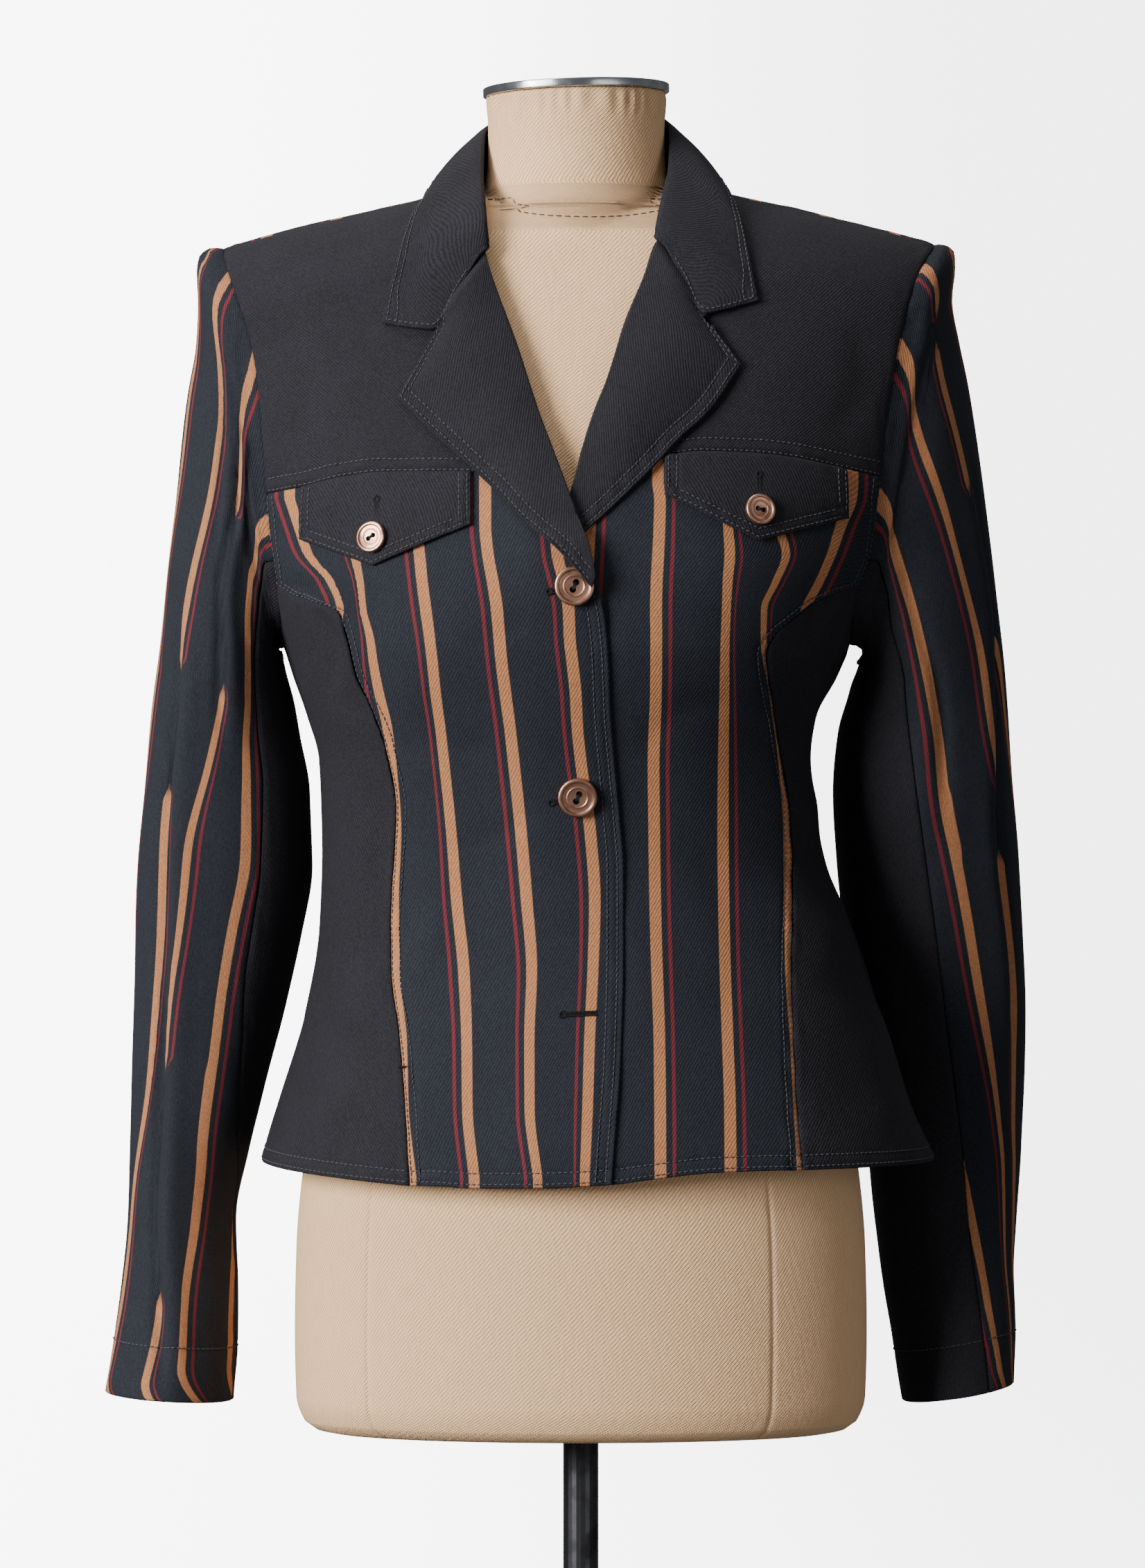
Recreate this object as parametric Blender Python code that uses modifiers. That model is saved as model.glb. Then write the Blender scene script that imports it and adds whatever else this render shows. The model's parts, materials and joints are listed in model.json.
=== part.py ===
"""A blazer worn on a limbless dress form with a round stand.

Metres, +Z up, +X towards the wearer's left, -Y towards the front. The origin is at the
middle of the underside of the base, which stands on the floor.
"""
import math

import bpy
from mathutils import Vector

# Driving dimensions of the cloth
CLOTH = 0.0015
SEAM_INSET = 0.00030
SLEEVE_SEAM_INSET = 0.00045
ARMHOLE_STEP = 0.00048
UNDERARM_STEP = 0.0026
SHOULDER_ROUND = 0.050
FRONT_SQUARENESS = 0.42
BACK_SQUARENESS = 0.55
BUST_RISE = 0.007
BUST_REACH = 0.085
BUST_HEIGHT = 1.105
BUST_SPREAD = 0.050
SHOULDER_SEAM_ANGLE = math.radians(76)
NECK_REACH = 0.085

# Driving dimensions of the dress form
FORM_GAP = 0.0009
FORM_NECK_GAP = 0.0058
FORM_FLOOR = 0.620
FORM_TOP = 1.4155
CAP_RADIUS = 0.0556
CAP_DEPTH = 0.0050
CAP_DOME = 0.0035
POLE_RADIUS = 0.0105
POLE_SOCKET_TOP = 0.700
BASE_RADIUS = 0.195
BASE_DEPTH = 0.014
BOSS_RADIUS = 0.030
BOSS_TOP = 0.060
FIT_GAP = 0.0004

# Driving dimensions of the flaps and buttons
FLAP_LIFT = 0.0008
FLAP_CLOTH = 0.0016
FLAP_BUTTON_RADIUS = 0.0090
FLAP_BUTTON_DEPTH = 0.0032
FRONT_BUTTON_RADIUS = 0.0114
FRONT_BUTTON_DEPTH = 0.0038
BUTTON_GAP = 0.0009
FLAP_BUTTON_GAP = 0.0004
FLAP_FLARE = 0.0008

# Body of the blazer: height, reach to the wearer's right, reach to the left, front depth, back depth
BODY = [
    (0.755, 0.1960, 0.2200, 0.126, 0.124),
    (0.785, 0.1895, 0.2095, 0.123, 0.121),
    (0.820, 0.1790, 0.1935, 0.118, 0.114),
    (0.869, 0.1644, 0.1785, 0.110, 0.103),
    (0.919, 0.1555, 0.1620, 0.103, 0.092),
    (0.955, 0.1545, 0.1465, 0.101, 0.087),
    (0.985, 0.1550, 0.1408, 0.103, 0.086),
    (1.020, 0.1560, 0.1372, 0.110, 0.088),
    (1.045, 0.1625, 0.1405, 0.118, 0.091),
    (1.068, 0.1710, 0.1520, 0.125, 0.095),
    (1.087, 0.1770, 0.1605, 0.129, 0.098),
    (1.120, 0.1900, 0.1760, 0.130, 0.102),
    (1.160, 0.2040, 0.1920, 0.124, 0.104),
    (1.200, 0.2150, 0.2050, 0.113, 0.103),
    (1.250, 0.2290, 0.2210, 0.098, 0.098),
    (1.300, 0.2450, 0.2410, 0.080, 0.089),
    (1.330, 0.2580, 0.2560, 0.070, 0.082),
    (1.380, 0.2700, 0.2700, 0.062, 0.072),
]

# Top line of the shoulders: distance across, height
SHOULDER_LINE = [
    (-0.240, 1.3165), (-0.2136, 1.3242), (-0.1785, 1.3345), (-0.1512, 1.3410), (-0.1169, 1.3487),
    (-0.085, 1.3565), (-0.045, 1.3680), (0.0, 1.3740), (0.045, 1.3680), (0.085, 1.3570),
    (0.1264, 1.3486), (0.1448, 1.3440), (0.1789, 1.3358), (0.2114, 1.3269), (0.240, 1.3190),
]

# Front hem: distance across, height
FRONT_HEM = [
    (-0.195, 0.7860), (-0.165, 0.7785), (-0.136, 0.7760), (-0.099, 0.7736), (-0.063, 0.7712),
    (-0.023, 0.7715), (0.018, 0.7736), (0.041, 0.7765), (0.081, 0.7804), (0.128, 0.7812),
    (0.160, 0.7800), (0.185, 0.7815), (0.215, 0.7880),
]
BACK_HEM = 0.784

# Front armholes, per side: height, distance across
ARMHOLE = {
    -1: [(1.0870, 0.1770), (1.0980, 0.1768), (1.1225, 0.1790), (1.154, 0.1833), (1.179, 0.1858),
         (1.209, 0.1878), (1.237, 0.1902), (1.269, 0.1960), (1.292, 0.2035), (1.312, 0.2105), (1.3242, 0.2136)],
    1: [(1.0870, 0.1605), (1.1000, 0.1600), (1.1225, 0.1640), (1.138, 0.1700), (1.1625, 0.1740),
        (1.1990, 0.1778), (1.230, 0.1818), (1.256, 0.1862), (1.2826, 0.1918), (1.307, 0.1998), (1.3269, 0.2114)],
}
BACK_ARMHOLE_WIDER = 0.003

# Seams between the front and the side panels, per side: height, distance across
PRINCESS = {
    -1: [(0.772, 0.0997), (0.808, 0.1019), (0.8385, 0.1043), (0.862, 0.1067), (0.8925, 0.1112),
         (0.9236, 0.1120), (0.9545, 0.1105), (0.9900, 0.1084), (1.0274, 0.1150),
         (1.0476, 0.1221), (1.0666, 0.1310), (1.084, 0.1352), (1.0969, 0.1388), (1.1055, 0.1420),
         (1.1112, 0.1550), (1.1165, 0.1700), (1.1225, 0.1790)],
    1: [(0.781, 0.1290), (0.808, 0.1267), (0.8385, 0.1250), (0.862, 0.1243), (0.8957, 0.1233),
        (0.9236, 0.1242), (0.9545, 0.1247), (0.9900, 0.1230), (1.0290, 0.1165), (1.050, 0.1128),
        (1.065, 0.1098), (1.0807, 0.1081), (1.0940, 0.1150), (1.1020, 0.1250),
        (1.1090, 0.1340), (1.1160, 0.1465), (1.1225, 0.1640)],
}
PRINCESS_TURN = 12
BACK_SEAM_TOP = 1.105
STEPS_ACROSS_FRONT = 6
ARMHOLE_STEPS_TO_YOKE = (0.35, 0.70, 1.0)

# Yoke seams: distance across, height
YOKE_SEAM = {
    -1: [(-0.1858, 1.1755), (-0.1609, 1.1793), (-0.1407, 1.1837), (-0.1141, 1.1865), (-0.0674, 1.1865),
         (-0.010, 1.1850)],
    1: [(-0.003, 1.1950), (0.047, 1.1962), (0.0708, 1.1983), (0.100, 1.1975), (0.1232, 1.1954),
        (0.1465, 1.1913), (0.1630, 1.1880), (0.1765, 1.1855)],
}

# Front edges and roll lines: height, distance across
FRONT_EDGE = {
    -1: [(0.770, 0.0175), (0.8014, 0.0199), (0.8473, 0.0232), (0.9086, 0.0248), (0.9548, 0.0247), (0.9855, 0.0224),
         (1.0161, 0.0196), (1.0462, 0.0171), (1.0794, 0.0158), (1.0994, 0.0139), (1.1138, 0.0111),
         (1.1294, 0.0071), (1.1459, 0.0035), (1.1610, -0.0030), (1.1782, -0.0090), (1.2054, -0.0190),
         (1.2334, -0.0283), (1.2616, -0.0373), (1.2876, -0.0468), (1.3144, -0.0570), (1.340, -0.0720),
         (1.3565, -0.0850)],
    1: [(0.770, -0.0200), (1.120, -0.0200), (1.150, -0.0155), (1.1782, -0.0046), (1.197, -0.0003), (1.2219, 0.0075),
        (1.2441, 0.0163), (1.2737, 0.0250), (1.3026, 0.0368), (1.3223, 0.0435), (1.343, 0.0660), (1.3570, 0.0850)],
}

# Lapels, a row for each line across: roll x, roll z, outer x, outer z
LAPEL = {
    -1: [(-0.0545, 1.3105, -0.0846, 1.2690), (-0.0500, 1.2955, -0.0855, 1.2655), (-0.0432, 1.2765, -0.1061, 1.2285),
         (-0.0330, 1.2475, -0.0874, 1.2104), (-0.0240, 1.2200, -0.0684, 1.1924), (-0.0150, 1.1950, -0.0500, 1.1745),
         (-0.0085, 1.1765, -0.0350, 1.1575), (-0.0020, 1.1590, -0.0180, 1.1420), (0.0035, 1.1440, -0.0020, 1.1262),
         (0.0085, 1.1230, 0.0060, 1.1180)],
    1: [(0.0430, 1.3180, 0.0705, 1.2755), (0.0365, 1.3010, 0.0800, 1.2655), (0.0300, 1.2850, 0.0927, 1.2484),
        (0.0225, 1.2640, 0.0736, 1.2206), (0.0145, 1.2390, 0.0564, 1.2043), (0.0070, 1.2190, 0.0420, 1.1883),
        (0.0010, 1.2000, 0.0247, 1.1709), (-0.0035, 1.1830, 0.0120, 1.1590), (-0.0075, 1.1690, 0.0020, 1.1500)],
}
LAPEL_CLOTH = 0.0016
LAPEL_LIFT = 0.0009
LAPEL_STANDS_OFF = 0.0013
LAPEL_SWELL = 0.0030
LAPEL_TAIL_LIFT = 0.0056

# Collar, a row for each line across, from the right gorge to the left:
# roll x, y, z, then edge x, z and whether the edge lies at the front (-1) or the back (1)
COLLAR = [
    (-0.0549, None, 1.3180, -0.1159, 1.2733, -1),
    (-0.0565, None, 1.3330, -0.1128, 1.2870, -1),
    (-0.0578, None, 1.3490, -0.1090, 1.3035, -1),
    (-0.0590, -0.0340, 1.3660, -0.1050, 1.3200, -1),
    (-0.0588, -0.0170, 1.3820, -0.1000, 1.3350, -1),
    (-0.0580, 0.0000, 1.3930, -0.0940, 1.3460, -1),
    (-0.0572, 0.0110, 1.3975, -0.0910, 1.3600, -1),
    (-0.0550, 0.0230, 1.4010, -0.0895, 1.3475, 1),
    (-0.0460, 0.0430, 1.4050, -0.0810, 1.3370, 1),
    (-0.0250, 0.0600, 1.4080, -0.0500, 1.3280, 1),
    (0.0, 0.0660, 1.4090, 0.0, 1.3250, 1),
    (0.0230, 0.0610, 1.4090, 0.0480, 1.3280, 1),
    (0.0430, 0.0430, 1.4070, 0.0780, 1.3370, 1),
    (0.0515, 0.0230, 1.4035, 0.0850, 1.3480, 1),
    (0.0530, 0.0110, 1.4000, 0.0865, 1.3600, -1),
    (0.0535, 0.0000, 1.3965, 0.0895, 1.3480, -1),
    (0.0538, -0.0170, 1.3850, 0.0925, 1.3400, -1),
    (0.0530, -0.0340, 1.3690, 0.0962, 1.3240, -1),
    (0.0495, None, 1.3530, 0.0990, 1.3090, -1),
    (0.0465, None, 1.3380, 0.1012, 1.2970, -1),
    (0.0440, None, 1.3245, 0.1034, 1.2866, -1),
]
COLLAR_CLOTH = 0.0014
COLLAR_LIFT = 0.0022
COLLAR_FOLD = 0.0034
COLLAR_STANDS_OFF = 0.0098
NOTCH = {-1: (-0.0862, 1.2690), 1: (0.0714, 1.2785)}

# Sleeves below the armhole, a row for each ring, per side:
# outer x, outer z, inner x, inner z, middle y, half depth, share of the armhole's own shape
SLEEVE = {
    -1: [
        (0.2215, 1.3238, 0.1802, 1.0862, 0.002, 0.056, 0.99),
        (0.2266, 1.3195, 0.1806, 1.0854, 0.002, 0.058, 0.96),
        (0.2284, 1.3090, 0.1808, 1.0845, 0.003, 0.060, 0.90),
        (0.2280, 1.2920, 0.1806, 1.0830, 0.003, 0.061, 0.78),
        (0.2292, 1.2670, 0.1801, 1.0812, 0.004, 0.062, 0.62),
        (0.2334, 1.2400, 0.1794, 1.0790, 0.004, 0.063, 0.46),
        (0.2380, 1.2050, 0.1775, 1.0760, 0.005, 0.063, 0.30),
        (0.2425, 1.1676, 0.1765, 1.0720, 0.006, 0.063, 0.16),
        (0.2471, 1.1280, 0.1750, 1.0660, 0.008, 0.062, 0.06),
        (0.2512, 1.0900, 0.1722, 1.0560, 0.010, 0.061, 0.0),
        (0.2565, 1.0480, 0.1675, 1.0330, 0.013, 0.059, 0.0),
        (0.2612, 1.0050, 0.1612, 1.0000, 0.016, 0.057, 0.0),
        (0.2650, 0.9600, 0.1606, 0.9580, 0.019, 0.055, 0.0),
        (0.2672, 0.9150, 0.1672, 0.9150, 0.022, 0.053, 0.0),
        (0.2683, 0.8700, 0.1773, 0.8700, 0.024, 0.052, 0.0),
        (0.2690, 0.8250, 0.1890, 0.8250, 0.022, 0.050, 0.0),
        (0.2698, 0.7850, 0.1990, 0.7850, 0.018, 0.048, 0.0),
        (0.2707, 0.7450, 0.2055, 0.7450, 0.012, 0.046, 0.0),
        (0.2737, 0.7050, 0.2046, 0.7050, 0.004, 0.045, 0.0),
        (0.2775, 0.6750, 0.2045, 0.6730, -0.002, 0.045, 0.0),
        (0.2828, 0.6440, 0.2068, 0.6390, -0.008, 0.046, 0.0),
    ],
    1: [
        (0.2185, 1.3260, 0.1640, 1.0868, 0.004, 0.056, 0.99),
        (0.2225, 1.3215, 0.1652, 1.0860, 0.005, 0.058, 0.96),
        (0.2232, 1.3110, 0.1668, 1.0850, 0.006, 0.060, 0.90),
        (0.2218, 1.2940, 0.1675, 1.0838, 0.008, 0.061, 0.78),
        (0.2257, 1.2689, 0.1678, 1.0820, 0.010, 0.062, 0.62),
        (0.2313, 1.2410, 0.1675, 1.0790, 0.012, 0.063, 0.46),
        (0.2374, 1.2062, 0.1660, 1.0760, 0.015, 0.063, 0.30),
        (0.2428, 1.1686, 0.1645, 1.0720, 0.018, 0.063, 0.16),
        (0.2485, 1.1280, 0.1620, 1.0660, 0.021, 0.062, 0.06),
        (0.2526, 1.0900, 0.1590, 1.0560, 0.025, 0.061, 0.0),
        (0.2560, 1.0480, 0.1540, 1.0360, 0.030, 0.059, 0.0),
        (0.2595, 1.0050, 0.1518, 1.0020, 0.037, 0.057, 0.0),
        (0.2645, 0.9600, 0.1540, 0.9600, 0.050, 0.054, 0.0),
        (0.2680, 0.9150, 0.1590, 0.9150, 0.064, 0.052, 0.0),
        (0.2700, 0.8700, 0.1640, 0.8700, 0.078, 0.050, 0.0),
        (0.2705, 0.8250, 0.1700, 0.8250, 0.090, 0.048, 0.0),
        (0.2695, 0.7850, 0.1750, 0.7850, 0.095, 0.047, 0.0),
        (0.2660, 0.7450, 0.1785, 0.7430, 0.092, 0.046, 0.0),
        (0.2635, 0.7050, 0.1835, 0.7030, 0.082, 0.045, 0.0),
        (0.2635, 0.6750, 0.1885, 0.6700, 0.072, 0.045, 0.0),
        (0.2625, 0.6430, 0.1945, 0.6320, 0.062, 0.046, 0.0),
    ],
}
# Long folds of the sleeves, per side: rise beyond the line, fall before it, width, then ring and angle along the line
SLEEVE_FOLDS = {
    -1: [
        (0.0032, 0.0034, 0.011, [(2.0, 83), (4.55, 85), (5.8, 91), (6.95, 87), (7.95, 86), (9.3, 91), (11.2, 92)]),
        (0.0038, 0.0040, 0.012, [(9.5, 49), (11.0, 54), (11.9, 52), (13.0, 54), (14.7, 58), (16.7, 65), (18.1, 69),
                                 (19.0, 76), (20.7, 87)]),
        (0.0012, 0.0024, 0.012, [(3.4, 50), (4.5, 60), (5.4, 68), (6.6, 72), (7.7, 76)]),
        (0.0030, 0.0030, 0.014, [(3.0, 292), (6.0, 284), (9.0, 290), (12.0, 300), (15.0, 296)]),
        (0.0026, 0.0030, 0.013, [(9.0, 262), (13.0, 258), (17.0, 266), (20.5, 272)]),
        (0.0020, 0.0026, 0.012, [(9.5, 196), (11.5, 204), (13.5, 198), (15.5, 206)]),
    ],
    1: [
        (0.0020, 0.0024, 0.010, [(2.5, 30), (3.75, 33), (4.2, 46), (4.5, 62)]),
        (0.0030, 0.0036, 0.012, [(7.0, 34), (8.1, 31), (9.2, 29), (10.3, 32), (11.4, 36), (12.9, 42), (14.3, 38),
                                 (15.6, 36)]),
        (0.0026, 0.0030, 0.012, [(3.9, 113), (6.4, 108), (8.2, 102), (9.4, 95), (10.3, 87), (11.1, 83), (12.3, 82)]),
        (0.0028, 0.0030, 0.014, [(3.0, 288), (6.5, 280), (10.0, 292), (13.0, 286), (16.0, 296)]),
        (0.0028, 0.0028, 0.013, [(8.5, 258), (12.5, 264), (16.5, 256), (20.5, 262)]),
        (0.0020, 0.0026, 0.012, [(10.0, 190), (12.5, 198), (15.0, 192)]),
    ],
}
# Front seam between the top and the under sleeve: height at the front, angle from the outer side
SLEEVE_FRONT_SEAM = {
    -1: [(0.64, 172), (0.76, 166), (0.80, 140), (0.8535, 124), (0.90, 116), (1.00, 118), (1.10, 122), (1.20, 126)],
    1: [(0.64, 60), (0.70, 68), (0.766, 78), (0.8635, 88), (0.93, 92), (1.00, 97), (1.07, 108), (1.13, 122),
        (1.20, 126)],
}
SLEEVE_BACK_SEAM = 236
TOP_SLEEVE_STEPS = 36
UNDER_SLEEVE_STEPS = 16

# Pocket flaps: left x, left top z, right x, right top z, left bottom z, right bottom z, point x, point z
FLAPS = {
    -1: (-0.1630, 1.1770, -0.0636, 1.1850, 1.1483, 1.1548, -0.1200, 1.1318),
    1: (0.0484, 1.1945, 0.1548, 1.1870, 1.1721, 1.1606, 0.1021, 1.1459),
}
FLAP_BELOW_SEAM = 0.0010
FLAP_BUTTONS = {-1: (-0.1196, 1.1475), 1: (0.1022, 1.1634)}
FRONT_BUTTONS = {"upper": (-0.0042, 1.1190), "lower": (-0.0021, 0.9980)}

# Dress form below the neck: height, reach right, reach left, front depth, back depth
FORM = [
    (0.620, 0.150, 0.150, 0.082, 0.098), (0.6215, 0.158, 0.158, 0.089, 0.105), (0.627, 0.165, 0.165, 0.096, 0.112),
    (0.640, 0.1695, 0.1695, 0.100, 0.117), (0.680, 0.1705, 0.1705, 0.102, 0.119), (0.730, 0.1695, 0.1695, 0.103, 0.117),
    (0.780, 0.1650, 0.1650, 0.103, 0.108), (0.830, 0.1540, 0.1560, 0.099, 0.095), (0.880, 0.1400, 0.1420, 0.092, 0.082),
    (0.930, 0.1270, 0.1290, 0.086, 0.074), (0.980, 0.1220, 0.1220, 0.085, 0.070), (1.030, 0.1280, 0.1230, 0.095, 0.072),
    (1.070, 0.1400, 0.1360, 0.110, 0.078), (1.105, 0.1520, 0.1480, 0.118, 0.083), (1.150, 0.1660, 0.1600, 0.114, 0.088),
    (1.200, 0.1770, 0.1700, 0.103, 0.089), (1.250, 0.1840, 0.1790, 0.089, 0.086), (1.290, 0.1870, 0.1860, 0.076, 0.081),
    (1.320, 0.1870, 0.1870, 0.066, 0.077), (1.360, 0.1870, 0.1870, 0.058, 0.070),
]
# Neck of the form: height, half width, front depth, back depth
NECK = [
    (1.250, 0.072, 0.084, 0.070), (1.300, 0.070, 0.072, 0.064), (1.335, 0.061, 0.061, 0.054), (1.355, 0.0555, 0.057, 0.0525),
    (1.372, 0.0530, 0.0540, 0.0525), (1.390, 0.0525, 0.0520, 0.0530), (1.4155, 0.0532, 0.052, 0.053),
]
FORM_HEIGHTS = [
    0.620, 0.6215, 0.627, 0.640, 0.680, 0.730, 0.780, 0.830, 0.880, 0.930, 0.980, 1.030, 1.070, 1.105, 1.150, 1.200,
    1.240, 1.270, 1.295, 1.312, 1.3205, 1.3265, 1.3320, 1.3380, 1.3440, 1.3500, 1.3560, 1.3620, 1.3700, 1.3800, 1.3950,
    1.4155,
]
FORM_STEPS = 36
NECK_TILT = 0.030
NECK_MIDDLE = -0.0027


class Curve:
    """A smooth line through a short table of pairs, without overshoot."""

    def __init__(self, pairs):
        pairs = sorted(pairs)
        self.at = [pair[0] for pair in pairs]
        self.value = [pair[1] for pair in pairs]
        rises = [
            (self.value[i + 1] - self.value[i]) / (self.at[i + 1] - self.at[i]) for i in range(len(pairs) - 1)
        ]
        self.slope = [rises[0]]
        for before, after in zip(rises, rises[1:]):
            steady = before * after > 0
            self.slope.append(2 * before * after / (before + after) if steady else 0.0)
        self.slope.append(rises[-1])

    def __call__(self, at):
        at = min(max(at, self.at[0]), self.at[-1])
        i = 0
        while i < len(self.at) - 2 and at > self.at[i + 1]:
            i += 1
        span = self.at[i + 1] - self.at[i]
        t = (at - self.at[i]) / span
        start = (1 + 2 * t) * (1 - t) ** 2 * self.value[i] + t * (1 - t) ** 2 * span * self.slope[i]
        end = t * t * (3 - 2 * t) * self.value[i + 1] - t * t * (1 - t) * span * self.slope[i + 1]
        return start + end


def columns(table):
    """One curve over the first column for each other column of a table."""
    return [Curve([(row[0], row[k]) for row in table]) for k in range(1, len(table[0]))]


def mix(a, b, t):
    return a + (b - a) * t


def ease(t):
    t = min(max(t, 0.0), 1.0)
    return t * t * (3 - 2 * t)


class BodySurface:
    """The outer surface of the blazer's body, as depth over a place seen from the front."""

    def __init__(self):
        self.right, self.left, self.front, self.back = columns(BODY)
        self.shoulder = Curve(SHOULDER_LINE)

    def spread(self, x, z):
        """How far across the body a place is, from -1 to 1."""
        middle = (self.left(z) - self.right(z)) / 2
        return (x - middle) / ((self.left(z) + self.right(z)) / 2)

    def depth(self, x, z, facing):
        if facing < 0:
            bust = math.exp(-((abs(x) - BUST_REACH) / BUST_SPREAD) ** 2 - ((z - BUST_HEIGHT) / BUST_SPREAD) ** 2)
            return self.front(z) + BUST_RISE * bust
        return self.back(z)

    def beyond(self, point, facing):
        """Below zero inside the body and above zero outside it."""
        x, y, z = point
        square = FRONT_SQUARENESS if facing < 0 else BACK_SQUARENESS
        side = max(1 - self.spread(x, z) ** 2, 0.0) ** (2 * square)
        rise = 1 - (self.shoulder(x) - z) / SHOULDER_ROUND
        top = 1 - max(rise, 0.0) ** 2
        return (y / self.depth(x, z, facing)) ** 2 - side * top

    def normal(self, point):
        facing = -1 if point.y < 0 else 1
        step = 0.0004
        slopes = []
        for axis in (Vector((step, 0, 0)), Vector((0, step, 0)), Vector((0, 0, step))):
            slopes.append(self.beyond(point + axis, facing) - self.beyond(point - axis, facing))
        return Vector(slopes).normalized()

    def at(self, x, z, facing):
        """The point of the front (-1) or the back (1) at a distance across and a height."""
        square = FRONT_SQUARENESS if facing < 0 else BACK_SQUARENESS
        side = max(1 - self.spread(x, z) ** 2, 0.0) ** square
        rise = max(1 - (self.shoulder(x) - z) / SHOULDER_ROUND, 0.0)
        top = math.sqrt(max(1 - rise * rise, 0.0))
        return Vector((x, facing * self.depth(x, z, facing) * side * top, z))

    def over(self, x, climb, facing):
        """The point at a climb, the way up the surface from where the shoulder starts to round."""
        start = self.shoulder(x) - SHOULDER_ROUND
        if climb <= 0:
            return self.at(x, start + climb, facing)
        angle = climb / SHOULDER_ROUND
        point = self.at(x, start + SHOULDER_ROUND * math.sin(angle), facing)
        if angle > math.pi / 2:
            point = self.at(x, point.z, -facing)
        return point

    def climb(self, x, z):
        start = self.shoulder(x) - SHOULDER_ROUND
        if z <= start:
            return z - start
        return SHOULDER_ROUND * math.asin(min((z - start) / SHOULDER_ROUND, 1.0))

    def round_side(self, angle, z):
        """The point at a height and an angle: 0 at the wearer's left, pi at the right, front first."""
        middle = (self.left(z) - self.right(z)) / 2
        reach = (self.left(z) + self.right(z)) / 2
        facing = -1 if math.sin(angle) > 0 else 1
        return self.at(middle + reach * math.cos(angle), z, facing)

    def angle(self, x, z, facing):
        turn = math.acos(min(max(self.spread(x, z), -1.0), 1.0))
        return turn if facing < 0 else 2 * math.pi - turn

    def lifted(self, point, lift):
        """The point moved straight out of the surface to at least this distance from it."""
        for _ in range(4):
            facing = -1 if point.y < 0 else 1
            step = 0.0004
            slopes = []
            for axis in (Vector((step, 0, 0)), Vector((0, step, 0)), Vector((0, 0, step))):
                rise = self.beyond(point + axis, facing) - self.beyond(point - axis, facing)
                slopes.append(rise / (2 * step))
            slope = Vector(slopes)
            height = self.beyond(point, facing) / slope.length
            if height >= lift:
                break
            point = point + slope.normalized() * (lift - height)
        return point


BODY_SURFACE = BodySurface()
FRONT_EDGES = {side: Curve(rows) for side, rows in FRONT_EDGE.items()}
PRINCESS_SEAMS = {side: Curve(rows) for side, rows in PRINCESS.items()}
YOKE_SEAMS = {side: Curve(rows) for side, rows in YOKE_SEAM.items()}
ARMHOLES = {side: Curve(rows) for side, rows in ARMHOLE.items()}
FRONT_HEM_LINE = Curve(FRONT_HEM)


def lap_lift(x, z):
    """How far the right front stands off the body to lie over the left one."""
    across = ease((x + 0.060) / 0.036)
    over_lapel = ease((z - 1.085) / 0.035) * ease((1.228 - z) / 0.050)
    plain = ease((1.228 - z) / 0.090)
    return across * (0.0024 * plain + 0.0028 * over_lapel)


def armhole_x(side, z, facing):
    low, high = ARMHOLE[side][0][0], ARMHOLE[side][-1][0]
    wider = BACK_ARMHOLE_WIDER * math.sin(math.pi * min(max((z - low) / (high - low), 0.0), 1.0))
    return side * (ARMHOLES[side](z) + (wider if facing > 0 else 0.0))


def armhole_point(side, angle):
    """A point of the armhole's loop: 0 at the top, pi/2 at the front, pi under the arm."""
    facing = -1 if angle < math.pi else 1
    low, high = ARMHOLE[side][0][0], ARMHOLE[side][-1][0]
    z = mix(low, high, (1 + math.cos(angle)) / 2)
    x = armhole_x(side, z, facing)
    if z > high - 1e-6:
        return Vector((x, 0.0, BODY_SURFACE.shoulder(x)))
    point = BODY_SURFACE.at(x, z, facing)
    if z < low + 1e-6:
        point.y = 0.0
    return point


def patch(bottom, top, start, end, steps_across, rows):
    """Points inside four border lines, each a function of 0 to 1 that gives a pair."""
    grid = []
    for s in rows:
        line = []
        for i in range(steps_across + 1):
            c = i / steps_across
            low, high, near, far = bottom(c), top(c), start(s), end(s)
            corners = (bottom(0), bottom(1), top(0), top(1))
            pair = []
            for k in range(2):
                ruled = mix(low[k], high[k], s) + mix(near[k], far[k], c)
                corner = mix(mix(corners[0][k], corners[1][k], c), mix(corners[2][k], corners[3][k], c), s)
                pair.append(ruled - corner)
            line.append(tuple(pair))
        grid.append(line)
    return grid


def inset(grid, gap):
    """The grid of points with its border moved in, along the surface, by a gap."""
    rows, steps = len(grid), len(grid[0])
    moved = [[point.copy() for point in line] for line in grid]
    for r in range(rows):
        for c in range(steps):
            if 0 < r < rows - 1 and 0 < c < steps - 1:
                continue
            for dr, dc, on_border in ((1, 0, r == 0), (-1, 0, r == rows - 1), (0, 1, c == 0), (0, -1, c == steps - 1)):
                if not on_border:
                    continue
                if dr:
                    along = grid[r][min(c + 1, steps - 1)] - grid[r][max(c - 1, 0)]
                else:
                    along = grid[min(r + 1, rows - 1)][c] - grid[max(r - 1, 0)][c]
                inward = grid[r + dr][c + dc] - grid[r][c]
                along.normalize()
                inward = inward - along * inward.dot(along)
                if inward.length > 1e-6:
                    moved[r][c] += inward.normalized() * gap
    return moved


def make_material(name, colour, roughness, metallic=0.0):
    material = bpy.data.materials.new(name)
    material.use_nodes = True
    shader = material.node_tree.nodes["Principled BSDF"]
    shader.inputs["Base Color"].default_value = (*colour, 1.0)
    shader.inputs["Roughness"].default_value = roughness
    shader.inputs["Metallic"].default_value = metallic
    material.diffuse_color = (*colour, 1.0)
    return material


def add_object(name, mesh, material):
    obj = bpy.data.objects.new(name, mesh)
    BLAZER_COLLECTION.objects.link(obj)
    mesh.materials.append(material)
    return obj


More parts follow.
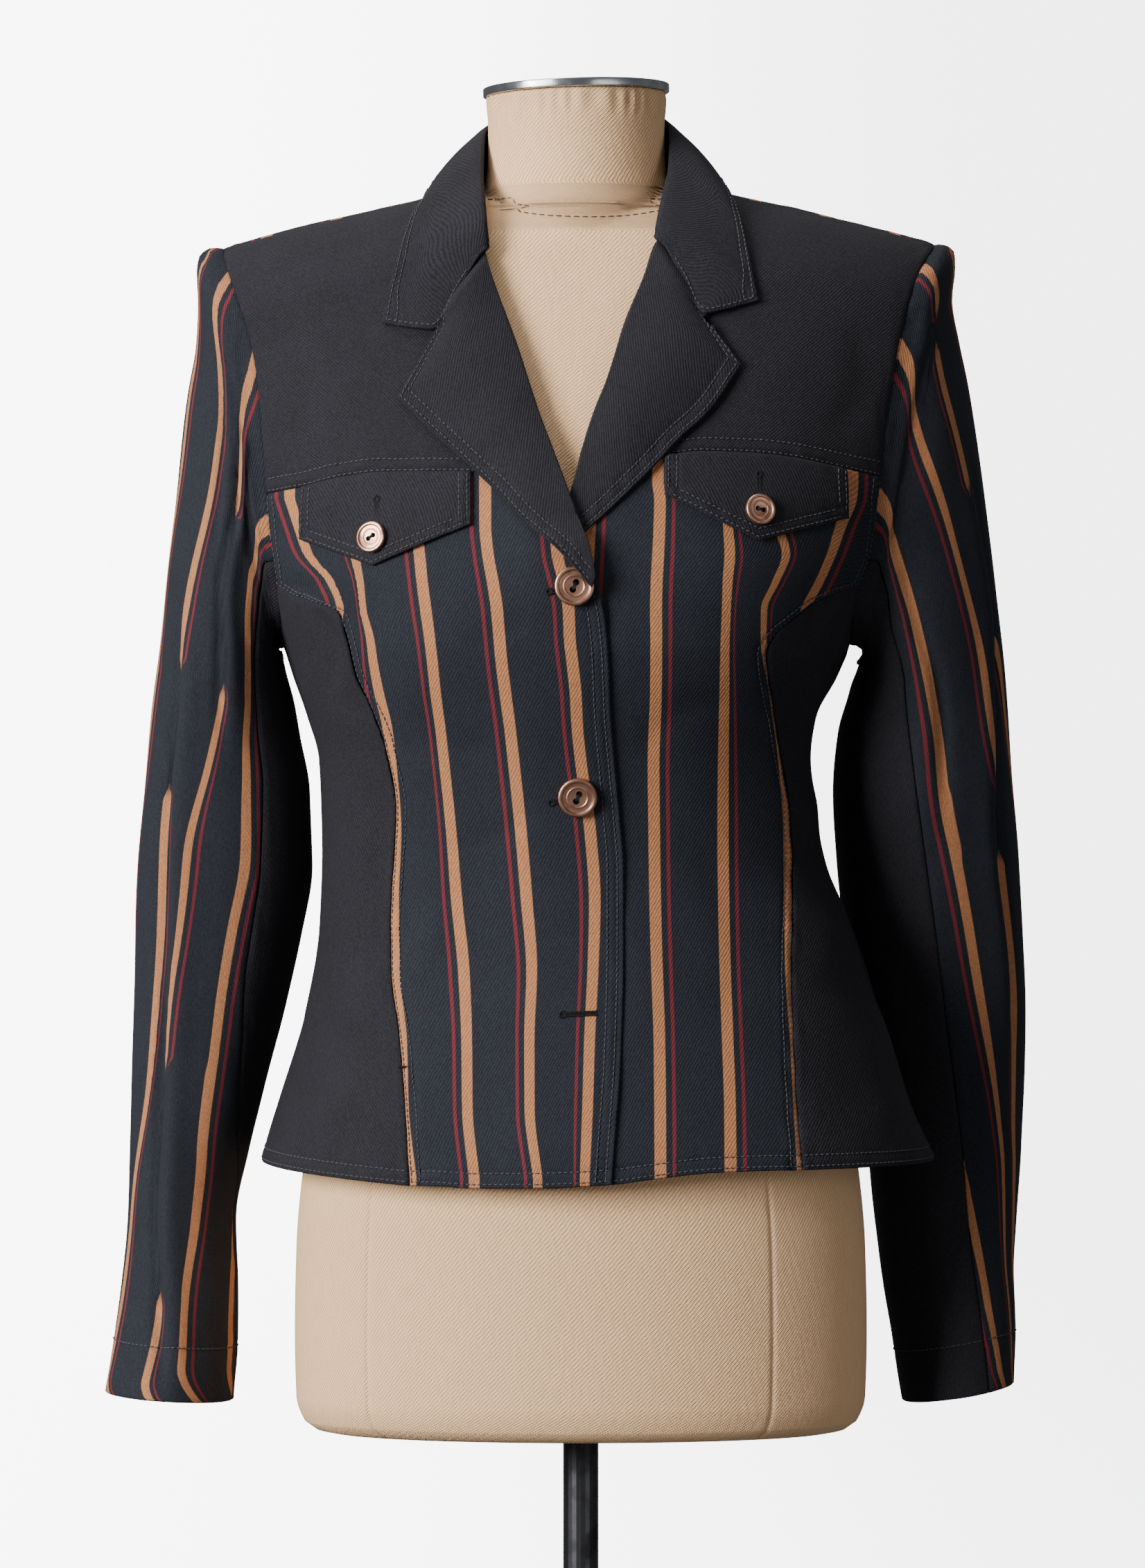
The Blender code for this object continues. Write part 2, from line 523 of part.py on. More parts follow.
def add_cloth(name, grid, material, thickness=CLOTH, outward=None):
    """A wall of cloth: the grid is its outer face, and Solidify gives it its thickness."""
    steps = len(grid[0])
    points = [tuple(point) for line in grid for point in line]
    faces = []
    for r in range(len(grid) - 1):
        for c in range(steps - 1):
            a = r * steps + c
            faces.append((a, a + 1, a + steps + 1, a + steps))
    mesh = bpy.data.meshes.new(name)
    mesh.from_pydata(points, [], faces)
    mesh.update()
    middle = mesh.polygons[len(mesh.polygons) // 2]
    direction = outward or BODY_SURFACE.normal(Vector(middle.center))
    if middle.normal.dot(direction) < 0:
        mesh.flip_normals()
    mesh.shade_smooth()
    obj = add_object(name, mesh, material)
    wall = obj.modifiers.new("Thickness", "SOLIDIFY")
    wall.thickness = thickness
    wall.offset = -1.0
    wall.use_even_offset = False
    return obj


def place_on_axes(obj, point, normal):
    """Put an object that was made along +Z at a point, along a normal."""
    obj.location = point
    obj.rotation_euler = Vector((0, 0, 1)).rotation_difference(normal).to_euler()


def add_turned(name, profile, material, steps):
    """A solid turned about Z from a profile that runs down its outer side, top to bottom."""
    mesh = bpy.data.meshes.new(name)
    points = [(radius, 0.0, height) for radius, height in profile]
    mesh.from_pydata(points, [(i, i + 1) for i in range(len(points) - 1)], [])
    obj = add_object(name, mesh, material)
    screw = obj.modifiers.new("Turn", "SCREW")
    screw.steps = steps
    screw.render_steps = steps
    screw.use_merge_vertices = True
    screw.merge_threshold = 0.00002
    return obj


def front_rows(side):
    """Heights of the front's outer border: up the princess seam, then up the armhole to the yoke."""
    seam = [row[0] for row in PRINCESS[side]]
    top = yoke_corner(side)[1]
    return seam + [mix(seam[-1], top, step) for step in ARMHOLE_STEPS_TO_YOKE]


def row_shares(side):
    """How far up each row of the side panel and the back is, from 0 at the hem to 1."""
    heights = [row[0] for row in PRINCESS[side][:PRINCESS_TURN + 1]]
    return [(z - heights[0]) / (heights[-1] - heights[0]) for z in heights]


def yoke_corner(side):
    """Where the yoke seam meets the armhole."""
    rows = sorted(YOKE_SEAM[side], key=lambda row: abs(row[0]))
    z = rows[-1][1]
    return armhole_x(side, z, -1), z


def make_front(side, material):
    heights = front_rows(side)
    edge, seam, yoke = FRONT_EDGES[side], PRINCESS_SEAMS[side], YOKE_SEAMS[side]
    corner = yoke_corner(side)
    near_hem = edge(0.7736), FRONT_HEM_LINE(edge(0.7736))
    far_hem = side * PRINCESS[side][0][1], heights[0]
    near_top_z = yoke(-0.0118 if side < 0 else -0.0010)
    near_top = edge(near_top_z), near_top_z

    def bottom(c):
        x = mix(near_hem[0], far_hem[0], c)
        return x, mix(FRONT_HEM_LINE(x), heights[0], ease(c * 4 - 3))

    def top(c):
        x = mix(near_top[0], corner[0], c)
        return x, corner[1] if c == 1 else yoke(x)

    def start(s):
        z = mix(near_hem[1], near_top[1], s)
        return edge(z), z

    def end(s):
        z = mix(heights[0], heights[-1], s)
        nearest = min(heights, key=lambda height: abs(height - z))
        z = nearest if abs(nearest - z) < 1e-7 else z
        return (side * seam(z) if z <= PRINCESS[side][-1][0] else armhole_x(side, z, -1)), z

    rows = [(height - heights[0]) / (heights[-1] - heights[0]) for height in heights]
    grid = []
    for line in patch(bottom, top, start, end, STEPS_ACROSS_FRONT, rows):
        points = []
        for x, z in line:
            point = BODY_SURFACE.at(x, z, -1)
            lift = lap_lift(x, z) if side < 0 else 0.0
            points.append(point + BODY_SURFACE.normal(point) * lift)
        grid.append(points)
    return add_cloth("front_right" if side < 0 else "front_left", inset(grid, SEAM_INSET), material)


def make_yoke(side, material):
    edge, yoke, body = FRONT_EDGES[side], YOKE_SEAMS[side], BODY_SURFACE
    corner = yoke_corner(side)
    near_z = yoke(-0.0118 if side < 0 else -0.0010)
    near = edge(near_z), near_z
    tip_x = armhole_x(side, ARMHOLE[side][-1][0], -1)
    seam_climb = SHOULDER_ROUND * SHOULDER_SEAM_ANGLE

    def with_climb(x, z):
        return x, body.climb(x, z)

    def bottom(c):
        x = mix(near[0], corner[0], c)
        return with_climb(x, corner[1] if c == 1 else yoke(x))

    def top(c):
        return mix(side * NECK_REACH, tip_x, c), seam_climb

    def start(s):
        z = mix(near[1], body.shoulder(side * NECK_REACH), s)
        x = edge(z) if s < 1 else side * NECK_REACH
        x_climb = with_climb(x, z)
        return x, min(x_climb[1], seam_climb)

    def end(s):
        z = mix(corner[1], body.shoulder(tip_x), s)
        x = armhole_x(side, z, -1)
        return x, min(body.climb(x, z), seam_climb)

    rows = [0.0, 0.16, 0.32, 0.48, 0.62, 0.74, 0.84, 0.92, 0.97, 1.0]
    grid = []
    for line in patch(bottom, top, start, end, STEPS_ACROSS_FRONT, rows):
        points = []
        for x, climb in line:
            point = body.over(x, climb, -1)
            lift = lap_lift(x, point.z) if side < 0 else 0.0
            points.append(point + body.normal(point) * lift)
        grid.append(points)
    name = "front_yoke_right" if side < 0 else "front_yoke_left"
    return add_cloth(name, inset(grid, SEAM_INSET), material)


def back_seam_angle(side, z):
    """Where the side panel meets the back, as an angle round the body, up to the armhole."""
    top_x = abs(armhole_x(side, BACK_SEAM_TOP, 1))
    turn = ease((min(z, BACK_SEAM_TOP) - 0.97) / (2 * (BACK_SEAM_TOP - 0.97))) * 2
    x = side * mix(0.116, top_x, turn * turn)
    return BODY_SURFACE.angle(x, z, 1)


def make_side(side, material):
    """From the princess seam round the side to the back seam, up to the armhole."""
    body, seam = BODY_SURFACE, PRINCESS[side]
    turn_z = seam[PRINCESS_TURN][0]
    tops = [(body.angle(side * x, z, -1), z) for z, x in seam[PRINCESS_TURN:]]
    low = ARMHOLE[side][0][0]
    for share in (0.45, 0.80):
        z = mix(seam[-1][0], low, share)
        tops.append((body.angle(armhole_x(side, z, -1), z, -1), z))
    tops.append((0.0 if side > 0 else math.pi, low))
    for share in (0.45, 1.0):
        z = mix(low, BACK_SEAM_TOP, share)
        tops.append((body.angle(armhole_x(side, z, 1), z, 1), z))
    if side > 0:
        tops = [(angle if angle < math.pi else angle - 2 * math.pi, z) for angle, z in tops]
    seam_line = Curve([(z, x) for z, x in seam[:PRINCESS_TURN + 1]])
    heights = [z for z, _ in seam[:PRINCESS_TURN + 1]]
    shares = row_shares(side)

    def ends(z):
        first = body.angle(side * seam_line(min(z, turn_z)), z, -1)
        last = back_seam_angle(side, z)
        return first, last - (2 * math.pi if side > 0 else 0.0)

    grid = []
    count = len(tops) - 1
    for share in shares:
        line = []
        for i, (top_angle, top_z) in enumerate(tops):
            across = i / count
            first_z = mix(heights[0], BACK_HEM, across)
            dip = 0.0
            if side < 0:
                dip = FRONT_HEM_LINE(-0.175) - mix(heights[0], BACK_HEM, 0.4)
            z = mix(first_z + dip * math.sin(math.pi * across), top_z, share)
            first, last = ends(top_z)
            top_share = (top_angle - first) / (last - first)
            first, last = ends(z)
            angle = mix(first, last, mix(across, top_share, share ** 1.5))
            if i == 0:
                angle = first
            line.append(body.round_side(angle, z))
        grid.append(line)
    side_out = Vector((side, 0, 0))
    name = "side_right" if side < 0 else "side_left"
    return add_cloth(name, inset(grid, SEAM_INSET), material, outward=side_out)


def make_back(side, material):
    body = BODY_SURFACE
    tip_z = ARMHOLE[side][-1][0]
    tip_x = armhole_x(side, tip_z, 1)
    past_ridge = SHOULDER_ROUND * (math.pi - SHOULDER_SEAM_ANGLE)
    side_rows = [mix(BACK_HEM, BACK_SEAM_TOP, share) for share in row_shares(side)]
    armhole_rows = [mix(BACK_SEAM_TOP, tip_z, share) for share in (0.2, 0.42, 0.62, 0.78, 0.9, 0.96, 0.985, 0.996)]

    def seam_x(z):
        middle = (body.left(z) - body.right(z)) / 2
        reach = (body.left(z) + body.right(z)) / 2
        return middle + reach * math.cos(back_seam_angle(side, z))

    outer = [(seam_x(z), z) for z in side_rows]
    outer += [(armhole_x(side, z, 1), z) for z in armhole_rows]
    outer = [(x, body.climb(x, z)) for x, z in outer]
    outer.append((tip_x, SHOULDER_ROUND * math.pi / 2))
    outer.append((tip_x, past_ridge))
    first, last = outer[0][1], outer[-1][1]
    rows = [(climb - first) / (last - first) for _, climb in outer]
    neck_climb = SHOULDER_ROUND * math.asin(1 - 0.026 / SHOULDER_ROUND)

    def bottom(c):
        x = outer[0][0] * c
        return x, body.climb(x, BACK_HEM)

    def top(c):
        x = tip_x * c
        round_neck = ease(abs(x) / NECK_REACH) ** 1.6
        return x, mix(neck_climb, past_ridge, round_neck)

    def start(s):
        return 0.0, mix(body.climb(0.0, BACK_HEM), neck_climb, s)

    def end(s):
        nearest = min(range(len(rows)), key=lambda k: abs(rows[k] - s))
        return outer[nearest]

    grid = []
    for line in patch(bottom, top, start, end, 8, rows):
        grid.append([body.over(x, climb, 1) for x, climb in line])
    name = "back_right" if side < 0 else "back_left"
    return add_cloth(name, inset(grid, SEAM_INSET), material, outward=Vector((0, 1, 0)))


def make_lapel(side, material):
    """Turned back from the roll line, over the yoke and the front."""
    grid = []
    steps = 4
    for roll_x, roll_z, outer_x, outer_z in LAPEL[side]:
        line = []
        for i in range(steps + 1):
            across = i / steps
            x, z = mix(roll_x, outer_x, across), mix(roll_z, outer_z, across)
            free = ease((roll_z - 1.18) / 0.05)
            swell = (LAPEL_SWELL * math.sin(math.pi * min(across * 1.15, 1.0)) + LAPEL_STANDS_OFF) * free
            lift = LAPEL_LIFT + LAPEL_CLOTH + swell
            if side < 0:
                lift += lap_lift(x, z) + LAPEL_TAIL_LIFT * ease((1.160 - z) / 0.022)
            point = BODY_SURFACE.at(x, z, -1)
            line.append(point + BODY_SURFACE.normal(point) * lift)
        grid.append(line)
    name = "lapel_right" if side < 0 else "lapel_left"
    return add_cloth(name, inset(grid, SEAM_INSET), material, LAPEL_CLOTH)


def collar_section(row, side, end_share):
    """The points across the collar: up the stand, over the fold and down the fall to the edge."""
    body = BODY_SURFACE
    roll_x, roll_y, roll_z, edge_x, edge_z, facing = row
    if roll_y is None:
        on_body = body.at(roll_x, roll_z, -1)
        roll_y = on_body.y - COLLAR_STANDS_OFF
    roll = Vector((roll_x, roll_y, roll_z))
    edge = body.at(edge_x, min(edge_z, body.shoulder(edge_x)), facing)
    edge = edge + body.normal(edge) * (COLLAR_LIFT + COLLAR_CLOTH)
    outward = edge - roll
    outward.normalize()
    foot_share = 1 - end_share
    foot = roll + outward * 0.010 + Vector((0, 0, -0.002))
    if foot_share > 0:
        seam = roll + (edge - roll) * 0.62
        foot = foot.lerp(seam, foot_share)
    foot = body.lifted(foot, 0.0009)
    up = body.normal(roll)
    up = (up - outward * up.dot(outward)).normalized()
    inner = roll - up * COLLAR_FOLD
    outer = roll + up * COLLAR_FOLD * 0.2 + outward * COLLAR_FOLD * 0.9
    tip = roll - outward * COLLAR_FOLD * 0.55 - up * COLLAR_FOLD * 0.25
    section = [foot, foot.lerp(inner, 0.5), inner + outward * COLLAR_FOLD * 0.6, tip, outer]
    middle = Vector((NOTCH[side][0], 0, NOTCH[side][1]))
    notch = body.at(middle.x, middle.z, -1)
    notch = notch + body.normal(notch) * (COLLAR_LIFT + COLLAR_CLOTH)
    for share in (0.33, 0.66):
        point = outer.lerp(edge, share) + up * 0.0022 * math.sin(math.pi * share)
        if end_share > 0.5:
            bend = outer.lerp(notch, share / 0.66)
            point = point.lerp(bend, (end_share - 0.5) * 2)
        section.append(body.lifted(point, COLLAR_LIFT + COLLAR_CLOTH + 0.0008))
    section.append(edge)
    return section


def make_collar(material):
    count = len(COLLAR) - 1
    grid = []
    for k, row in enumerate(COLLAR):
        side = -1 if k < count / 2 else 1
        from_end = min(k, count - k)
        end_share = (1.0, 0.5, 0.12)[from_end] if from_end < 3 else 0.0
        grid.append(collar_section(row, side, end_share))
    return add_cloth("collar", grid, material, COLLAR_CLOTH, outward=Vector((0, 1, 0)))


class SleeveSurface:
    """The outer surface of one sleeve, from the armhole's loop down to the cuff."""

    def __init__(self, side):
        self.side = side
        self.rings = SLEEVE[side]
        self.seam = Curve(SLEEVE_FRONT_SEAM[side])

    def cardinal(self, ring):
        outer_x, outer_z, inner_x, inner_z, middle_y, half_depth, own = ring
        outer = Vector((self.side * outer_x, middle_y * (1 - own), outer_z))
        inner = Vector((self.side * inner_x, middle_y * (1 - own), inner_z))
        centre = (outer + inner) / 2
        front = Vector((centre.x, middle_y - half_depth, centre.z))
        back = Vector((centre.x, middle_y + half_depth, centre.z))
        return outer, front, inner, back

    def on_ring(self, ring, angle):
        outer, front, inner, back = self.cardinal(ring)
        centre = (outer + inner) / 2
        swing = (front + back) / 2 - centre
        sine, cosine = math.sin(angle), math.cos(angle)
        point = centre + (outer - inner) / 2 * cosine + (front - back) / 2 * sine + swing * sine * sine
        own = ring[6]
        if own > 0:
            loop = armhole_point(self.side, angle)
            top, bottom = armhole_point(self.side, 0.0), armhole_point(self.side, math.pi)
            rounded = (top + bottom) / 2 + (top - bottom) / 2 * cosine
            rounded.y = -ring[5] * sine
            shape = loop - rounded
            point = point + shape * own
        return point

    def fold_lift(self, k, angle, radius):
        """How far the cloth stands out or falls in beside its long folds."""
        lift = 0.0
        for rise, fall, width, line in SLEEVE_FOLDS[self.side]:
            first, last = line[0][0], line[-1][0]
            strength = ease((k - first + 0.6) / 1.6) * ease((last + 0.6 - k) / 1.6)
            away = angle - math.radians(Curve(line)(k))
            away = math.remainder(away, 2 * math.pi) * radius
            lift += strength * rise * math.exp(-((away - 0.8 * width) / width) ** 2)
            lift -= strength * fall * math.exp(-((away + 0.3 * width) / (0.7 * width)) ** 2)
        return lift

    def at(self, k, angle):
        if k == 0:
            point = armhole_point(self.side, angle)
            step = mix(ARMHOLE_STEP, UNDERARM_STEP, (1 - math.cos(angle)) / 2)
            return point + Vector((self.side * step, 0, 0))
        ring = self.rings[k - 1]
        outer, front, inner, back = self.cardinal(ring)
        point = self.on_ring(ring, angle)
        outward = point - (outer + inner) / 2 - ((front + back) / 2 - (outer + inner) / 2)
        radius = ((outer - inner).length + (front - back).length) / 4
        return point + outward.normalized() * self.fold_lift(k, angle, radius)

    def seam_angle(self, k):
        if k == 0:
            return math.radians(self.seam(1.20))
        ring = self.rings[k - 1]
        return math.radians(self.seam((ring[1] + ring[3]) / 2))

    def rows(self):
        return range(len(self.rings) + 1)


def make_sleeve(side, striped, plain):
    surface = SleeveSurface(side)
    word = "right" if side < 0 else "left"
    back_seam = math.radians(SLEEVE_BACK_SEAM)
    top_grid, under_grid = [], []
    for k in surface.rows():
        front_seam = surface.seam_angle(k)
        top_start, top_end = back_seam - 2 * math.pi, front_seam
        top_grid.append([
            surface.at(k, mix(top_start, top_end, i / TOP_SLEEVE_STEPS) % (2 * math.pi))
            for i in range(TOP_SLEEVE_STEPS + 1)
        ])
        under_grid.append([
            surface.at(k, mix(front_seam, back_seam, i / UNDER_SLEEVE_STEPS))
            for i in range(UNDER_SLEEVE_STEPS + 1)
        ])
    out = Vector((side, 0, 0))
    add_cloth("sleeve_top_" + word, inset(top_grid, SLEEVE_SEAM_INSET), striped, outward=out)
    add_cloth("sleeve_under_" + word, inset(under_grid, SLEEVE_SEAM_INSET), plain, outward=-out)


def make_flap(side, material):
    left_x, left_top, right_x, right_top, left_low, right_low, point_x, point_z = FLAPS[side]
    steps = 6
    point_share = (point_x - left_x) / (right_x - left_x)
    grid = []
    for r in range(4):
        down = r / 3
        line = []
        for i in range(steps + 1):
            share = i / steps
            if i == steps // 2:
                share = point_share
            elif i < steps // 2:
                share = point_share * i / (steps // 2)
            else:
                share = mix(point_share, 1.0, (i - steps // 2) / (steps - steps // 2))
            x = mix(left_x, right_x, share)
            top = YOKE_SEAMS[side](x) - FLAP_BELOW_SEAM
            if share <= point_share:
                low = mix(left_low, point_z, share / point_share)
            else:
                low = mix(point_z, right_low, (share - point_share) / (1 - point_share))
            z = mix(top, low, down)
            point = BODY_SURFACE.at(x, z, -1)
            line.append(point + BODY_SURFACE.normal(point) * (FLAP_LIFT + FLAP_CLOTH + FLAP_FLARE * down))
        grid.append(line)
    name = "flap_right" if side < 0 else "flap_left"
    return add_cloth(name, grid, material, FLAP_CLOTH)


def add_button(name, x, z, lift, radius, depth, material):
    """A turned button with a raised rim, a dished middle and a flat back."""
    rim = radius * 0.80
    profile = [
        (0.0, depth * 0.62), (rim * 0.55, depth * 0.60), (rim * 0.90, depth * 0.72), (rim, depth * 0.98),
        (radius * 0.90, depth), (radius * 0.98, depth * 0.80), (radius, depth * 0.45), (radius * 0.94, 0.0), (0.0, 0.0),
    ]
    button = add_turned(name, profile, material, 20)
    point = BODY_SURFACE.at(x, z, -1)
    normal = BODY_SURFACE.normal(point)
    place_on_axes(button, point + normal * lift, normal)
    return button


def form_ring(z, body_table, neck_table):
    """One closed line round the dress form at a height."""
    body = BODY_SURFACE
    right, left, front, back = (curve(z) for curve in body_table)
    neck_half, neck_front, neck_back = (curve(z) for curve in neck_table)

    def ridge(x):
        return body.shoulder(x) - CLOTH - mix(FORM_GAP, FORM_NECK_GAP, ease((0.135 - abs(x)) / 0.040))

    def reach(side, width):
        """The shoulder's reach at this height, where the ridge comes down to it."""
        if ridge(side * width) >= z:
            return width
        near, far = 0.0, width
        for _ in range(30):
            middle = (near + far) / 2
            if ridge(side * middle) >= z:
                near = middle
            else:
                far = middle
        return near

    widths = {-1: reach(-1, right), 1: reach(1, left)}
    if z > 1.25:
        widths = {side: max(width, neck_half + side * NECK_MIDDLE) for side, width in widths.items()}
    middle = (widths[1] - widths[-1]) / 2
    half = (widths[1] + widths[-1]) / 2
    ring = []
    for i in range(FORM_STEPS):
        turn = 2 * math.pi * i / FORM_STEPS
        x = middle + half * math.cos(turn)
        facing = -1 if math.sin(turn) > 0 else 1
        wide = right if x < 0 else left
        spread = min(abs(x) / wide, 1.0)
        shoulder = max(1 - spread * spread, 0.0) ** (0.45 if facing < 0 else 0.5)
        rise = max(1 - (ridge(x) - z) / SHOULDER_ROUND, 0.0)
        shoulder *= math.sqrt(max(1 - rise * rise, 0.0)) * (front if facing < 0 else back)
        neck = 0.0
        across = (x - NECK_MIDDLE) / neck_half
        if z > 1.24 and abs(across) < 1:
            neck = math.sqrt(1 - across ** 2) * (neck_front if facing < 0 else neck_back)
        tilt = NECK_TILT * x * ease((z - 1.38) / 0.035)
        depth = 0.0 if abs(math.sin(turn)) < 1e-9 else max(shoulder, neck)
        ring.append((x, facing * depth, z + tilt))
    return ring


def make_form_torso(material):
    """A loft through the rings of the torso and the neck, with a socket for the pole below."""
    body_table, neck_table = columns(FORM), columns(NECK)
    rings = []
    socket = POLE_RADIUS + FIT_GAP
    for z in (POLE_SOCKET_TOP, FORM_FLOOR):
        ring = []
        for i in range(FORM_STEPS):
            turn = 2 * math.pi * i / FORM_STEPS
            ring.append((socket * math.cos(turn), -socket * math.sin(turn), z))
        rings.append(ring)
    rings += [form_ring(z, body_table, neck_table) for z in FORM_HEIGHTS]
    points = [point for ring in rings for point in ring]
    faces = [tuple(range(FORM_STEPS))]
    for r in range(len(rings) - 1):
        for i in range(FORM_STEPS):
            a, b = r * FORM_STEPS + i, r * FORM_STEPS + (i + 1) % FORM_STEPS
            faces.append((a, a + FORM_STEPS, b + FORM_STEPS, b))
    last = (len(rings) - 1) * FORM_STEPS
    faces.append(tuple(last + i for i in reversed(range(FORM_STEPS))))
    mesh = bpy.data.meshes.new("form_torso")
    mesh.from_pydata(points, [], faces)
    mesh.update()
    mesh.shade_smooth()
    return add_object("form_torso", mesh, material)


def make_form_cap(material):
    """A bright plate with a low dome on top of the neck."""
    profile = [
        (0.0, CAP_DEPTH + CAP_DOME), (CAP_RADIUS * 0.5, CAP_DEPTH + CAP_DOME * 0.8), (CAP_RADIUS * 0.86, CAP_DEPTH),
        (CAP_RADIUS * 0.98, CAP_DEPTH * 0.78), (CAP_RADIUS, CAP_DEPTH * 0.4), (CAP_RADIUS * 0.98, 0.0), (0.0, 0.0),
    ]
    cap = add_turned("form_cap", profile, material, 32)
    cap.location = (NECK_MIDDLE, 0.0, FORM_TOP + NECK_TILT * NECK_MIDDLE + FIT_GAP)
    cap.rotation_euler = (0.0, -math.atan(NECK_TILT), 0.0)
    return cap


def make_form_pole(material):
    bottom = BOSS_TOP - 0.040
    top = POLE_SOCKET_TOP - FIT_GAP
    bpy.ops.mesh.primitive_cylinder_add(
        vertices=24, radius=POLE_RADIUS, depth=top - bottom, location=(0, 0, (top + bottom) / 2)
    )
    pole = bpy.context.object
    pole.name = "form_pole"
    pole.data.name = "form_pole"
    pole.data.materials.append(material)
    for collection in list(pole.users_collection):
        collection.objects.unlink(pole)
    BLAZER_COLLECTION.objects.link(pole)
    return pole


def make_form_base(material):
    """A heavy round plate with a boss and a blind hole that holds the pole."""
    hole = POLE_RADIUS + FIT_GAP
    hole_floor = BOSS_TOP - 0.040 - FIT_GAP
    profile = [
        (0.0, hole_floor), (hole, hole_floor), (hole, BOSS_TOP), (BOSS_RADIUS * 0.8, BOSS_TOP),
        (BOSS_RADIUS, BOSS_TOP - 0.006), (BOSS_RADIUS * 1.1, BASE_DEPTH + 0.010), (BOSS_RADIUS * 1.7, BASE_DEPTH + 0.002),
        (BASE_RADIUS * 0.92, BASE_DEPTH * 0.75), (BASE_RADIUS, BASE_DEPTH * 0.35), (BASE_RADIUS, 0.0), (0.0, 0.0),
    ]
    return add_turned("form_base", profile, material, 40)


def main():
    black = make_material("black_twill", (0.012, 0.012, 0.014), 0.85)
    striped = make_material("striped_twill", (0.020, 0.022, 0.030), 0.85)
    linen = make_material("tan_canvas", (0.42, 0.32, 0.22), 0.90)
    chrome = make_material("bright_plate", (0.80, 0.80, 0.80), 0.15, 1.0)
    steel = make_material("dark_steel", (0.03, 0.03, 0.03), 0.40, 1.0)
    iron = make_material("dark_iron", (0.025, 0.025, 0.026), 0.55, 1.0)
    copper = make_material("aged_copper", (0.35, 0.17, 0.09), 0.40, 1.0)
    for side in (-1, 1):
        make_yoke(side, black)
        make_front(side, striped)
        make_side(side, black)
        make_back(side, striped)
        make_lapel(side, black)
        make_sleeve(side, striped, black)
        make_flap(side, black)
        word = "right" if side < 0 else "left"
        x, z = FLAP_BUTTONS[side]
        lift = FLAP_LIFT + FLAP_CLOTH + FLAP_FLARE + FLAP_BUTTON_GAP
        add_button("flap_button_" + word, x, z, lift, FLAP_BUTTON_RADIUS, FLAP_BUTTON_DEPTH, copper)
    make_collar(black)
    for word, (x, z) in FRONT_BUTTONS.items():
        lift = lap_lift(x, z) + BUTTON_GAP
        add_button("front_button_" + word, x, z, lift, FRONT_BUTTON_RADIUS, FRONT_BUTTON_DEPTH, copper)
    make_form_torso(linen)
    make_form_cap(chrome)
    make_form_pole(steel)
    make_form_base(iron)


for old in list(bpy.data.objects):
    bpy.data.objects.remove(old)
BLAZER_COLLECTION = bpy.data.collections.new("Blazer on a dress form")
bpy.context.scene.collection.children.link(BLAZER_COLLECTION)
main()
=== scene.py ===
"""A blazer worn on a limbless dress form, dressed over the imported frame.

Metres, +Z up, +X towards the wearer's left, -Y towards the front.
"""
from __future__ import annotations

import json
import logging
import math
from dataclasses import dataclass, field
from enum import Enum
from typing import Callable, Sequence

import bpy
import numpy as np
from mathutils import Matrix, Vector

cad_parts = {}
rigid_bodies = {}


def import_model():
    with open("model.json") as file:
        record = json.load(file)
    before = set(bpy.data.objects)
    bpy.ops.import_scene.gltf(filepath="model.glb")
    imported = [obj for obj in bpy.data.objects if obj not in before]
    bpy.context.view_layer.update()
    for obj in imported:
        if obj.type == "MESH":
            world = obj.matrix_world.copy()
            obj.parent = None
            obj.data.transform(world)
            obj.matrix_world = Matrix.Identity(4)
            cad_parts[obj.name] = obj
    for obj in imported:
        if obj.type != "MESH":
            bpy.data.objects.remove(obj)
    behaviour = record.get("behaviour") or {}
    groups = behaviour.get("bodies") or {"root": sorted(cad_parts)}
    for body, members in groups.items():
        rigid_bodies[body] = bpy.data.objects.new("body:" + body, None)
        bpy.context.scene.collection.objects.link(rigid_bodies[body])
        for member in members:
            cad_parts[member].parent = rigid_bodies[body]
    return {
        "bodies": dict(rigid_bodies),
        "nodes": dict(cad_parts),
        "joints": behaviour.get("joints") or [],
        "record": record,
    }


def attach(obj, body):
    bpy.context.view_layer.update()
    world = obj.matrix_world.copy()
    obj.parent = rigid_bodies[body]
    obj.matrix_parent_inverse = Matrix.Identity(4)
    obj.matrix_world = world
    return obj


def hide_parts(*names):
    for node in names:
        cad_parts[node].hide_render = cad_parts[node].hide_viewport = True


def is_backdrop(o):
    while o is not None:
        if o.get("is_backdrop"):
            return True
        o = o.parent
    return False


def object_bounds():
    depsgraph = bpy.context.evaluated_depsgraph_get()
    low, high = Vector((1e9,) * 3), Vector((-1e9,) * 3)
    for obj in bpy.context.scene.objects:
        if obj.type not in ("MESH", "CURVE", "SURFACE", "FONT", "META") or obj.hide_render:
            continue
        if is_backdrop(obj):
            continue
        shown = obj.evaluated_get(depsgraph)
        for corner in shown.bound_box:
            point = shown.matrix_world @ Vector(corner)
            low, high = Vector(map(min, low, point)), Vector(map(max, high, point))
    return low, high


LOG = logging.getLogger("blazer")
BODY_NAME = "root"
SIDES = (-1, 1)
SIDE_WORD = {-1: "right", 1: "left"}

# Camera: place, and focal length on a 36 mm sensor
CAMERA_PLACE = (-0.00496, -4.0, 1.005)
CAMERA_LENS = 153.99
CAMERA_DISTANCE = -CAMERA_PLACE[1]

# Lights: name, place, what it points at, how wide it is, power in watts
LIGHTS = [
    ("key_light", (-3.0, -2.5, 1.9), (0.0, 0.0, 1.0), 1.9, 345.0),
    ("fill_light", (2.4, -3.0, 1.0), (0.0, 0.0, 0.9), 2.4, 23.0),
    ("top_light", (-0.5, -0.2, 3.4), (0.0, 0.0, 1.2), 1.6, 44.0),
]

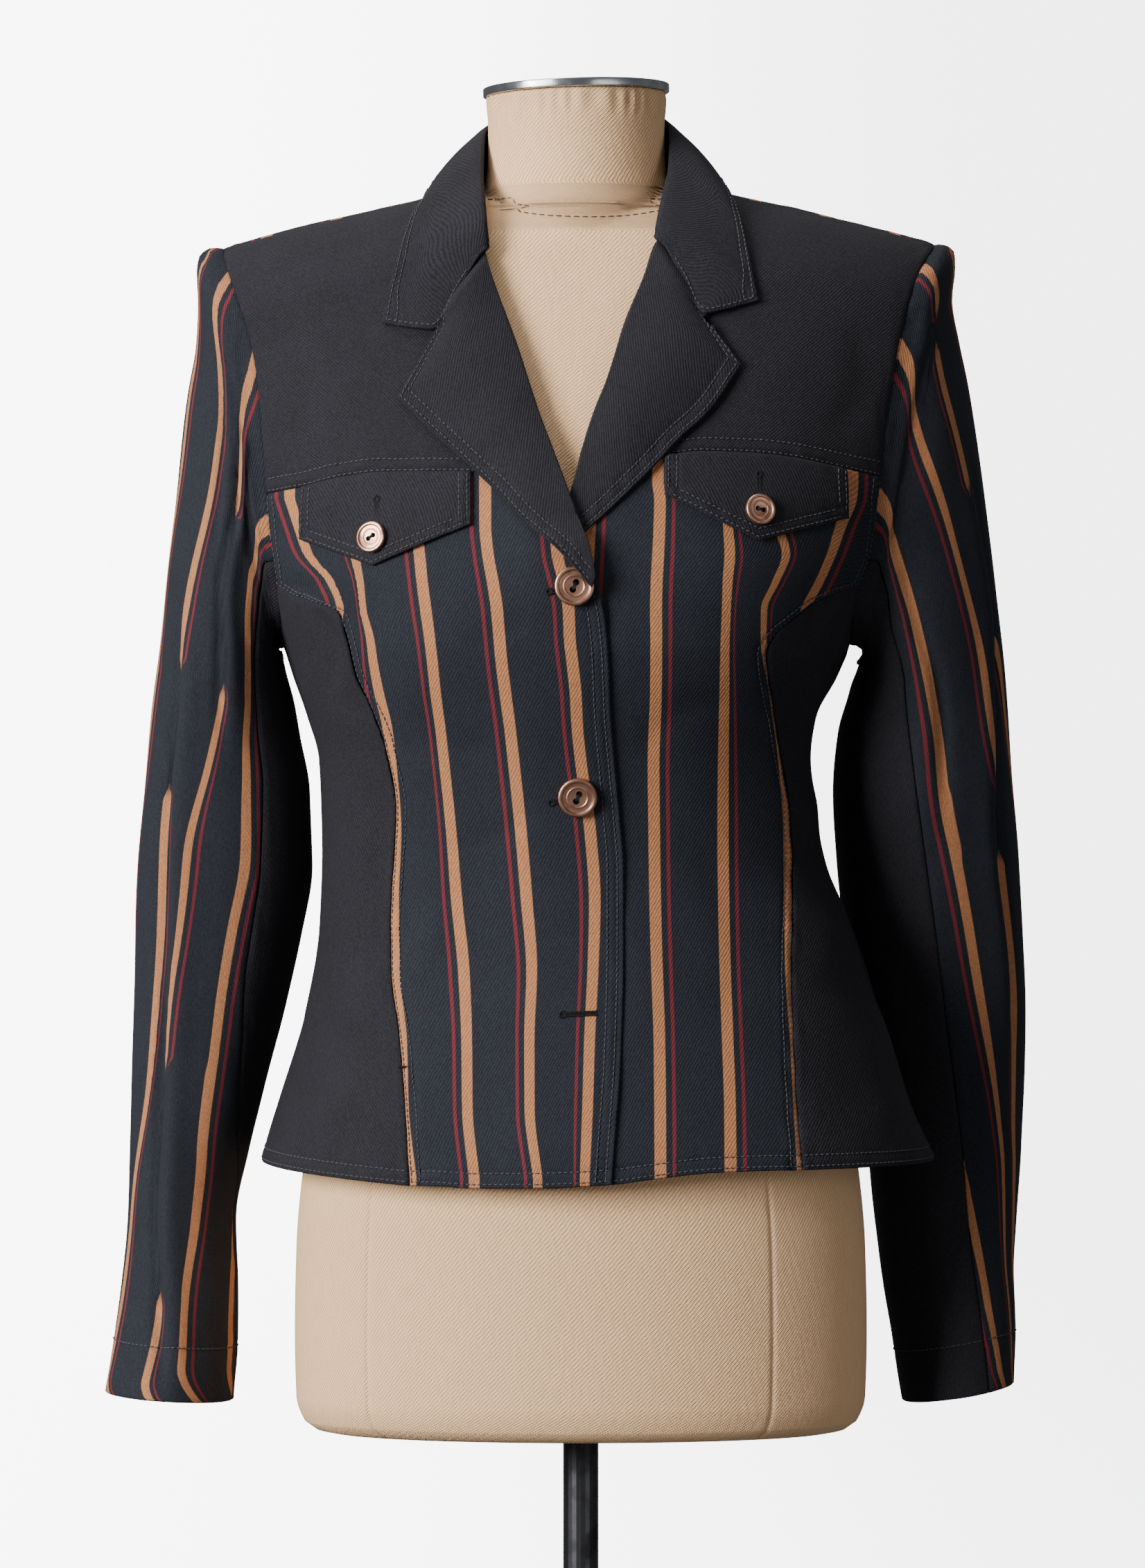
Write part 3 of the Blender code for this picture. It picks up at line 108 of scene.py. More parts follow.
# Cloth: thickness, rounding and squareness of the body, bust, shoulder seam, stripes and grid
CLOTH = 0.0015
CLOTH_EDGE = 0.00060
SHOULDER_ROUND = 0.050
FRONT_SQUARENESS = 0.42
BACK_SQUARENESS = 0.55
BUST_RISE = 0.007
BUST_REACH = 0.085
BUST_HEIGHT = 1.105
BUST_SPREAD = 0.050
SHOULDER_SEAM_ANGLE = math.radians(76)
NECK_REACH = 0.085
STRIPE_PITCH = 0.0415
CELL = 0.0038
HIDDEN_SHARE = 0.3
HIDDEN_HALF_ANGLE = 0.012
BANDS_BEHIND = 5
HEAD_TURN = 0.40
LINE_HOLD = 2000.0
LINE_STIFFNESS = 60.0
SLEEVE_CELL = 0.0029
SLOPE_STEP = 0.0004
RIB = 0.0021
RIB_SLANT = 0.62

# The lap of the right front over the left: where it starts across, its ramp, its foot and its top,
# and how far it stands off under the plain cloth and under the lapel
LAP_START = -0.060
LAP_RAMP = 0.036
LAP_FOOT = 1.085
LAP_TOP = 1.228
LAP_PLAIN = 0.0024
LAP_LAPEL = 0.0028

# Depth and width of a sewn seam and of a row of topstitching, and the puckers beside them
SEAM_DEPTH = 0.00075
SEAM_WIDTH = 0.0016
SEAM_PUCKER = 0.00022
ROW_DEPTH = 0.00048
ROW_WIDTH = 0.0011
ROW_PUCKER = 0.00020

# Creases of the body: how much they are deepened and bent, and the cloth's sway between them
CREASE_GAIN = 1.6
CREASE_BEND = 0.12
CREASE_FREE = 0.012
SWAY = 0.00045
SWAY_SIZE = 0.045

# Folds of the sleeves: the gain, place and width of the ridge and of the crease that falls in beside it,
# the places and widths as shares of the fold's width
RIDGE_GAIN = 1.15
RIDGE_ASIDE = 0.55
RIDGE_WIDTH = 0.85
FALL_GAIN = 1.30
FALL_ASIDE = 0.20
FALL_WIDTH = 0.42

# Puckers at the sleeve heads and the sway of the sleeves' cloth: depth and size
HEAD_PUCKER = 0.00050
HEAD_PUCKER_SIZE = 0.013
SLEEVE_SWAY = 0.00060
SLEEVE_SWAY_SIZE = 0.042

# Bands of the sleeves: least angle past the seam, rows over which that comes in, least angle between two
BAND_PAST_SEAM = 0.12
BAND_BLEND_ROWS = 2.0
BAND_LEAST_ANGLE = 0.04

# Body of the blazer: height, reach to the wearer's right, reach to the left, front depth, back depth
BODY = [
    (0.755, 0.1960, 0.2200, 0.126, 0.124),
    (0.785, 0.1895, 0.2095, 0.123, 0.121),
    (0.820, 0.1790, 0.1935, 0.118, 0.114),
    (0.869, 0.1644, 0.1785, 0.110, 0.103),
    (0.919, 0.1555, 0.1620, 0.103, 0.092),
    (0.955, 0.1545, 0.1465, 0.101, 0.087),
    (0.985, 0.1550, 0.1408, 0.103, 0.086),
    (1.020, 0.1560, 0.1372, 0.110, 0.088),
    (1.045, 0.1625, 0.1405, 0.118, 0.091),
    (1.068, 0.1710, 0.1520, 0.125, 0.095),
    (1.087, 0.1770, 0.1605, 0.129, 0.098),
    (1.120, 0.1900, 0.1760, 0.130, 0.102),
    (1.160, 0.2040, 0.1920, 0.124, 0.104),
    (1.200, 0.2150, 0.2050, 0.113, 0.103),
    (1.250, 0.2290, 0.2210, 0.098, 0.098),
    (1.300, 0.2450, 0.2410, 0.080, 0.089),
    (1.330, 0.2580, 0.2560, 0.070, 0.082),
    (1.380, 0.2700, 0.2700, 0.062, 0.072),
]

# Top line of the shoulders: distance across, height
SHOULDER_LINE = [
    (-0.240, 1.3165), (-0.2136, 1.3242), (-0.1785, 1.3345), (-0.1512, 1.3410), (-0.1169, 1.3487),
    (-0.085, 1.3565), (-0.045, 1.3680), (0.0, 1.3740), (0.045, 1.3680), (0.085, 1.3570),
    (0.1264, 1.3486), (0.1448, 1.3440), (0.1789, 1.3358), (0.2114, 1.3269), (0.240, 1.3190),
]

# Front hem: distance across, height
FRONT_HEM = [
    (-0.195, 0.7860), (-0.165, 0.7785), (-0.136, 0.7760), (-0.099, 0.7736), (-0.063, 0.7712),
    (-0.023, 0.7715), (0.018, 0.7736), (0.041, 0.7765), (0.081, 0.7804), (0.128, 0.7812),
    (0.160, 0.7800), (0.185, 0.7815), (0.215, 0.7880),
]
BACK_HEM = 0.784

# Soft creases of the front as the camera sees them: from across, height, to across, height, rise, width
FRONT_CREASES = [
    (-0.1694, 1.1263, -0.1471, 1.0655, -0.0016, 0.0060), (-0.1620, 1.1213, -0.1314, 1.0655, 0.0010, 0.0070),
    (-0.1521, 1.0552, -0.1355, 0.9395, 0.0011, 0.0130), (-0.1211, 1.0098, -0.1376, 0.8858, -0.0009, 0.0120),
    (-0.1355, 0.9023, -0.1603, 0.7949, 0.0014, 0.0150), (-0.1521, 0.8940, -0.1810, 0.7949, -0.0010, 0.0120),
    (-0.0281, 0.9891, -0.0818, 0.9705, -0.0006, 0.0070), (-0.0570, 1.0221, -0.0983, 1.0552, -0.0006, 0.0080),
    (-0.0901, 0.9643, -0.1087, 0.8775, 0.0008, 0.0110), (-0.0302, 1.1089, -0.0736, 1.0883, -0.0005, 0.0070),
    (0.1645, 1.1089, 0.1413, 1.0655, -0.0016, 0.0060), (0.1558, 1.1172, 0.1289, 1.0759, 0.0010, 0.0070),
    (0.1289, 1.0056, 0.1455, 0.8940, 0.0010, 0.0120), (0.1413, 0.9850, 0.1682, 0.8610, -0.0011, 0.0120),
    (0.1558, 0.8775, 0.1806, 0.7949, 0.0014, 0.0150), (0.0711, 0.9684, 0.0876, 0.8610, -0.0006, 0.0130),
    (0.0359, 1.0263, 0.0917, 1.0552, -0.0006, 0.0090), (-0.1789, 1.2783, -0.1645, 1.2081, -0.0008, 0.0100),
    (0.1661, 1.2783, 0.1558, 1.2164, -0.0008, 0.0100), (0.0256, 0.9354, 0.0174, 0.8279, 0.0005, 0.0140),
]

# Soft creases of the back, likewise
BACK_CREASES = [
    (-0.1450, 1.1500, -0.0750, 1.0600, -0.0010, 0.0100), (-0.1350, 1.2500, -0.1180, 1.1300, 0.0010, 0.0140),
    (0.1480, 1.1600, 0.0800, 1.0500, -0.0011, 0.0100), (0.1300, 1.2600, 0.1150, 1.1400, 0.0009, 0.0130),
    (-0.0900, 1.0100, -0.0200, 0.9850, -0.0008, 0.0080), (0.1000, 1.0000, 0.0300, 0.9700, -0.0008, 0.0090),
    (-0.1000, 0.9500, -0.1350, 0.8000, 0.0012, 0.0150), (0.0950, 0.9400, 0.1300, 0.8100, 0.0011, 0.0140),
]

# Front armholes, per side: height, distance across
ARMHOLE = {
    -1: [(1.0870, 0.1770), (1.0980, 0.1768), (1.1225, 0.1790), (1.154, 0.1833), (1.179, 0.1858),
         (1.209, 0.1878), (1.237, 0.1902), (1.269, 0.1960), (1.292, 0.2035), (1.312, 0.2105),
         (1.3242, 0.2136)],
    1: [(1.0870, 0.1605), (1.1000, 0.1600), (1.1225, 0.1640), (1.138, 0.1700), (1.1625, 0.1740),
        (1.1990, 0.1778), (1.230, 0.1818), (1.256, 0.1862), (1.2826, 0.1918), (1.307, 0.1998),
        (1.3269, 0.2114)],
}
BACK_ARMHOLE_WIDER = 0.003

# Seams between the front and the side panels, per side: height, distance across
PRINCESS = {
    -1: [(0.772, 0.0997), (0.808, 0.1019), (0.8385, 0.1043), (0.862, 0.1067), (0.8925, 0.1112),
         (0.9236, 0.1120), (0.9545, 0.1105), (0.9900, 0.1084), (1.0274, 0.1150),
         (1.0476, 0.1221), (1.0666, 0.1310), (1.084, 0.1352), (1.0969, 0.1388), (1.1055, 0.1420),
         (1.1112, 0.1550), (1.1165, 0.1700), (1.1225, 0.1790)],
    1: [(0.781, 0.1290), (0.808, 0.1267), (0.8385, 0.1250), (0.862, 0.1243), (0.8957, 0.1233),
        (0.9236, 0.1242), (0.9545, 0.1247), (0.9900, 0.1230), (1.0290, 0.1165), (1.050, 0.1128),
        (1.065, 0.1098), (1.0807, 0.1081), (1.0940, 0.1150), (1.1020, 0.1250),
        (1.1090, 0.1340), (1.1160, 0.1465), (1.1225, 0.1640)],
}
PRINCESS_TURN = 12
BACK_SEAM_TOP = 1.105
BACK_SEAM_TURN = 0.97
BACK_SEAM_X = 0.116
BACK_NECK_DROP = 0.026
HEM_CORNER = 0.7736

# Yoke seams: distance across, height
YOKE_SEAM = {
    -1: [(-0.1858, 1.1755), (-0.1609, 1.1793), (-0.1407, 1.1837), (-0.1141, 1.1865), (-0.0674, 1.1865),
         (-0.010, 1.1850)],
    1: [(-0.003, 1.1950), (0.047, 1.1962), (0.0708, 1.1983), (0.100, 1.1975), (0.1232, 1.1954),
        (0.1465, 1.1913), (0.1630, 1.1880), (0.1765, 1.1855)],
}

YOKE_STARTS = {-1: -0.0118, 1: -0.0010}

# Front edges and roll lines: height, distance across
FRONT_EDGE = {
    -1: [(0.770, 0.0175), (0.8014, 0.0199), (0.8473, 0.0232), (0.9086, 0.0248), (0.9548, 0.0247),
         (0.9855, 0.0224), (1.0161, 0.0196), (1.0462, 0.0171), (1.0794, 0.0158), (1.0994, 0.0139),
         (1.1138, 0.0111), (1.1294, 0.0071), (1.1459, 0.0035), (1.1610, -0.0030), (1.1782, -0.0090),
         (1.2054, -0.0190), (1.2334, -0.0283), (1.2616, -0.0373), (1.2876, -0.0468), (1.3144, -0.0570),
         (1.340, -0.0720), (1.3565, -0.0850)],
    1: [(0.770, -0.0200), (1.120, -0.0200), (1.150, -0.0155), (1.1782, -0.0046), (1.197, -0.0003),
        (1.2219, 0.0075), (1.2441, 0.0163), (1.2737, 0.0250), (1.3026, 0.0368), (1.3223, 0.0435),
        (1.343, 0.0660), (1.3570, 0.0850)],
}

# Lapels, a row for each line across: roll x, roll z, outer x, outer z
LAPEL = {
    -1: [(-0.0571, 1.3191, -0.0919, 1.2743), (-0.0545, 1.3105, -0.0846, 1.2690),
         (-0.0500, 1.2955, -0.0855, 1.2655), (-0.0432, 1.2765, -0.1061, 1.2285),
         (-0.0330, 1.2475, -0.0874, 1.2104), (-0.0240, 1.2200, -0.0684, 1.1924),
         (-0.0150, 1.1950, -0.0500, 1.1745), (-0.0085, 1.1765, -0.0350, 1.1575),
         (-0.0020, 1.1590, -0.0180, 1.1420), (0.0035, 1.1440, -0.0020, 1.1262),
         (0.0085, 1.1230, 0.0060, 1.1180)],
    1: [(0.0462, 1.3264, 0.0778, 1.2810), (0.0430, 1.3180, 0.0705, 1.2755),
        (0.0365, 1.3010, 0.0800, 1.2655), (0.0300, 1.2850, 0.0927, 1.2484),
        (0.0225, 1.2640, 0.0736, 1.2206), (0.0145, 1.2390, 0.0564, 1.2043),
        (0.0070, 1.2190, 0.0420, 1.1883), (0.0010, 1.2000, 0.0247, 1.1709),
        (-0.0035, 1.1830, 0.0120, 1.1590), (-0.0075, 1.1690, 0.0020, 1.1500)],
}
LAPEL_CLOTH = 0.0016
LAPEL_LIFT = 0.0009
LAPEL_STANDS_OFF = 0.0013
LAPEL_SWELL = 0.0030
LAPEL_TAIL_LIFT = 0.0056
LAPEL_TUCKED = 0.0018
LAPEL_FREE_FROM = 1.18
LAPEL_TAIL = 1.160

# Collar, a row for each line across, from the right gorge to the left:
# roll x, y, z, then edge x, z and whether the edge lies at the front (-1) or the back (1)
COLLAR = [
    (-0.0549, None, 1.3180, -0.1159, 1.2733, -1),
    (-0.0565, None, 1.3330, -0.1128, 1.2870, -1),
    (-0.0578, None, 1.3490, -0.1090, 1.3035, -1),
    (-0.0590, -0.0340, 1.3660, -0.1050, 1.3200, -1),
    (-0.0588, -0.0170, 1.3820, -0.1000, 1.3350, -1),
    (-0.0580, 0.0000, 1.3930, -0.0940, 1.3460, -1),
    (-0.0572, 0.0110, 1.3975, -0.0910, 1.3600, -1),
    (-0.0550, 0.0230, 1.4010, -0.0895, 1.3475, 1),
    (-0.0460, 0.0430, 1.4050, -0.0810, 1.3370, 1),
    (-0.0250, 0.0600, 1.4080, -0.0500, 1.3280, 1),
    (0.0, 0.0660, 1.4090, 0.0, 1.3250, 1),
    (0.0230, 0.0610, 1.4090, 0.0480, 1.3280, 1),
    (0.0430, 0.0430, 1.4070, 0.0780, 1.3370, 1),
    (0.0515, 0.0230, 1.4035, 0.0850, 1.3480, 1),
    (0.0530, 0.0110, 1.4000, 0.0865, 1.3600, -1),
    (0.0535, 0.0000, 1.3965, 0.0895, 1.3480, -1),
    (0.0538, -0.0170, 1.3850, 0.0925, 1.3400, -1),
    (0.0530, -0.0340, 1.3690, 0.0962, 1.3240, -1),
    (0.0495, None, 1.3530, 0.0990, 1.3090, -1),
    (0.0465, None, 1.3380, 0.1012, 1.2970, -1),
    (0.0440, None, 1.3245, 0.1034, 1.2866, -1),
]
COLLAR_CLOTH = 0.0014
COLLAR_LIFT = 0.0022
COLLAR_FOLD = 0.0034
COLLAR_STANDS_OFF = 0.0098
COLLAR_END_OFF = 0.0052
COLLAR_FOOT = 0.010
COLLAR_FOOT_DROP = 0.002
COLLAR_FOOT_SHARE = 0.62
COLLAR_FOOT_LIFT = 0.0009
COLLAR_SWELL = 0.0022
COLLAR_CLEAR = 0.0008
COLLAR_CELL_ROUND = 0.0040
COLLAR_CELL_ACROSS = 0.0026
NOTCH = {-1: (-0.0862, 1.2690), 1: (0.0714, 1.2785)}

# Sleeves below the armhole, a row for each ring, per side:
# outer x, outer z, inner x, inner z, middle y, half depth, share of the armhole's own shape
SLEEVE = {
    -1: [
        (0.2215, 1.3238, 0.1802, 1.0862, 0.002, 0.056, 0.99),
        (0.2266, 1.3195, 0.1806, 1.0854, 0.002, 0.058, 0.96),
        (0.2284, 1.3090, 0.1808, 1.0845, 0.003, 0.060, 0.90),
        (0.2280, 1.2920, 0.1806, 1.0830, 0.003, 0.061, 0.78),
        (0.2292, 1.2670, 0.1801, 1.0812, 0.004, 0.062, 0.62),
        (0.2334, 1.2400, 0.1794, 1.0790, 0.004, 0.063, 0.46),
        (0.2380, 1.2050, 0.1775, 1.0760, 0.005, 0.063, 0.30),
        (0.2425, 1.1676, 0.1765, 1.0720, 0.006, 0.063, 0.16),
        (0.2471, 1.1280, 0.1750, 1.0660, 0.008, 0.062, 0.06),
        (0.2512, 1.0900, 0.1722, 1.0560, 0.010, 0.061, 0.0),
        (0.2565, 1.0480, 0.1675, 1.0330, 0.013, 0.059, 0.0),
        (0.2612, 1.0050, 0.1612, 1.0000, 0.016, 0.057, 0.0),
        (0.2650, 0.9600, 0.1606, 0.9580, 0.019, 0.055, 0.0),
        (0.2672, 0.9150, 0.1672, 0.9150, 0.022, 0.053, 0.0),
        (0.2683, 0.8700, 0.1773, 0.8700, 0.024, 0.052, 0.0),
        (0.2690, 0.8250, 0.1890, 0.8250, 0.022, 0.050, 0.0),
        (0.2698, 0.7850, 0.1990, 0.7850, 0.018, 0.048, 0.0),
        (0.2707, 0.7450, 0.2055, 0.7450, 0.012, 0.046, 0.0),
        (0.2737, 0.7050, 0.2046, 0.7050, 0.004, 0.045, 0.0),
        (0.2775, 0.6750, 0.2045, 0.6730, -0.002, 0.045, 0.0),
        (0.2828, 0.6440, 0.2068, 0.6390, -0.008, 0.046, 0.0),
    ],
    1: [
        (0.2185, 1.3260, 0.1640, 1.0868, 0.004, 0.056, 0.99),
        (0.2225, 1.3215, 0.1652, 1.0860, 0.005, 0.058, 0.96),
        (0.2232, 1.3110, 0.1668, 1.0850, 0.006, 0.060, 0.90),
        (0.2218, 1.2940, 0.1675, 1.0838, 0.008, 0.061, 0.78),
        (0.2257, 1.2689, 0.1678, 1.0820, 0.010, 0.062, 0.62),
        (0.2313, 1.2410, 0.1675, 1.0790, 0.012, 0.063, 0.46),
        (0.2374, 1.2062, 0.1660, 1.0760, 0.015, 0.063, 0.30),
        (0.2428, 1.1686, 0.1645, 1.0720, 0.018, 0.063, 0.16),
        (0.2485, 1.1280, 0.1620, 1.0660, 0.021, 0.062, 0.06),
        (0.2526, 1.0900, 0.1590, 1.0560, 0.025, 0.061, 0.0),
        (0.2560, 1.0480, 0.1540, 1.0360, 0.030, 0.059, 0.0),
        (0.2595, 1.0050, 0.1518, 1.0020, 0.037, 0.057, 0.0),
        (0.2645, 0.9600, 0.1540, 0.9600, 0.050, 0.054, 0.0),
        (0.2680, 0.9150, 0.1590, 0.9150, 0.064, 0.052, 0.0),
        (0.2700, 0.8700, 0.1640, 0.8700, 0.078, 0.050, 0.0),
        (0.2705, 0.8250, 0.1700, 0.8250, 0.090, 0.048, 0.0),
        (0.2695, 0.7850, 0.1750, 0.7850, 0.095, 0.047, 0.0),
        (0.2660, 0.7450, 0.1785, 0.7430, 0.092, 0.046, 0.0),
        (0.2635, 0.7050, 0.1835, 0.7030, 0.082, 0.045, 0.0),
        (0.2635, 0.6750, 0.1885, 0.6700, 0.072, 0.045, 0.0),
        (0.2625, 0.6430, 0.1945, 0.6320, 0.062, 0.046, 0.0),
    ],
}

# Front seam between the top and the under sleeve: height at the front, angle from the outer side
SLEEVE_FRONT_SEAM = {
    -1: [(0.64, 172), (0.76, 166), (0.80, 140), (0.8535, 124), (0.90, 116), (1.00, 118), (1.10, 122),
         (1.20, 126)],
    1: [(0.64, 60), (0.70, 68), (0.766, 78), (0.8635, 88), (0.93, 92), (1.00, 97), (1.07, 108), (1.13, 122),
        (1.20, 126)],
}
SLEEVE_BACK_SEAM = 236

# Long folds of the sleeves, per side: how far the ridge stands out, how far the crease beside it
# falls in, its width, and its line as ring and angle
SLEEVE_FOLDS = {
    -1: [
        (0.0032, 0.0034, 0.011, [(2.0, 83), (4.55, 85), (5.8, 91), (6.95, 87), (7.95, 86), (9.3, 91),
                                 (11.2, 92)]),
        (0.0038, 0.0040, 0.012, [(9.5, 49), (11.0, 54), (11.9, 52), (13.0, 54), (14.7, 58), (16.7, 65),
                                 (18.1, 69), (19.0, 76), (20.7, 87)]),
        (0.0012, 0.0024, 0.012, [(3.4, 50), (4.5, 60), (5.4, 68), (6.6, 72), (7.7, 76)]),
        (0.0030, 0.0030, 0.014, [(3.0, 292), (6.0, 284), (9.0, 290), (12.0, 300), (15.0, 296)]),
        (0.0026, 0.0030, 0.013, [(9.0, 262), (13.0, 258), (17.0, 266), (20.5, 272)]),
        (0.0020, 0.0026, 0.012, [(9.5, 196), (11.5, 204), (13.5, 198), (15.5, 206)]),
    ],
    1: [
        (0.0020, 0.0024, 0.010, [(2.5, 30), (3.75, 33), (4.2, 46), (4.5, 62)]),
        (0.0030, 0.0036, 0.012, [(7.0, 34), (8.1, 31), (9.2, 29), (10.3, 32), (11.4, 36), (12.9, 42),
                                 (14.3, 38), (15.6, 36)]),
        (0.0026, 0.0030, 0.012, [(3.9, 113), (6.4, 108), (8.2, 102), (9.4, 95), (10.3, 87), (11.1, 83),
                                 (12.3, 82)]),
        (0.0028, 0.0030, 0.014, [(3.0, 288), (6.5, 280), (10.0, 292), (13.0, 286), (16.0, 296)]),
        (0.0028, 0.0028, 0.013, [(8.5, 258), (12.5, 264), (16.5, 256), (20.5, 262)]),
        (0.0020, 0.0026, 0.012, [(10.0, 190), (12.5, 198), (15.0, 192)]),
    ],
}

# Pocket flaps: left x, left top z, right x, right top z, left bottom z, right bottom z, point x, point z
FLAPS = {
    -1: (-0.1630, 1.1770, -0.0636, 1.1850, 1.1483, 1.1548, -0.1200, 1.1318),
    1: (0.0484, 1.1945, 0.1548, 1.1870, 1.1721, 1.1606, 0.1021, 1.1459),
}
FLAP_TOP_BELOW_SEAM = 0.0001
FLAP_BUTTONS = {-1: (-0.1196, 1.1475), 1: (0.1022, 1.1634)}
FRONT_BUTTONS = {"upper": (-0.0042, 1.1190), "lower": (-0.0021, 0.9980)}

# Dress form below the neck: height, reach right, reach left, front depth, back depth
FORM = [
    (0.620, 0.150, 0.150, 0.082, 0.098), (0.6215, 0.158, 0.158, 0.089, 0.105),
    (0.627, 0.165, 0.165, 0.096, 0.112), (0.640, 0.1695, 0.1695, 0.100, 0.117),
    (0.680, 0.1705, 0.1705, 0.102, 0.119), (0.730, 0.1695, 0.1695, 0.103, 0.117),
    (0.780, 0.1650, 0.1650, 0.103, 0.108), (0.830, 0.1540, 0.1560, 0.099, 0.095),
    (0.880, 0.1400, 0.1420, 0.092, 0.082), (0.930, 0.1270, 0.1290, 0.086, 0.074),
    (0.980, 0.1220, 0.1220, 0.085, 0.070), (1.030, 0.1280, 0.1230, 0.095, 0.072),
    (1.070, 0.1400, 0.1360, 0.110, 0.078), (1.105, 0.1520, 0.1480, 0.118, 0.083),
    (1.150, 0.1660, 0.1600, 0.114, 0.088), (1.200, 0.1770, 0.1700, 0.103, 0.089),
    (1.250, 0.1840, 0.1790, 0.089, 0.086), (1.290, 0.1870, 0.1860, 0.076, 0.081),
    (1.320, 0.1870, 0.1870, 0.066, 0.077), (1.360, 0.1870, 0.1870, 0.058, 0.070),
]

# Neck of the form: height, half width, front depth, back depth
NECK = [
    (1.250, 0.072, 0.084, 0.070), (1.300, 0.070, 0.072, 0.064), (1.335, 0.061, 0.061, 0.054),
    (1.355, 0.0555, 0.057, 0.0525), (1.372, 0.0530, 0.0540, 0.0525), (1.390, 0.0525, 0.0520, 0.0530),
    (1.4155, 0.0532, 0.052, 0.053),
]
NECK_TILT = 0.030
NECK_MIDDLE = -0.0027
NECK_FOOT = 1.30
NECK_WIDENS = 1.25
NECK_DEEPENS = 1.24
NECK_TILTS = 1.38
NECK_TILT_RAMP = 0.035

# Small dimensions of the pieces, as in the solids
FORM_GAP = 0.0009
FORM_NECK_GAP = 0.0058
FORM_FLOOR = 0.620
FORM_TOP = 1.4155
CAP_RADIUS = 0.0556
CAP_DEPTH = 0.0050
CAP_DOME = 0.0035
FIT_GAP = 0.0004
FLAP_LIFT = 0.0008
FLAP_CLOTH = 0.0016
FLAP_FLARE = 0.0008
FLAP_SAG = 0.0004
FLAP_LENGTH = 0.045
FLAP_CELL = 0.0028
FLAP_CELL_DOWN = 0.0026
FLAP_BUTTON_RADIUS = 0.0090
FLAP_BUTTON_DEPTH = 0.0032
FLAP_BUTTON_GAP = 0.0004
FRONT_BUTTON_RADIUS = 0.0114
FRONT_BUTTON_DEPTH = 0.0038
BUTTON_GAP = 0.0009
FLAP_BUTTON_TURN = 8.0
FRONT_BUTTON_TURN = 68.0
ARMHOLE_TUCK = 0.0016

# Rings of a button's face from its edge in: width as a share of the radius, rise as a share of the depth
BUTTON_PROFILE = [
    (0.07, 0.14), (0.10, 0.0), (0.05, -0.26), (0.20, -0.04), (0.035, 0.06), (0.045, 0.0), (0.035, -0.10),
]
# Rings of the plate's face from its edge in: width, rise
CAP_PROFILE = [
    (0.0030, 0.0), (0.0012, -0.0006), (0.0140, CAP_DOME * 0.45), (0.0140, CAP_DOME * 0.30),
    (0.0120, CAP_DOME * 0.20), (0.0060, 0.0), (0.0008, 0.0016), (0.0010, 0.0),
]

# Distances from a border at which the cloth has its finest lines, for seams and topstitching
BORDER_STEPS = (0.0, 0.0013, 0.0027, 0.0040, 0.0053, 0.0070, 0.0085, 0.0099, 0.0115, 0.0140)

# Topstitching: border, distance from it
FRONT_ROWS = [
    ("start", 0.0040), ("start", 0.0099), ("bottom", 0.0020), ("bottom", 0.0085), ("end", 0.0013),
    ("end", 0.0070),
]
YOKE_ROWS = [("bottom", 0.0013), ("bottom", 0.0085)]
HEM_ROWS = [("bottom", 0.0020), ("bottom", 0.0085)]
LAPEL_ROWS = [("end", 0.0027), ("end", 0.0085)]
COLLAR_ROWS = [("end", 0.0027), ("end", 0.0085), ("bottom", 0.0027, 0.5, 1.0), ("top", 0.0027, 0.5, 1.0)]
FLAP_ROWS = [(border, offset) for offset in (0.0020, 0.0070) for border in ("start", "end", "top")]
CUFF_ROWS = [("top", 0.0320)]
THREAD_LIFT = 0.00010
CORNER_SHARE = 0.95
# Rings of a stitch: share along it, size and height as shares of the thread's radius
STITCH_RINGS = [(-0.5, 0.35, -0.9), (-0.38, 0.95, 0.15), (0.38, 0.95, 0.15), (0.5, 0.35, -0.9)]

# Buttonholes as the camera sees them: start, end, height above the cloth's plain surface
FLAP_HOLES = {
    -1: ((-0.1207, 1.1742), (-0.1207, 1.1618)),
    1: ((0.1054, 1.1891), (0.1054, 1.1771)),
}
FLAP_HOLE_LIFT = 0.0029
FRONT_HOLE_LIFT = 0.00025
FRONT_HOLES = [
    ((-0.0190, 1.1196), (-0.0040, 1.1206)),
    ((-0.0174, 0.9941), (0.0, 0.9978)),
    ((-0.0108, 0.8672), (0.0095, 0.8680)),
]
BAR_TACK = ((-0.1085, 0.8362), (-0.1020, 0.8362))
BAR_TACK_WIDTH = 0.0016
BAR_TACK_SPACING = 0.0005

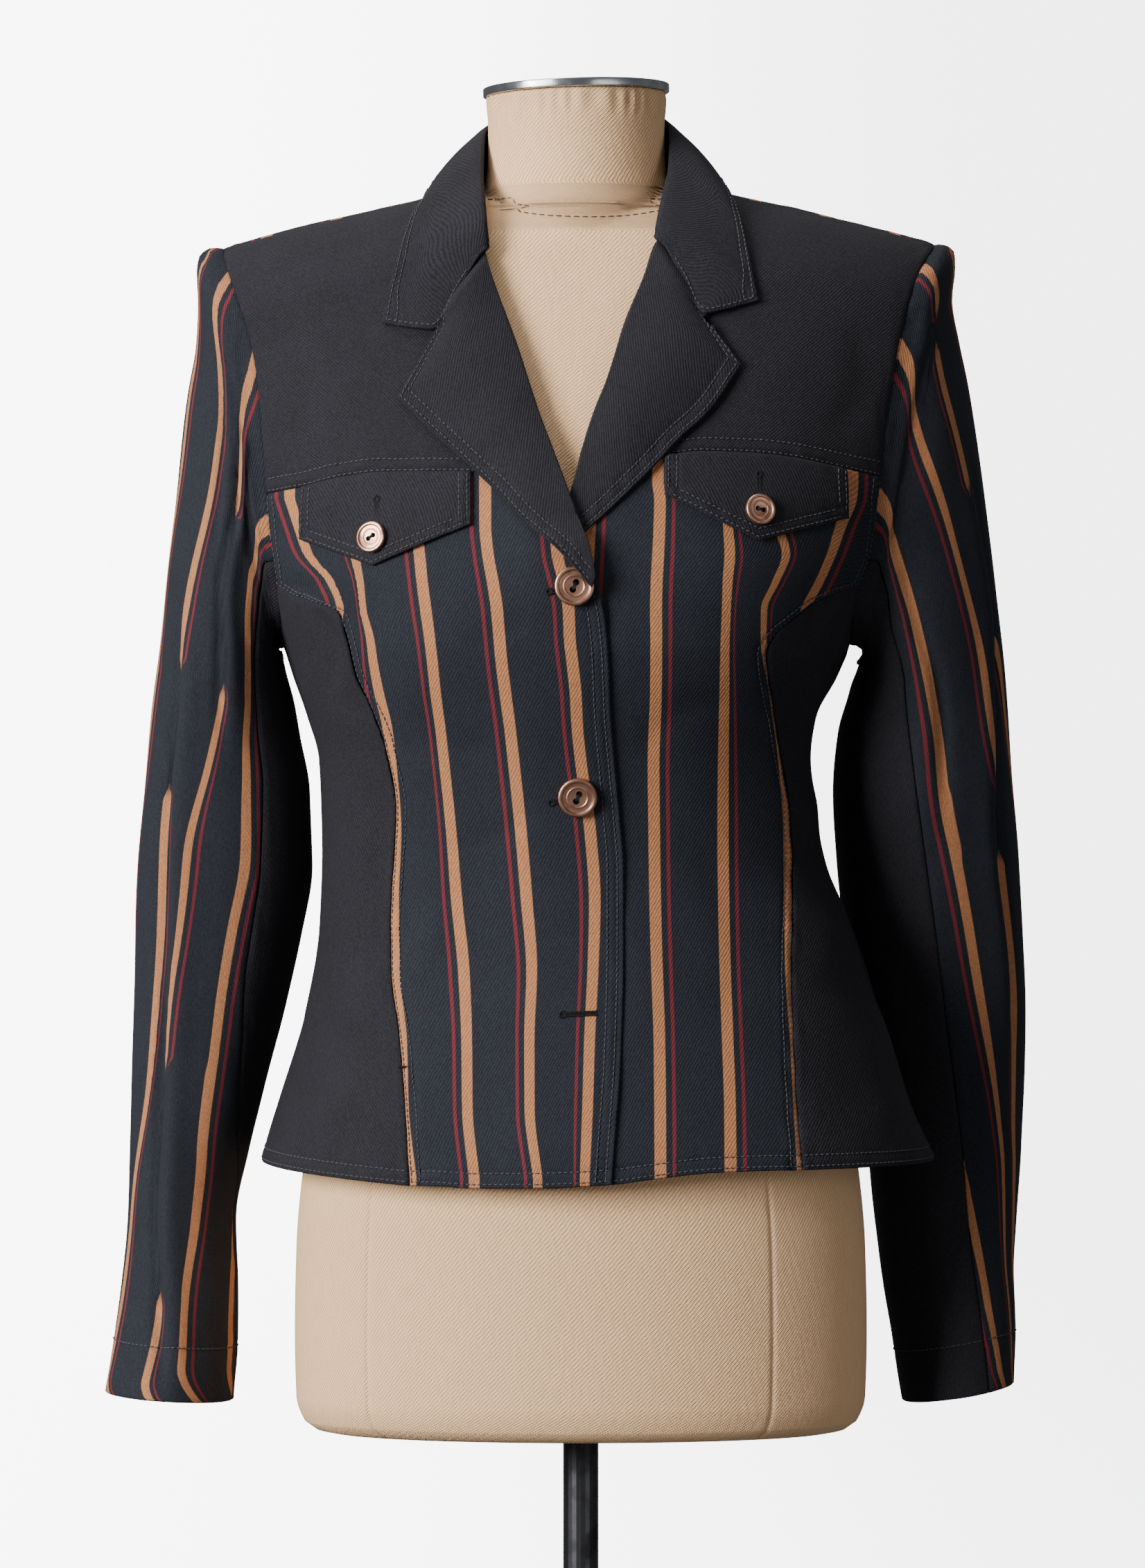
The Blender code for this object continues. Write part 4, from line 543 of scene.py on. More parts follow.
# Stripes of the fronts as the camera sees them: height, then the places of the bands across
STRIPES = {
    -1: [
        (1.1750, -0.1733, -0.1397, -0.0996, -0.0570, -0.0150),
        (1.1585, -0.1678, -0.1376, -0.0983, -0.0570, -0.0150),
        (1.1420, -0.1618, -0.1355, -0.0963, -0.0554, -0.0140),
        (1.1255, -0.1481, -0.1326, -0.0948, -0.0525, -0.0100),
        (1.1089, -0.1422, -0.1310, -0.0926, -0.0500, -0.0072),
        (1.0924, -0.1479, -0.1264, -0.0905, -0.0486, -0.0066),
        (1.0759, -0.1521, -0.1238, -0.0886, -0.0471, -0.0048),
        (1.0593, -0.1562, -0.1202, -0.0870, -0.0450, -0.0031),
        (1.0387, -0.1541, -0.1151, -0.0843, -0.0422, -0.0021),
        (1.0180, -0.1521, -0.1126, -0.0820, -0.0399, 0.0000),
        (0.9767, -0.1500, -0.1097, -0.0777, -0.0357, 0.0056),
        (0.9354, -0.1500, -0.1116, -0.0742, -0.0322, 0.0083),
        (0.8940, -0.1500, -0.1112, -0.0698, -0.0291, 0.0070),
        (0.8527, -0.1471, -0.1070, -0.0680, -0.0306, 0.0050),
        (0.8114, -0.1446, -0.1058, -0.0676, -0.0304, 0.0037),
        (0.7701, -0.1405, -0.1012, -0.0636, -0.0252, 0.0017),
    ],
    1: [
        (1.1833, 0.0461, 0.0859, 0.1054, 0.1620), (1.1750, 0.0473, 0.0876, 0.1054, 0.1612),
        (1.1585, 0.0469, 0.0884, 0.1165, 0.1548), (1.1420, 0.0461, 0.0893, 0.1227, 0.1488),
        (1.1255, 0.0452, 0.0882, 0.1163, 0.1415), (1.1089, 0.0448, 0.0878, 0.1091, 0.1331),
        (1.0924, 0.0450, 0.0870, 0.1091, 0.1289), (1.0593, 0.0448, 0.0862, 0.1145, 0.1289),
        (1.0180, 0.0434, 0.0853, 0.1207, 0.1496), (0.9767, 0.0438, 0.0849, 0.1240, 0.1640),
        (0.9354, 0.0444, 0.0853, 0.1244, 0.1661), (0.8940, 0.0455, 0.0862, 0.1252, 0.1661),
        (0.8527, 0.0469, 0.0876, 0.1281, 0.1682), (0.8114, 0.0473, 0.0890, 0.1302, 0.1702),
        (0.7701, 0.0475, 0.0893, 0.1331, 0.1736),
    ],
}

# Stripes of the sleeves as the camera sees them, a line for each band from the outside in:
# height, place across
SLEEVE_STRIPES = {
    -1: [
        [(1.3073, -0.2093), (1.3011, -0.2141), (1.2866, -0.2188), (1.2763, -0.2192), (1.2618, -0.2169),
         (1.2494, -0.2149), (1.2329, -0.2134), (1.2164, -0.2147), (1.2040, -0.2159), (1.1833, -0.2190),
         (1.1626, -0.2236), (1.1420, -0.2291), (1.1213, -0.2335), (1.1007, -0.2372), (1.0800, -0.2386),
         (1.0490, -0.2397), (1.0263, -0.2419), (1.0077, -0.2442), (0.9957, -0.2460), (0.9507, -0.2478),
         (0.9056, -0.2500), (0.8602, -0.2534), (0.8379, -0.2550), (0.8151, -0.2584), (0.7928, -0.2620),
         (0.7701, -0.2658), (0.7474, -0.2674), (0.7296, -0.2694)],
        [(1.2639, -0.1944), (1.2556, -0.1963), (1.2453, -0.1988), (1.2350, -0.2006), (1.2246, -0.2014),
         (1.2143, -0.2021), (1.2040, -0.2027), (1.1916, -0.2033), (1.1730, -0.2041), (1.1626, -0.2048),
         (1.1482, -0.2103), (1.1255, -0.2128), (1.0903, -0.2128), (1.0655, -0.2120), (1.0573, -0.2128),
         (1.0490, -0.2145), (1.0387, -0.2161), (1.0283, -0.2182), (1.0180, -0.2215), (0.9965, -0.2273),
         (0.9730, -0.2345), (0.9502, -0.2369), (0.9279, -0.2388), (0.9052, -0.2414), (0.8829, -0.2450),
         (0.8647, -0.2463), (0.8465, -0.2473), (0.8279, -0.2483), (0.7928, -0.2504), (0.7362, -0.2517),
         (0.7023, -0.2504), (0.6957, -0.2500), (0.6845, -0.2504), (0.6755, -0.2523), (0.6618, -0.2558),
         (0.6507, -0.2587)],
        [(1.1688, -0.1882), (1.1626, -0.1886), (1.1523, -0.1907), (1.1420, -0.1934), (1.1317, -0.1961),
         (1.1213, -0.1975), (1.1048, -0.1990), (1.0903, -0.1983), (1.0593, -0.1988), (1.0387, -0.1998),
         (1.0180, -0.2006), (0.9953, -0.2002), (0.9730, -0.1998), (0.9573, -0.1996), (0.9436, -0.2033),
         (0.9279, -0.2062), (0.9052, -0.2107), (0.8829, -0.2145), (0.8602, -0.2171), (0.8379, -0.2198),
         (0.8151, -0.2230), (0.7928, -0.2255), (0.7701, -0.2266), (0.7474, -0.2285), (0.7250, -0.2335),
         (0.7023, -0.2368), (0.6800, -0.2380), (0.6573, -0.2388)],
    ],
    1: [
        [(1.3139, 0.2060), (1.3056, 0.2097), (1.2953, 0.2127), (1.2870, 0.2136), (1.2759, 0.2128),
         (1.2647, 0.2105), (1.2544, 0.2117), (1.2445, 0.2144), (1.2341, 0.2176), (1.2238, 0.2211),
         (1.2135, 0.2240), (1.2036, 0.2264), (1.1932, 0.2289), (1.1829, 0.2310), (1.1461, 0.2372),
         (1.1172, 0.2434), (1.0912, 0.2488), (1.0705, 0.2504), (1.0502, 0.2521)],
        [(1.2709, 0.1933), (1.2626, 0.1939), (1.2544, 0.1957), (1.2445, 0.1976), (1.2341, 0.1983),
         (1.2238, 0.1988), (1.2135, 0.2011), (1.2036, 0.2050), (1.1932, 0.2088), (1.1829, 0.2124),
         (1.1730, 0.2165), (1.1523, 0.2231), (1.1321, 0.2277), (1.1114, 0.2326), (1.0912, 0.2375),
         (1.0705, 0.2413), (1.0502, 0.2436), (1.0300, 0.2450), (1.0093, 0.2459), (0.9891, 0.2469),
         (0.9548, 0.2496), (0.9333, 0.2525), (0.9118, 0.2547), (0.8903, 0.2562), (0.8693, 0.2573),
         (0.8263, 0.2578), (0.7837, 0.2578), (0.7412, 0.2574), (0.7197, 0.2570)],
        [(1.1808, 0.1788), (1.1730, 0.1796), (1.1626, 0.1821), (1.1523, 0.1853), (1.1420, 0.1880),
         (1.1321, 0.1905), (1.1217, 0.1938), (1.1114, 0.1970), (1.1015, 0.1996), (1.0912, 0.2017),
         (1.0808, 0.2037), (1.0705, 0.2060), (1.0606, 0.2087), (1.0502, 0.2107), (1.0300, 0.2140),
         (1.0093, 0.2152), (0.9932, 0.2165), (0.9759, 0.2207), (0.9548, 0.2255), (0.9333, 0.2295),
         (0.9118, 0.2331), (0.8903, 0.2361), (0.8693, 0.2401), (0.8478, 0.2438), (0.8263, 0.2475),
         (0.8052, 0.2504), (0.7837, 0.2521), (0.7709, 0.2528)],
        [(0.7622, 0.2299), (0.7412, 0.2339), (0.7197, 0.2393), (0.6982, 0.2421), (0.6833, 0.2442),
         (0.6664, 0.2492), (0.6490, 0.2517)],
    ],
}

# Bands that run hidden in a fold: band, lower height, upper height
HIDDEN_BANDS = {
    -1: [(0, 1.0007, 1.0750), (1, 1.0610, 1.1676), (1, 0.6990, 0.8370)],
    1: [(0, 1.2660, 1.2858), (0, 1.0945, 1.1808), (1, 0.9622, 1.0015)],
}

Array = np.ndarray
Pairs = Sequence[Sequence[float]]


class Held(Enum):
    """How a sheet of cloth is held."""

    HUNG = "hung"
    FOLDED = "folded"


class Curve:
    """A smooth line through a short table of pairs, without overshoot."""

    def __init__(self, pairs: Pairs) -> None:
        """Sort the pairs and work out a slope at each.

        Args:
            pairs: places and the values there.
        """
        ordered = sorted(tuple(pair) for pair in pairs)
        self.at = np.array([pair[0] for pair in ordered], float)
        self.value = np.array([pair[1] for pair in ordered], float)
        rises = np.diff(self.value) / np.diff(self.at)
        slope = np.zeros(len(ordered))
        slope[0], slope[-1] = rises[0], rises[-1]
        before, after = rises[:-1], rises[1:]
        steady = before * after > 0
        total = np.where(steady, before + after, 1.0)
        slope[1:-1] = np.where(steady, 2 * before * after / total, 0.0)
        self.slope = slope

    def __call__(self, at: Array | float) -> Array:
        """The values at some places.

        Args:
            at: places, clamped to the table's ends.

        Returns:
            One value for each place.
        """
        at = np.clip(np.asarray(at, float), self.at[0], self.at[-1])
        i = np.clip(np.searchsorted(self.at, at) - 1, 0, len(self.at) - 2)
        span = self.at[i + 1] - self.at[i]
        t = (at - self.at[i]) / span
        start = (1 + 2 * t) * (1 - t) ** 2 * self.value[i] + t * (1 - t) ** 2 * span * self.slope[i]
        end = t * t * (3 - 2 * t) * self.value[i + 1] - t * t * (1 - t) * span * self.slope[i + 1]
        return start + end


class Path:
    """A line through points, smooth but for sharp corners at the rows that are named."""

    def __init__(self, points: Pairs, corners: Sequence[int] = ()) -> None:
        """Split the points at their corners.

        Args:
            points: the points in order.
            corners: rows where the line turns sharply.
        """
        self.count = len(points) - 1
        self.breaks = [0, *corners, self.count]
        self.width = len(points[0])
        self.pieces = []
        for low, high in zip(self.breaks, self.breaks[1:]):
            rows = range(low, high + 1)
            self.pieces.append([
                Curve([(row, points[row][axis]) for row in rows]) for axis in range(self.width)
            ])

    def __call__(self, row: Array | float) -> Array:
        """The points at some rows.

        Args:
            row: row numbers, whole or between two rows.

        Returns:
            A point for each row number, along the last axis.
        """
        row = np.asarray(row, float)
        result = np.zeros((*row.shape, self.width))
        for k, curves in enumerate(self.pieces):
            here = (row >= self.breaks[k] - 1e-9) & (row <= self.breaks[k + 1] + 1e-9)
            for axis, curve in enumerate(curves):
                result[..., axis] = np.where(here, curve(row), result[..., axis])
        return result


def columns(table: Pairs) -> list[Curve]:
    """One curve over the first column for each other column of a table."""
    return [Curve([(row[0], row[k]) for row in table]) for k in range(1, len(table[0]))]


def mix(a: Array | float, b: Array | float, t: Array | float) -> Array | float:
    """The value a share of the way from one value to another."""
    return a + (b - a) * t


def ease(t: Array | float) -> Array:
    """A smooth step from 0 to 1."""
    t = np.clip(t, 0.0, 1.0)
    return t * t * (3 - 2 * t)


def bump(distance: Array, reach: float) -> Array:
    """A soft hill of height 1 that fades with distance."""
    return np.exp(-((distance / reach) ** 2))


def unit(vectors: Array) -> Array:
    """Vectors at length 1."""
    return vectors / np.maximum(np.linalg.norm(vectors, axis=-1, keepdims=True), 1e-12)


def stack(*parts: Array | float) -> Array:
    """Coordinates put together along a new last axis."""
    return np.stack(np.broadcast_arrays(*[np.asarray(part, float) for part in parts]), axis=-1)


def soft_noise(points: Array, size: float, seed: int) -> Array:
    """A smooth uneven field from -1 to 1, made of a few crossed waves.

    Args:
        points: places in metres.
        size: the usual width of a swelling, in metres.
        seed: which of many such fields.

    Returns:
        A value for each place.
    """
    source = np.random.default_rng(seed)
    total = np.zeros(points.shape[:-1])
    for _ in range(7):
        direction = source.normal(size=3)
        direction /= np.linalg.norm(direction)
        turn = 2 * math.pi / (size * source.uniform(0.7, 1.9))
        total += np.sin(points @ direction * turn + source.uniform(0, 2 * math.pi))
    return total / 3.2


class BodySurface:
    """The outer surface of the blazer's body, as depth over a place seen from the front."""

    def __init__(self) -> None:
        """Read the body's tables into curves."""
        self.right, self.left, self.front, self.back = columns(BODY)
        self.shoulder = Curve(SHOULDER_LINE)

    def spread(self, x: Array, z: Array) -> Array:
        """How far across the body a place is, from -1 to 1."""
        middle = (self.left(z) - self.right(z)) / 2
        return (x - middle) / ((self.left(z) + self.right(z)) / 2)

    def depth(self, x: Array, z: Array, facing: Array | float) -> Array:
        """How deep the body is at a place, before it rounds off at the sides.

        Args:
            x: distance across.
            z: height.
            facing: -1 for the front, 1 for the back.

        Returns:
            The depth from the middle plane.
        """
        across = (np.abs(x) - BUST_REACH) / BUST_SPREAD
        bust = np.exp(-across ** 2 - ((z - BUST_HEIGHT) / BUST_SPREAD) ** 2)
        return np.where(np.asarray(facing) < 0, self.front(z) + BUST_RISE * bust, self.back(z))

    def beyond(self, points: Array) -> Array:
        """Below zero inside the body and above zero outside it."""
        x, y, z = points[..., 0], points[..., 1], points[..., 2]
        facing = np.where(y < 0, -1.0, 1.0)
        square = np.where(facing < 0, FRONT_SQUARENESS, BACK_SQUARENESS)
        side = np.maximum(1 - self.spread(x, z) ** 2, 0.0) ** (2 * square)
        rise = 1 - (self.shoulder(x) - z) / SHOULDER_ROUND
        top = 1 - np.maximum(rise, 0.0) ** 2
        return (y / self.depth(x, z, facing)) ** 2 - side * top

    def slope(self, points: Array) -> Array:
        """How much further outside a small step along each axis leads."""
        slopes = []
        for axis in range(3):
            shift = np.zeros(3)
            shift[axis] = SLOPE_STEP
            slopes.append(self.beyond(points + shift) - self.beyond(points - shift))
        return np.stack(slopes, axis=-1)

    def normal(self, points: Array) -> Array:
        """The directions straight out of the body."""
        return unit(self.slope(points))

    def at(self, x: Array, z: Array, facing: Array | float) -> Array:
        """The points of the front (-1) or the back (1) at distances across and heights."""
        facing = np.asarray(facing, float)
        square = np.where(facing < 0, FRONT_SQUARENESS, BACK_SQUARENESS)
        side = np.maximum(1 - self.spread(x, z) ** 2, 0.0) ** square
        rise = np.maximum(1 - (self.shoulder(x) - z) / SHOULDER_ROUND, 0.0)
        top = np.sqrt(np.maximum(1 - rise * rise, 0.0))
        return stack(x, facing * self.depth(x, z, facing) * side * top, z)

    def over(self, x: Array, climb: Array, facing: float) -> Array:
        """The points at climbs, the way up the surface from where the shoulder starts to round."""
        start = self.shoulder(x) - SHOULDER_ROUND
        angle = np.maximum(climb, 0.0) / SHOULDER_ROUND
        z = np.where(climb <= 0, start + climb, start + SHOULDER_ROUND * np.sin(angle))
        return self.at(x, z, np.where(angle > math.pi / 2, -facing, facing))

    def climb(self, x: Array, z: Array) -> Array:
        """The way up the surface to a place, the inverse of over."""
        start = self.shoulder(x) - SHOULDER_ROUND
        rise = np.clip((z - start) / SHOULDER_ROUND, 0.0, 1.0)
        return np.where(z <= start, z - start, SHOULDER_ROUND * np.arcsin(rise))

    def round_side(self, angle: Array, z: Array) -> Array:
        """The points at heights and angles: 0 at the wearer's left, pi at the right, front first."""
        middle = (self.left(z) - self.right(z)) / 2
        reach = (self.left(z) + self.right(z)) / 2
        return self.at(middle + reach * np.cos(angle), z, np.where(np.sin(angle) > 0, -1.0, 1.0))

    def angle(self, x: Array, z: Array, facing: float) -> Array:
        """The angle round the body of a place."""
        turn = np.arccos(np.clip(self.spread(x, z), -1.0, 1.0))
        return turn if facing < 0 else 2 * math.pi - turn

    def lifted(self, points: Array, lift: Array | float) -> Array:
        """The points moved straight out of the surface to at least this distance from it."""
        for _ in range(4):
            slope = self.slope(points) / (2 * SLOPE_STEP)
            length = np.maximum(np.linalg.norm(slope, axis=-1), 1e-9)
            short = np.maximum(lift - self.beyond(points) / length, 0.0)
            points = points + slope / length[..., None] * short[..., None]
        return points


SURFACE = BodySurface()
FRONT_EDGES = {side: Curve(rows) for side, rows in FRONT_EDGE.items()}
PRINCESS_SEAMS = {side: Curve(rows) for side, rows in PRINCESS.items()}
YOKE_SEAMS = {side: Curve(rows) for side, rows in YOKE_SEAM.items()}
ARMHOLES = {side: Curve(rows) for side, rows in ARMHOLE.items()}
FRONT_HEM_LINE = Curve(FRONT_HEM)


def lap_lift(x: Array, z: Array) -> Array:
    """How far the right front stands off the body to lie over the left one."""
    across = ease((x - LAP_START) / LAP_RAMP)
    over_lapel = ease((z - LAP_FOOT) / 0.035) * ease((LAP_TOP - z) / 0.050)
    plain = ease((LAP_TOP - z) / 0.090)
    return across * (LAP_PLAIN * plain + LAP_LAPEL * over_lapel)


def armhole_x(side: int, z: Array, facing: float) -> Array:
    """How far across the armhole is at a height, at the front or the back."""
    low, high = ARMHOLE[side][0][0], ARMHOLE[side][-1][0]
    share = np.clip((z - low) / (high - low), 0.0, 1.0)
    wider = BACK_ARMHOLE_WIDER * np.sin(math.pi * share)
    return side * (ARMHOLES[side](z) + np.where(np.asarray(facing) > 0, wider, 0.0))


def armhole_point(side: int, angle: Array) -> Array:
    """Points of the armhole's loop: 0 at the top, pi/2 at the front, pi under the arm."""
    facing = np.where(angle < math.pi, -1.0, 1.0)
    low, high = ARMHOLE[side][0][0], ARMHOLE[side][-1][0]
    z = mix(low, high, (1 + np.cos(angle)) / 2)
    x = armhole_x(side, z, facing)
    points = SURFACE.at(x, z, facing)
    at_top = z > high - 1e-6
    points[..., 2] = np.where(at_top, SURFACE.shoulder(x), points[..., 2])
    points[..., 1] = np.where(at_top | (z < low + 1e-6), 0.0, points[..., 1])
    return points


def yoke_corner(side: int) -> tuple[float, float]:
    """Where the yoke seam meets the armhole."""
    z = max(YOKE_SEAM[side], key=lambda row: abs(row[0]))[1]
    return float(armhole_x(side, z, -1)), z


def seen(points: Array) -> tuple[Array, Array]:
    """Distances across and heights as the camera sees them, on the plane through the middle."""
    near = CAMERA_DISTANCE / (CAMERA_DISTANCE + points[..., 1])
    across = CAMERA_PLACE[0] + (points[..., 0] - CAMERA_PLACE[0]) * near
    height = CAMERA_PLACE[2] + (points[..., 2] - CAMERA_PLACE[2]) * near
    return across, height


def spaced(length: float, cell: float, low: bool = True) -> Array:
    """Shares along a line, closer together near the ends that are sewn or stitched.

    Args:
        length: how long the line is, in metres.
        cell: the usual step, in metres.
        low: whether the steps are fine at the start too, as they are at the end.

    Returns:
        Rising shares from 0 to 1.
    """
    first = list(BORDER_STEPS) if low else [0.0]
    last = [length - step for step in reversed(BORDER_STEPS)]
    count = max(int(round((last[0] - first[-1]) / cell)), 2)
    middle = list(np.linspace(first[-1], last[0], count + 1)[1:-1])
    return np.array(first + middle + last) / length


def sampled(values: Array, lengths: Array, at: Array | float) -> Array:
    """The points between the points of a line, at distances along it."""
    return np.stack([np.interp(at, lengths, values[:, axis]) for axis in range(values.shape[1])], axis=-1)


def along(points: Array) -> Array:
    """How far along a line of points each of them is."""
    steps = np.linalg.norm(np.diff(points, axis=0), axis=1)
    return np.concatenate([[0.0], np.cumsum(steps)])


class Panel:
    """A piece of cloth as a grid of points on a surface, with its outward directions."""

    def __init__(self, grid: Array, outward: Array, name: str) -> None:
        """Keep the grid and measure it.

        Args:
            grid: rows of points.
            outward: rows of directions out of the cloth.
            name: the piece's name.
        """
        self.name = name
        self.grid = grid
        self.outward = outward
        across = np.linalg.norm(np.diff(grid, axis=1), axis=2)
        up = np.linalg.norm(np.diff(grid, axis=0), axis=2)
        self.across = np.concatenate([np.zeros((grid.shape[0], 1)), np.cumsum(across, axis=1)], axis=1)
        self.up = np.concatenate([np.zeros((1, grid.shape[1])), np.cumsum(up, axis=0)], axis=0)

    def distance(self, border: str) -> Array:
        """How far each point is from a border: start, end, bottom or top."""
        if border == "start":
            return self.across
        if border == "end":
            return self.across[:, -1:] - self.across
        if border == "bottom":
            return self.up
        return self.up[-1:, :] - self.up

    def moved(self, lift: Array) -> Panel:
        """The piece with each point moved out by its own distance."""
        return Panel(self.grid + self.outward * lift[..., None], self.outward, self.name)

    def reshaped(self) -> Panel:
        """The piece with its outward directions taken again from its shape."""
        return Panel(self.grid, grid_normals(self.grid, self.outward), self.name)

    def line_beside(
        self, border: str, offset: float, low: float = 0.0, high: float = 1.0, keep: Sequence[str] = ()
    ) -> tuple[Array, Array]:
        """A line on the cloth at a distance from a border.

        Args:
            border: start, end, bottom or top.
            offset: the distance from it, in metres.
            low: the share along the border where the line starts.
            high: the share along the border where it ends.
            keep: other borders that the line stays as far away from.

        Returns:
            The line's points and the directions out of the cloth there.
        """
        away = self.distance(border)
        others = [self.distance(other) for other in keep if other != border]
        sideways = border in ("start", "end")
        points, normals = [], []
        count = away.shape[0] if sideways else away.shape[1]
        for k in range(count):
            share = k / (count - 1)
            if not low <= share <= high:
                continue
            row = away[k] if sideways else away[:, k]
            places = self.grid[k] if sideways else self.grid[:, k]
            directions = self.outward[k] if sideways else self.outward[:, k]
            if row[0] > row[-1]:
                row, places, directions = row[::-1], places[::-1], directions[::-1]
            if row[-1] < offset:
                continue
            if others:
                nearest = int(np.argmin(np.abs((away[k] if sideways else away[:, k]) - offset)))
                spot = (k, nearest) if sideways else (nearest, k)
                if min(other[spot] for other in others) < offset * CORNER_SHARE:
                    continue
            points.append(sampled(places, row, offset))
            normals.append(sampled(directions, row, offset))
        return np.array(points), unit(np.array(normals))


def grid_normals(grid: Array, like: Array) -> Array:
    """Directions out of a grid of points, on the same side as the ones given."""
    across = np.gradient(grid, axis=1)
    up = np.gradient(grid, axis=0)
    normals = unit(np.cross(across, up))
    turned = np.sum(normals * like, axis=-1, keepdims=True) < 0
    return np.where(turned, -normals, normals)


def coons(borders: dict[str, Array], place: Callable[[Array], Array], cell: float, name: str) -> Panel:
    """A cloth piece inside four border lines that are given in flat coordinates.

    Args:
        borders: the lines named bottom, top, start and end.
        place: the function from flat coordinates to points of the surface.
        cell: the usual size of the grid's cells.
        name: the piece's name.

    Returns:
        The piece with directions straight out of the body.
    """
    lengths = {key: along(place(line)) for key, line in borders.items()}
    width = (lengths["bottom"][-1] + lengths["top"][-1]) / 2
    height = (lengths["start"][-1] + lengths["end"][-1]) / 2
    c = spaced(width, cell)
    s = spaced(height, cell)
    bottom, top = (
        sampled(borders[key], lengths[key], c * lengths[key][-1])[None, :, :] for key in ("bottom", "top")
    )
    start, end = (
        sampled(borders[key], lengths[key], s * lengths[key][-1])[:, None, :] for key in ("start", "end")
    )
    across, up = c[None, :, None], s[:, None, None]
    ruled = mix(bottom, top, up) + mix(start, end, across)
    low = mix(bottom[:, :1], bottom[:, -1:], across)
    high = mix(top[:, :1], top[:, -1:], across)
    grid = place(ruled - mix(low, high, up))
    return Panel(grid, SURFACE.normal(grid), name)


class Shade:
    """A value inside a material, on which sums can be written as usual."""

    def __init__(self, recipe: Recipe, socket: bpy.types.NodeSocket) -> None:
        """Keep the socket and the material that it is in."""
        self.recipe = recipe
        self.socket = socket

    def math(self, operation: str, *others: Shade | float, first: bool = True) -> Shade:
        """A new value by one Math node.

        Args:
            operation: the Math node's operation.
            others: the other values.
            first: whether this value comes first.

        Returns:
            The new value.
        """
        values = [self, *others] if first else [*others, self]
        node = self.recipe.node("ShaderNodeMath", {"operation": operation}, dict(enumerate(values)))
        return Shade(self.recipe, node.outputs[0])

    def __add__(self, other: Shade | float) -> Shade:
        """The sum."""
        return self.math("ADD", other)

    __radd__ = __add__

    def __sub__(self, other: Shade | float) -> Shade:
        """The difference."""
        return self.math("SUBTRACT", other)

    def __rsub__(self, other: Shade | float) -> Shade:
        """The difference the other way round."""
        return self.math("SUBTRACT", other, first=False)

    def __mul__(self, other: Shade | float) -> Shade:
        """The product."""
        return self.math("MULTIPLY", other)

    def sine(self) -> Shade:
        """The sine."""
        return self.math("SINE")

    def size(self) -> Shade:
        """The value without its sign."""
        return self.math("ABSOLUTE")

    def fraction(self) -> Shade:
        """What is left after the whole number."""
        return self.math("FRACT")

    def step(self, low: float, high: float) -> Shade:
        """A smooth step from 0 at the low value to 1 at the high one."""
        node = self.recipe.node(
            "ShaderNodeMapRange",
            {"interpolation_type": "SMOOTHSTEP"},
            {"Value": self, "From Min": low, "From Max": high},
        )
        return Shade(self.recipe, node.outputs["Result"])


class Recipe:
    """The nodes of one material."""

    def __init__(self, name: str) -> None:
        """Make an empty material with a Principled shader.

        Args:
            name: the material's name.
        """
        self.material = bpy.data.materials.new(name)
        self.material.use_nodes = True
        self.tree = self.material.node_tree
        self.shader = self.tree.nodes["Principled BSDF"]

    def node(self, kind: str, settings: dict | None = None, sockets: dict | None = None) -> bpy.types.Node:
        """Add a node.

        Args:
            kind: the node's type.
            settings: its settings, set first.
            sockets: values or links for its inputs, by name or number.

        Returns:
            The node.
        """
        node = self.tree.nodes.new(kind)
        for key, value in (settings or {}).items():
            setattr(node, key, value)
        for key, value in (sockets or {}).items():
            self.feed(node.inputs[key], value)
        return node

    def feed(self, socket: bpy.types.NodeSocket, value: object) -> None:
        """Set an input's value, or link it."""
        if isinstance(value, Shade):
            self.tree.links.new(value.socket, socket)
        elif isinstance(value, bpy.types.NodeSocket):
            self.tree.links.new(value, socket)
        elif isinstance(value, tuple) and len(value) == 3 and socket.type == "RGBA":
            socket.default_value = (*value, 1.0)
        else:
            socket.default_value = value

    def set(self, **inputs: object) -> None:
        """Set or link the shader's inputs, with underscores for the spaces in their names."""
        for key, value in inputs.items():
            self.feed(self.shader.inputs[key.replace("_", " ")], value)

    def uv(self, name: str = "cloth") -> tuple[Shade, Shade]:
        """The two coordinates of one of the cloth's own maps."""
        coordinates = self.node("ShaderNodeUVMap", {"uv_map": name})
        parts = self.node("ShaderNodeSeparateXYZ", None, {0: coordinates.outputs[0]})
        return Shade(self, parts.outputs[0]), Shade(self, parts.outputs[1])

    def noise(self, scale: float, detail: float = 2.0, vector: object = None) -> Shade:
        """Uneven values from 0 to 1 over the object.

        Args:
            scale: how many swellings go to a metre.
            detail: how many finer layers there are.
            vector: other coordinates than the object's own.

        Returns:
            The value.
        """
        if vector is None:
            vector = self.node("ShaderNodeTexCoord").outputs["Object"]
        node = self.node("ShaderNodeTexNoise", None, {"Vector": vector, "Scale": scale, "Detail": detail})
        return Shade(self, node.outputs["Fac"])

    def stretched(self, u: Shade, v: Shade, along: float) -> bpy.types.NodeSocket:
        """A vector from the cloth's map with its second coordinate drawn out."""
        return self.node("ShaderNodeCombineXYZ", None, {0: u, 1: v * along}).outputs[0]

    def blend(self, factor: Shade | float, first: object, second: object) -> bpy.types.NodeSocket:
        """A colour between two colours."""
        node = self.node("ShaderNodeMix", {"data_type": "RGBA"}, {0: factor, 6: first, 7: second})
        return node.outputs[2]

    def raise_by(self, height: Shade, distance: float) -> None:
        """Bump the surface by a height, in shares of a distance."""
        sockets = {"Strength": 1.0, "Distance": distance, "Height": height}
        node = self.node("ShaderNodeBump", None, sockets)
        self.set(Normal=node.outputs[0])


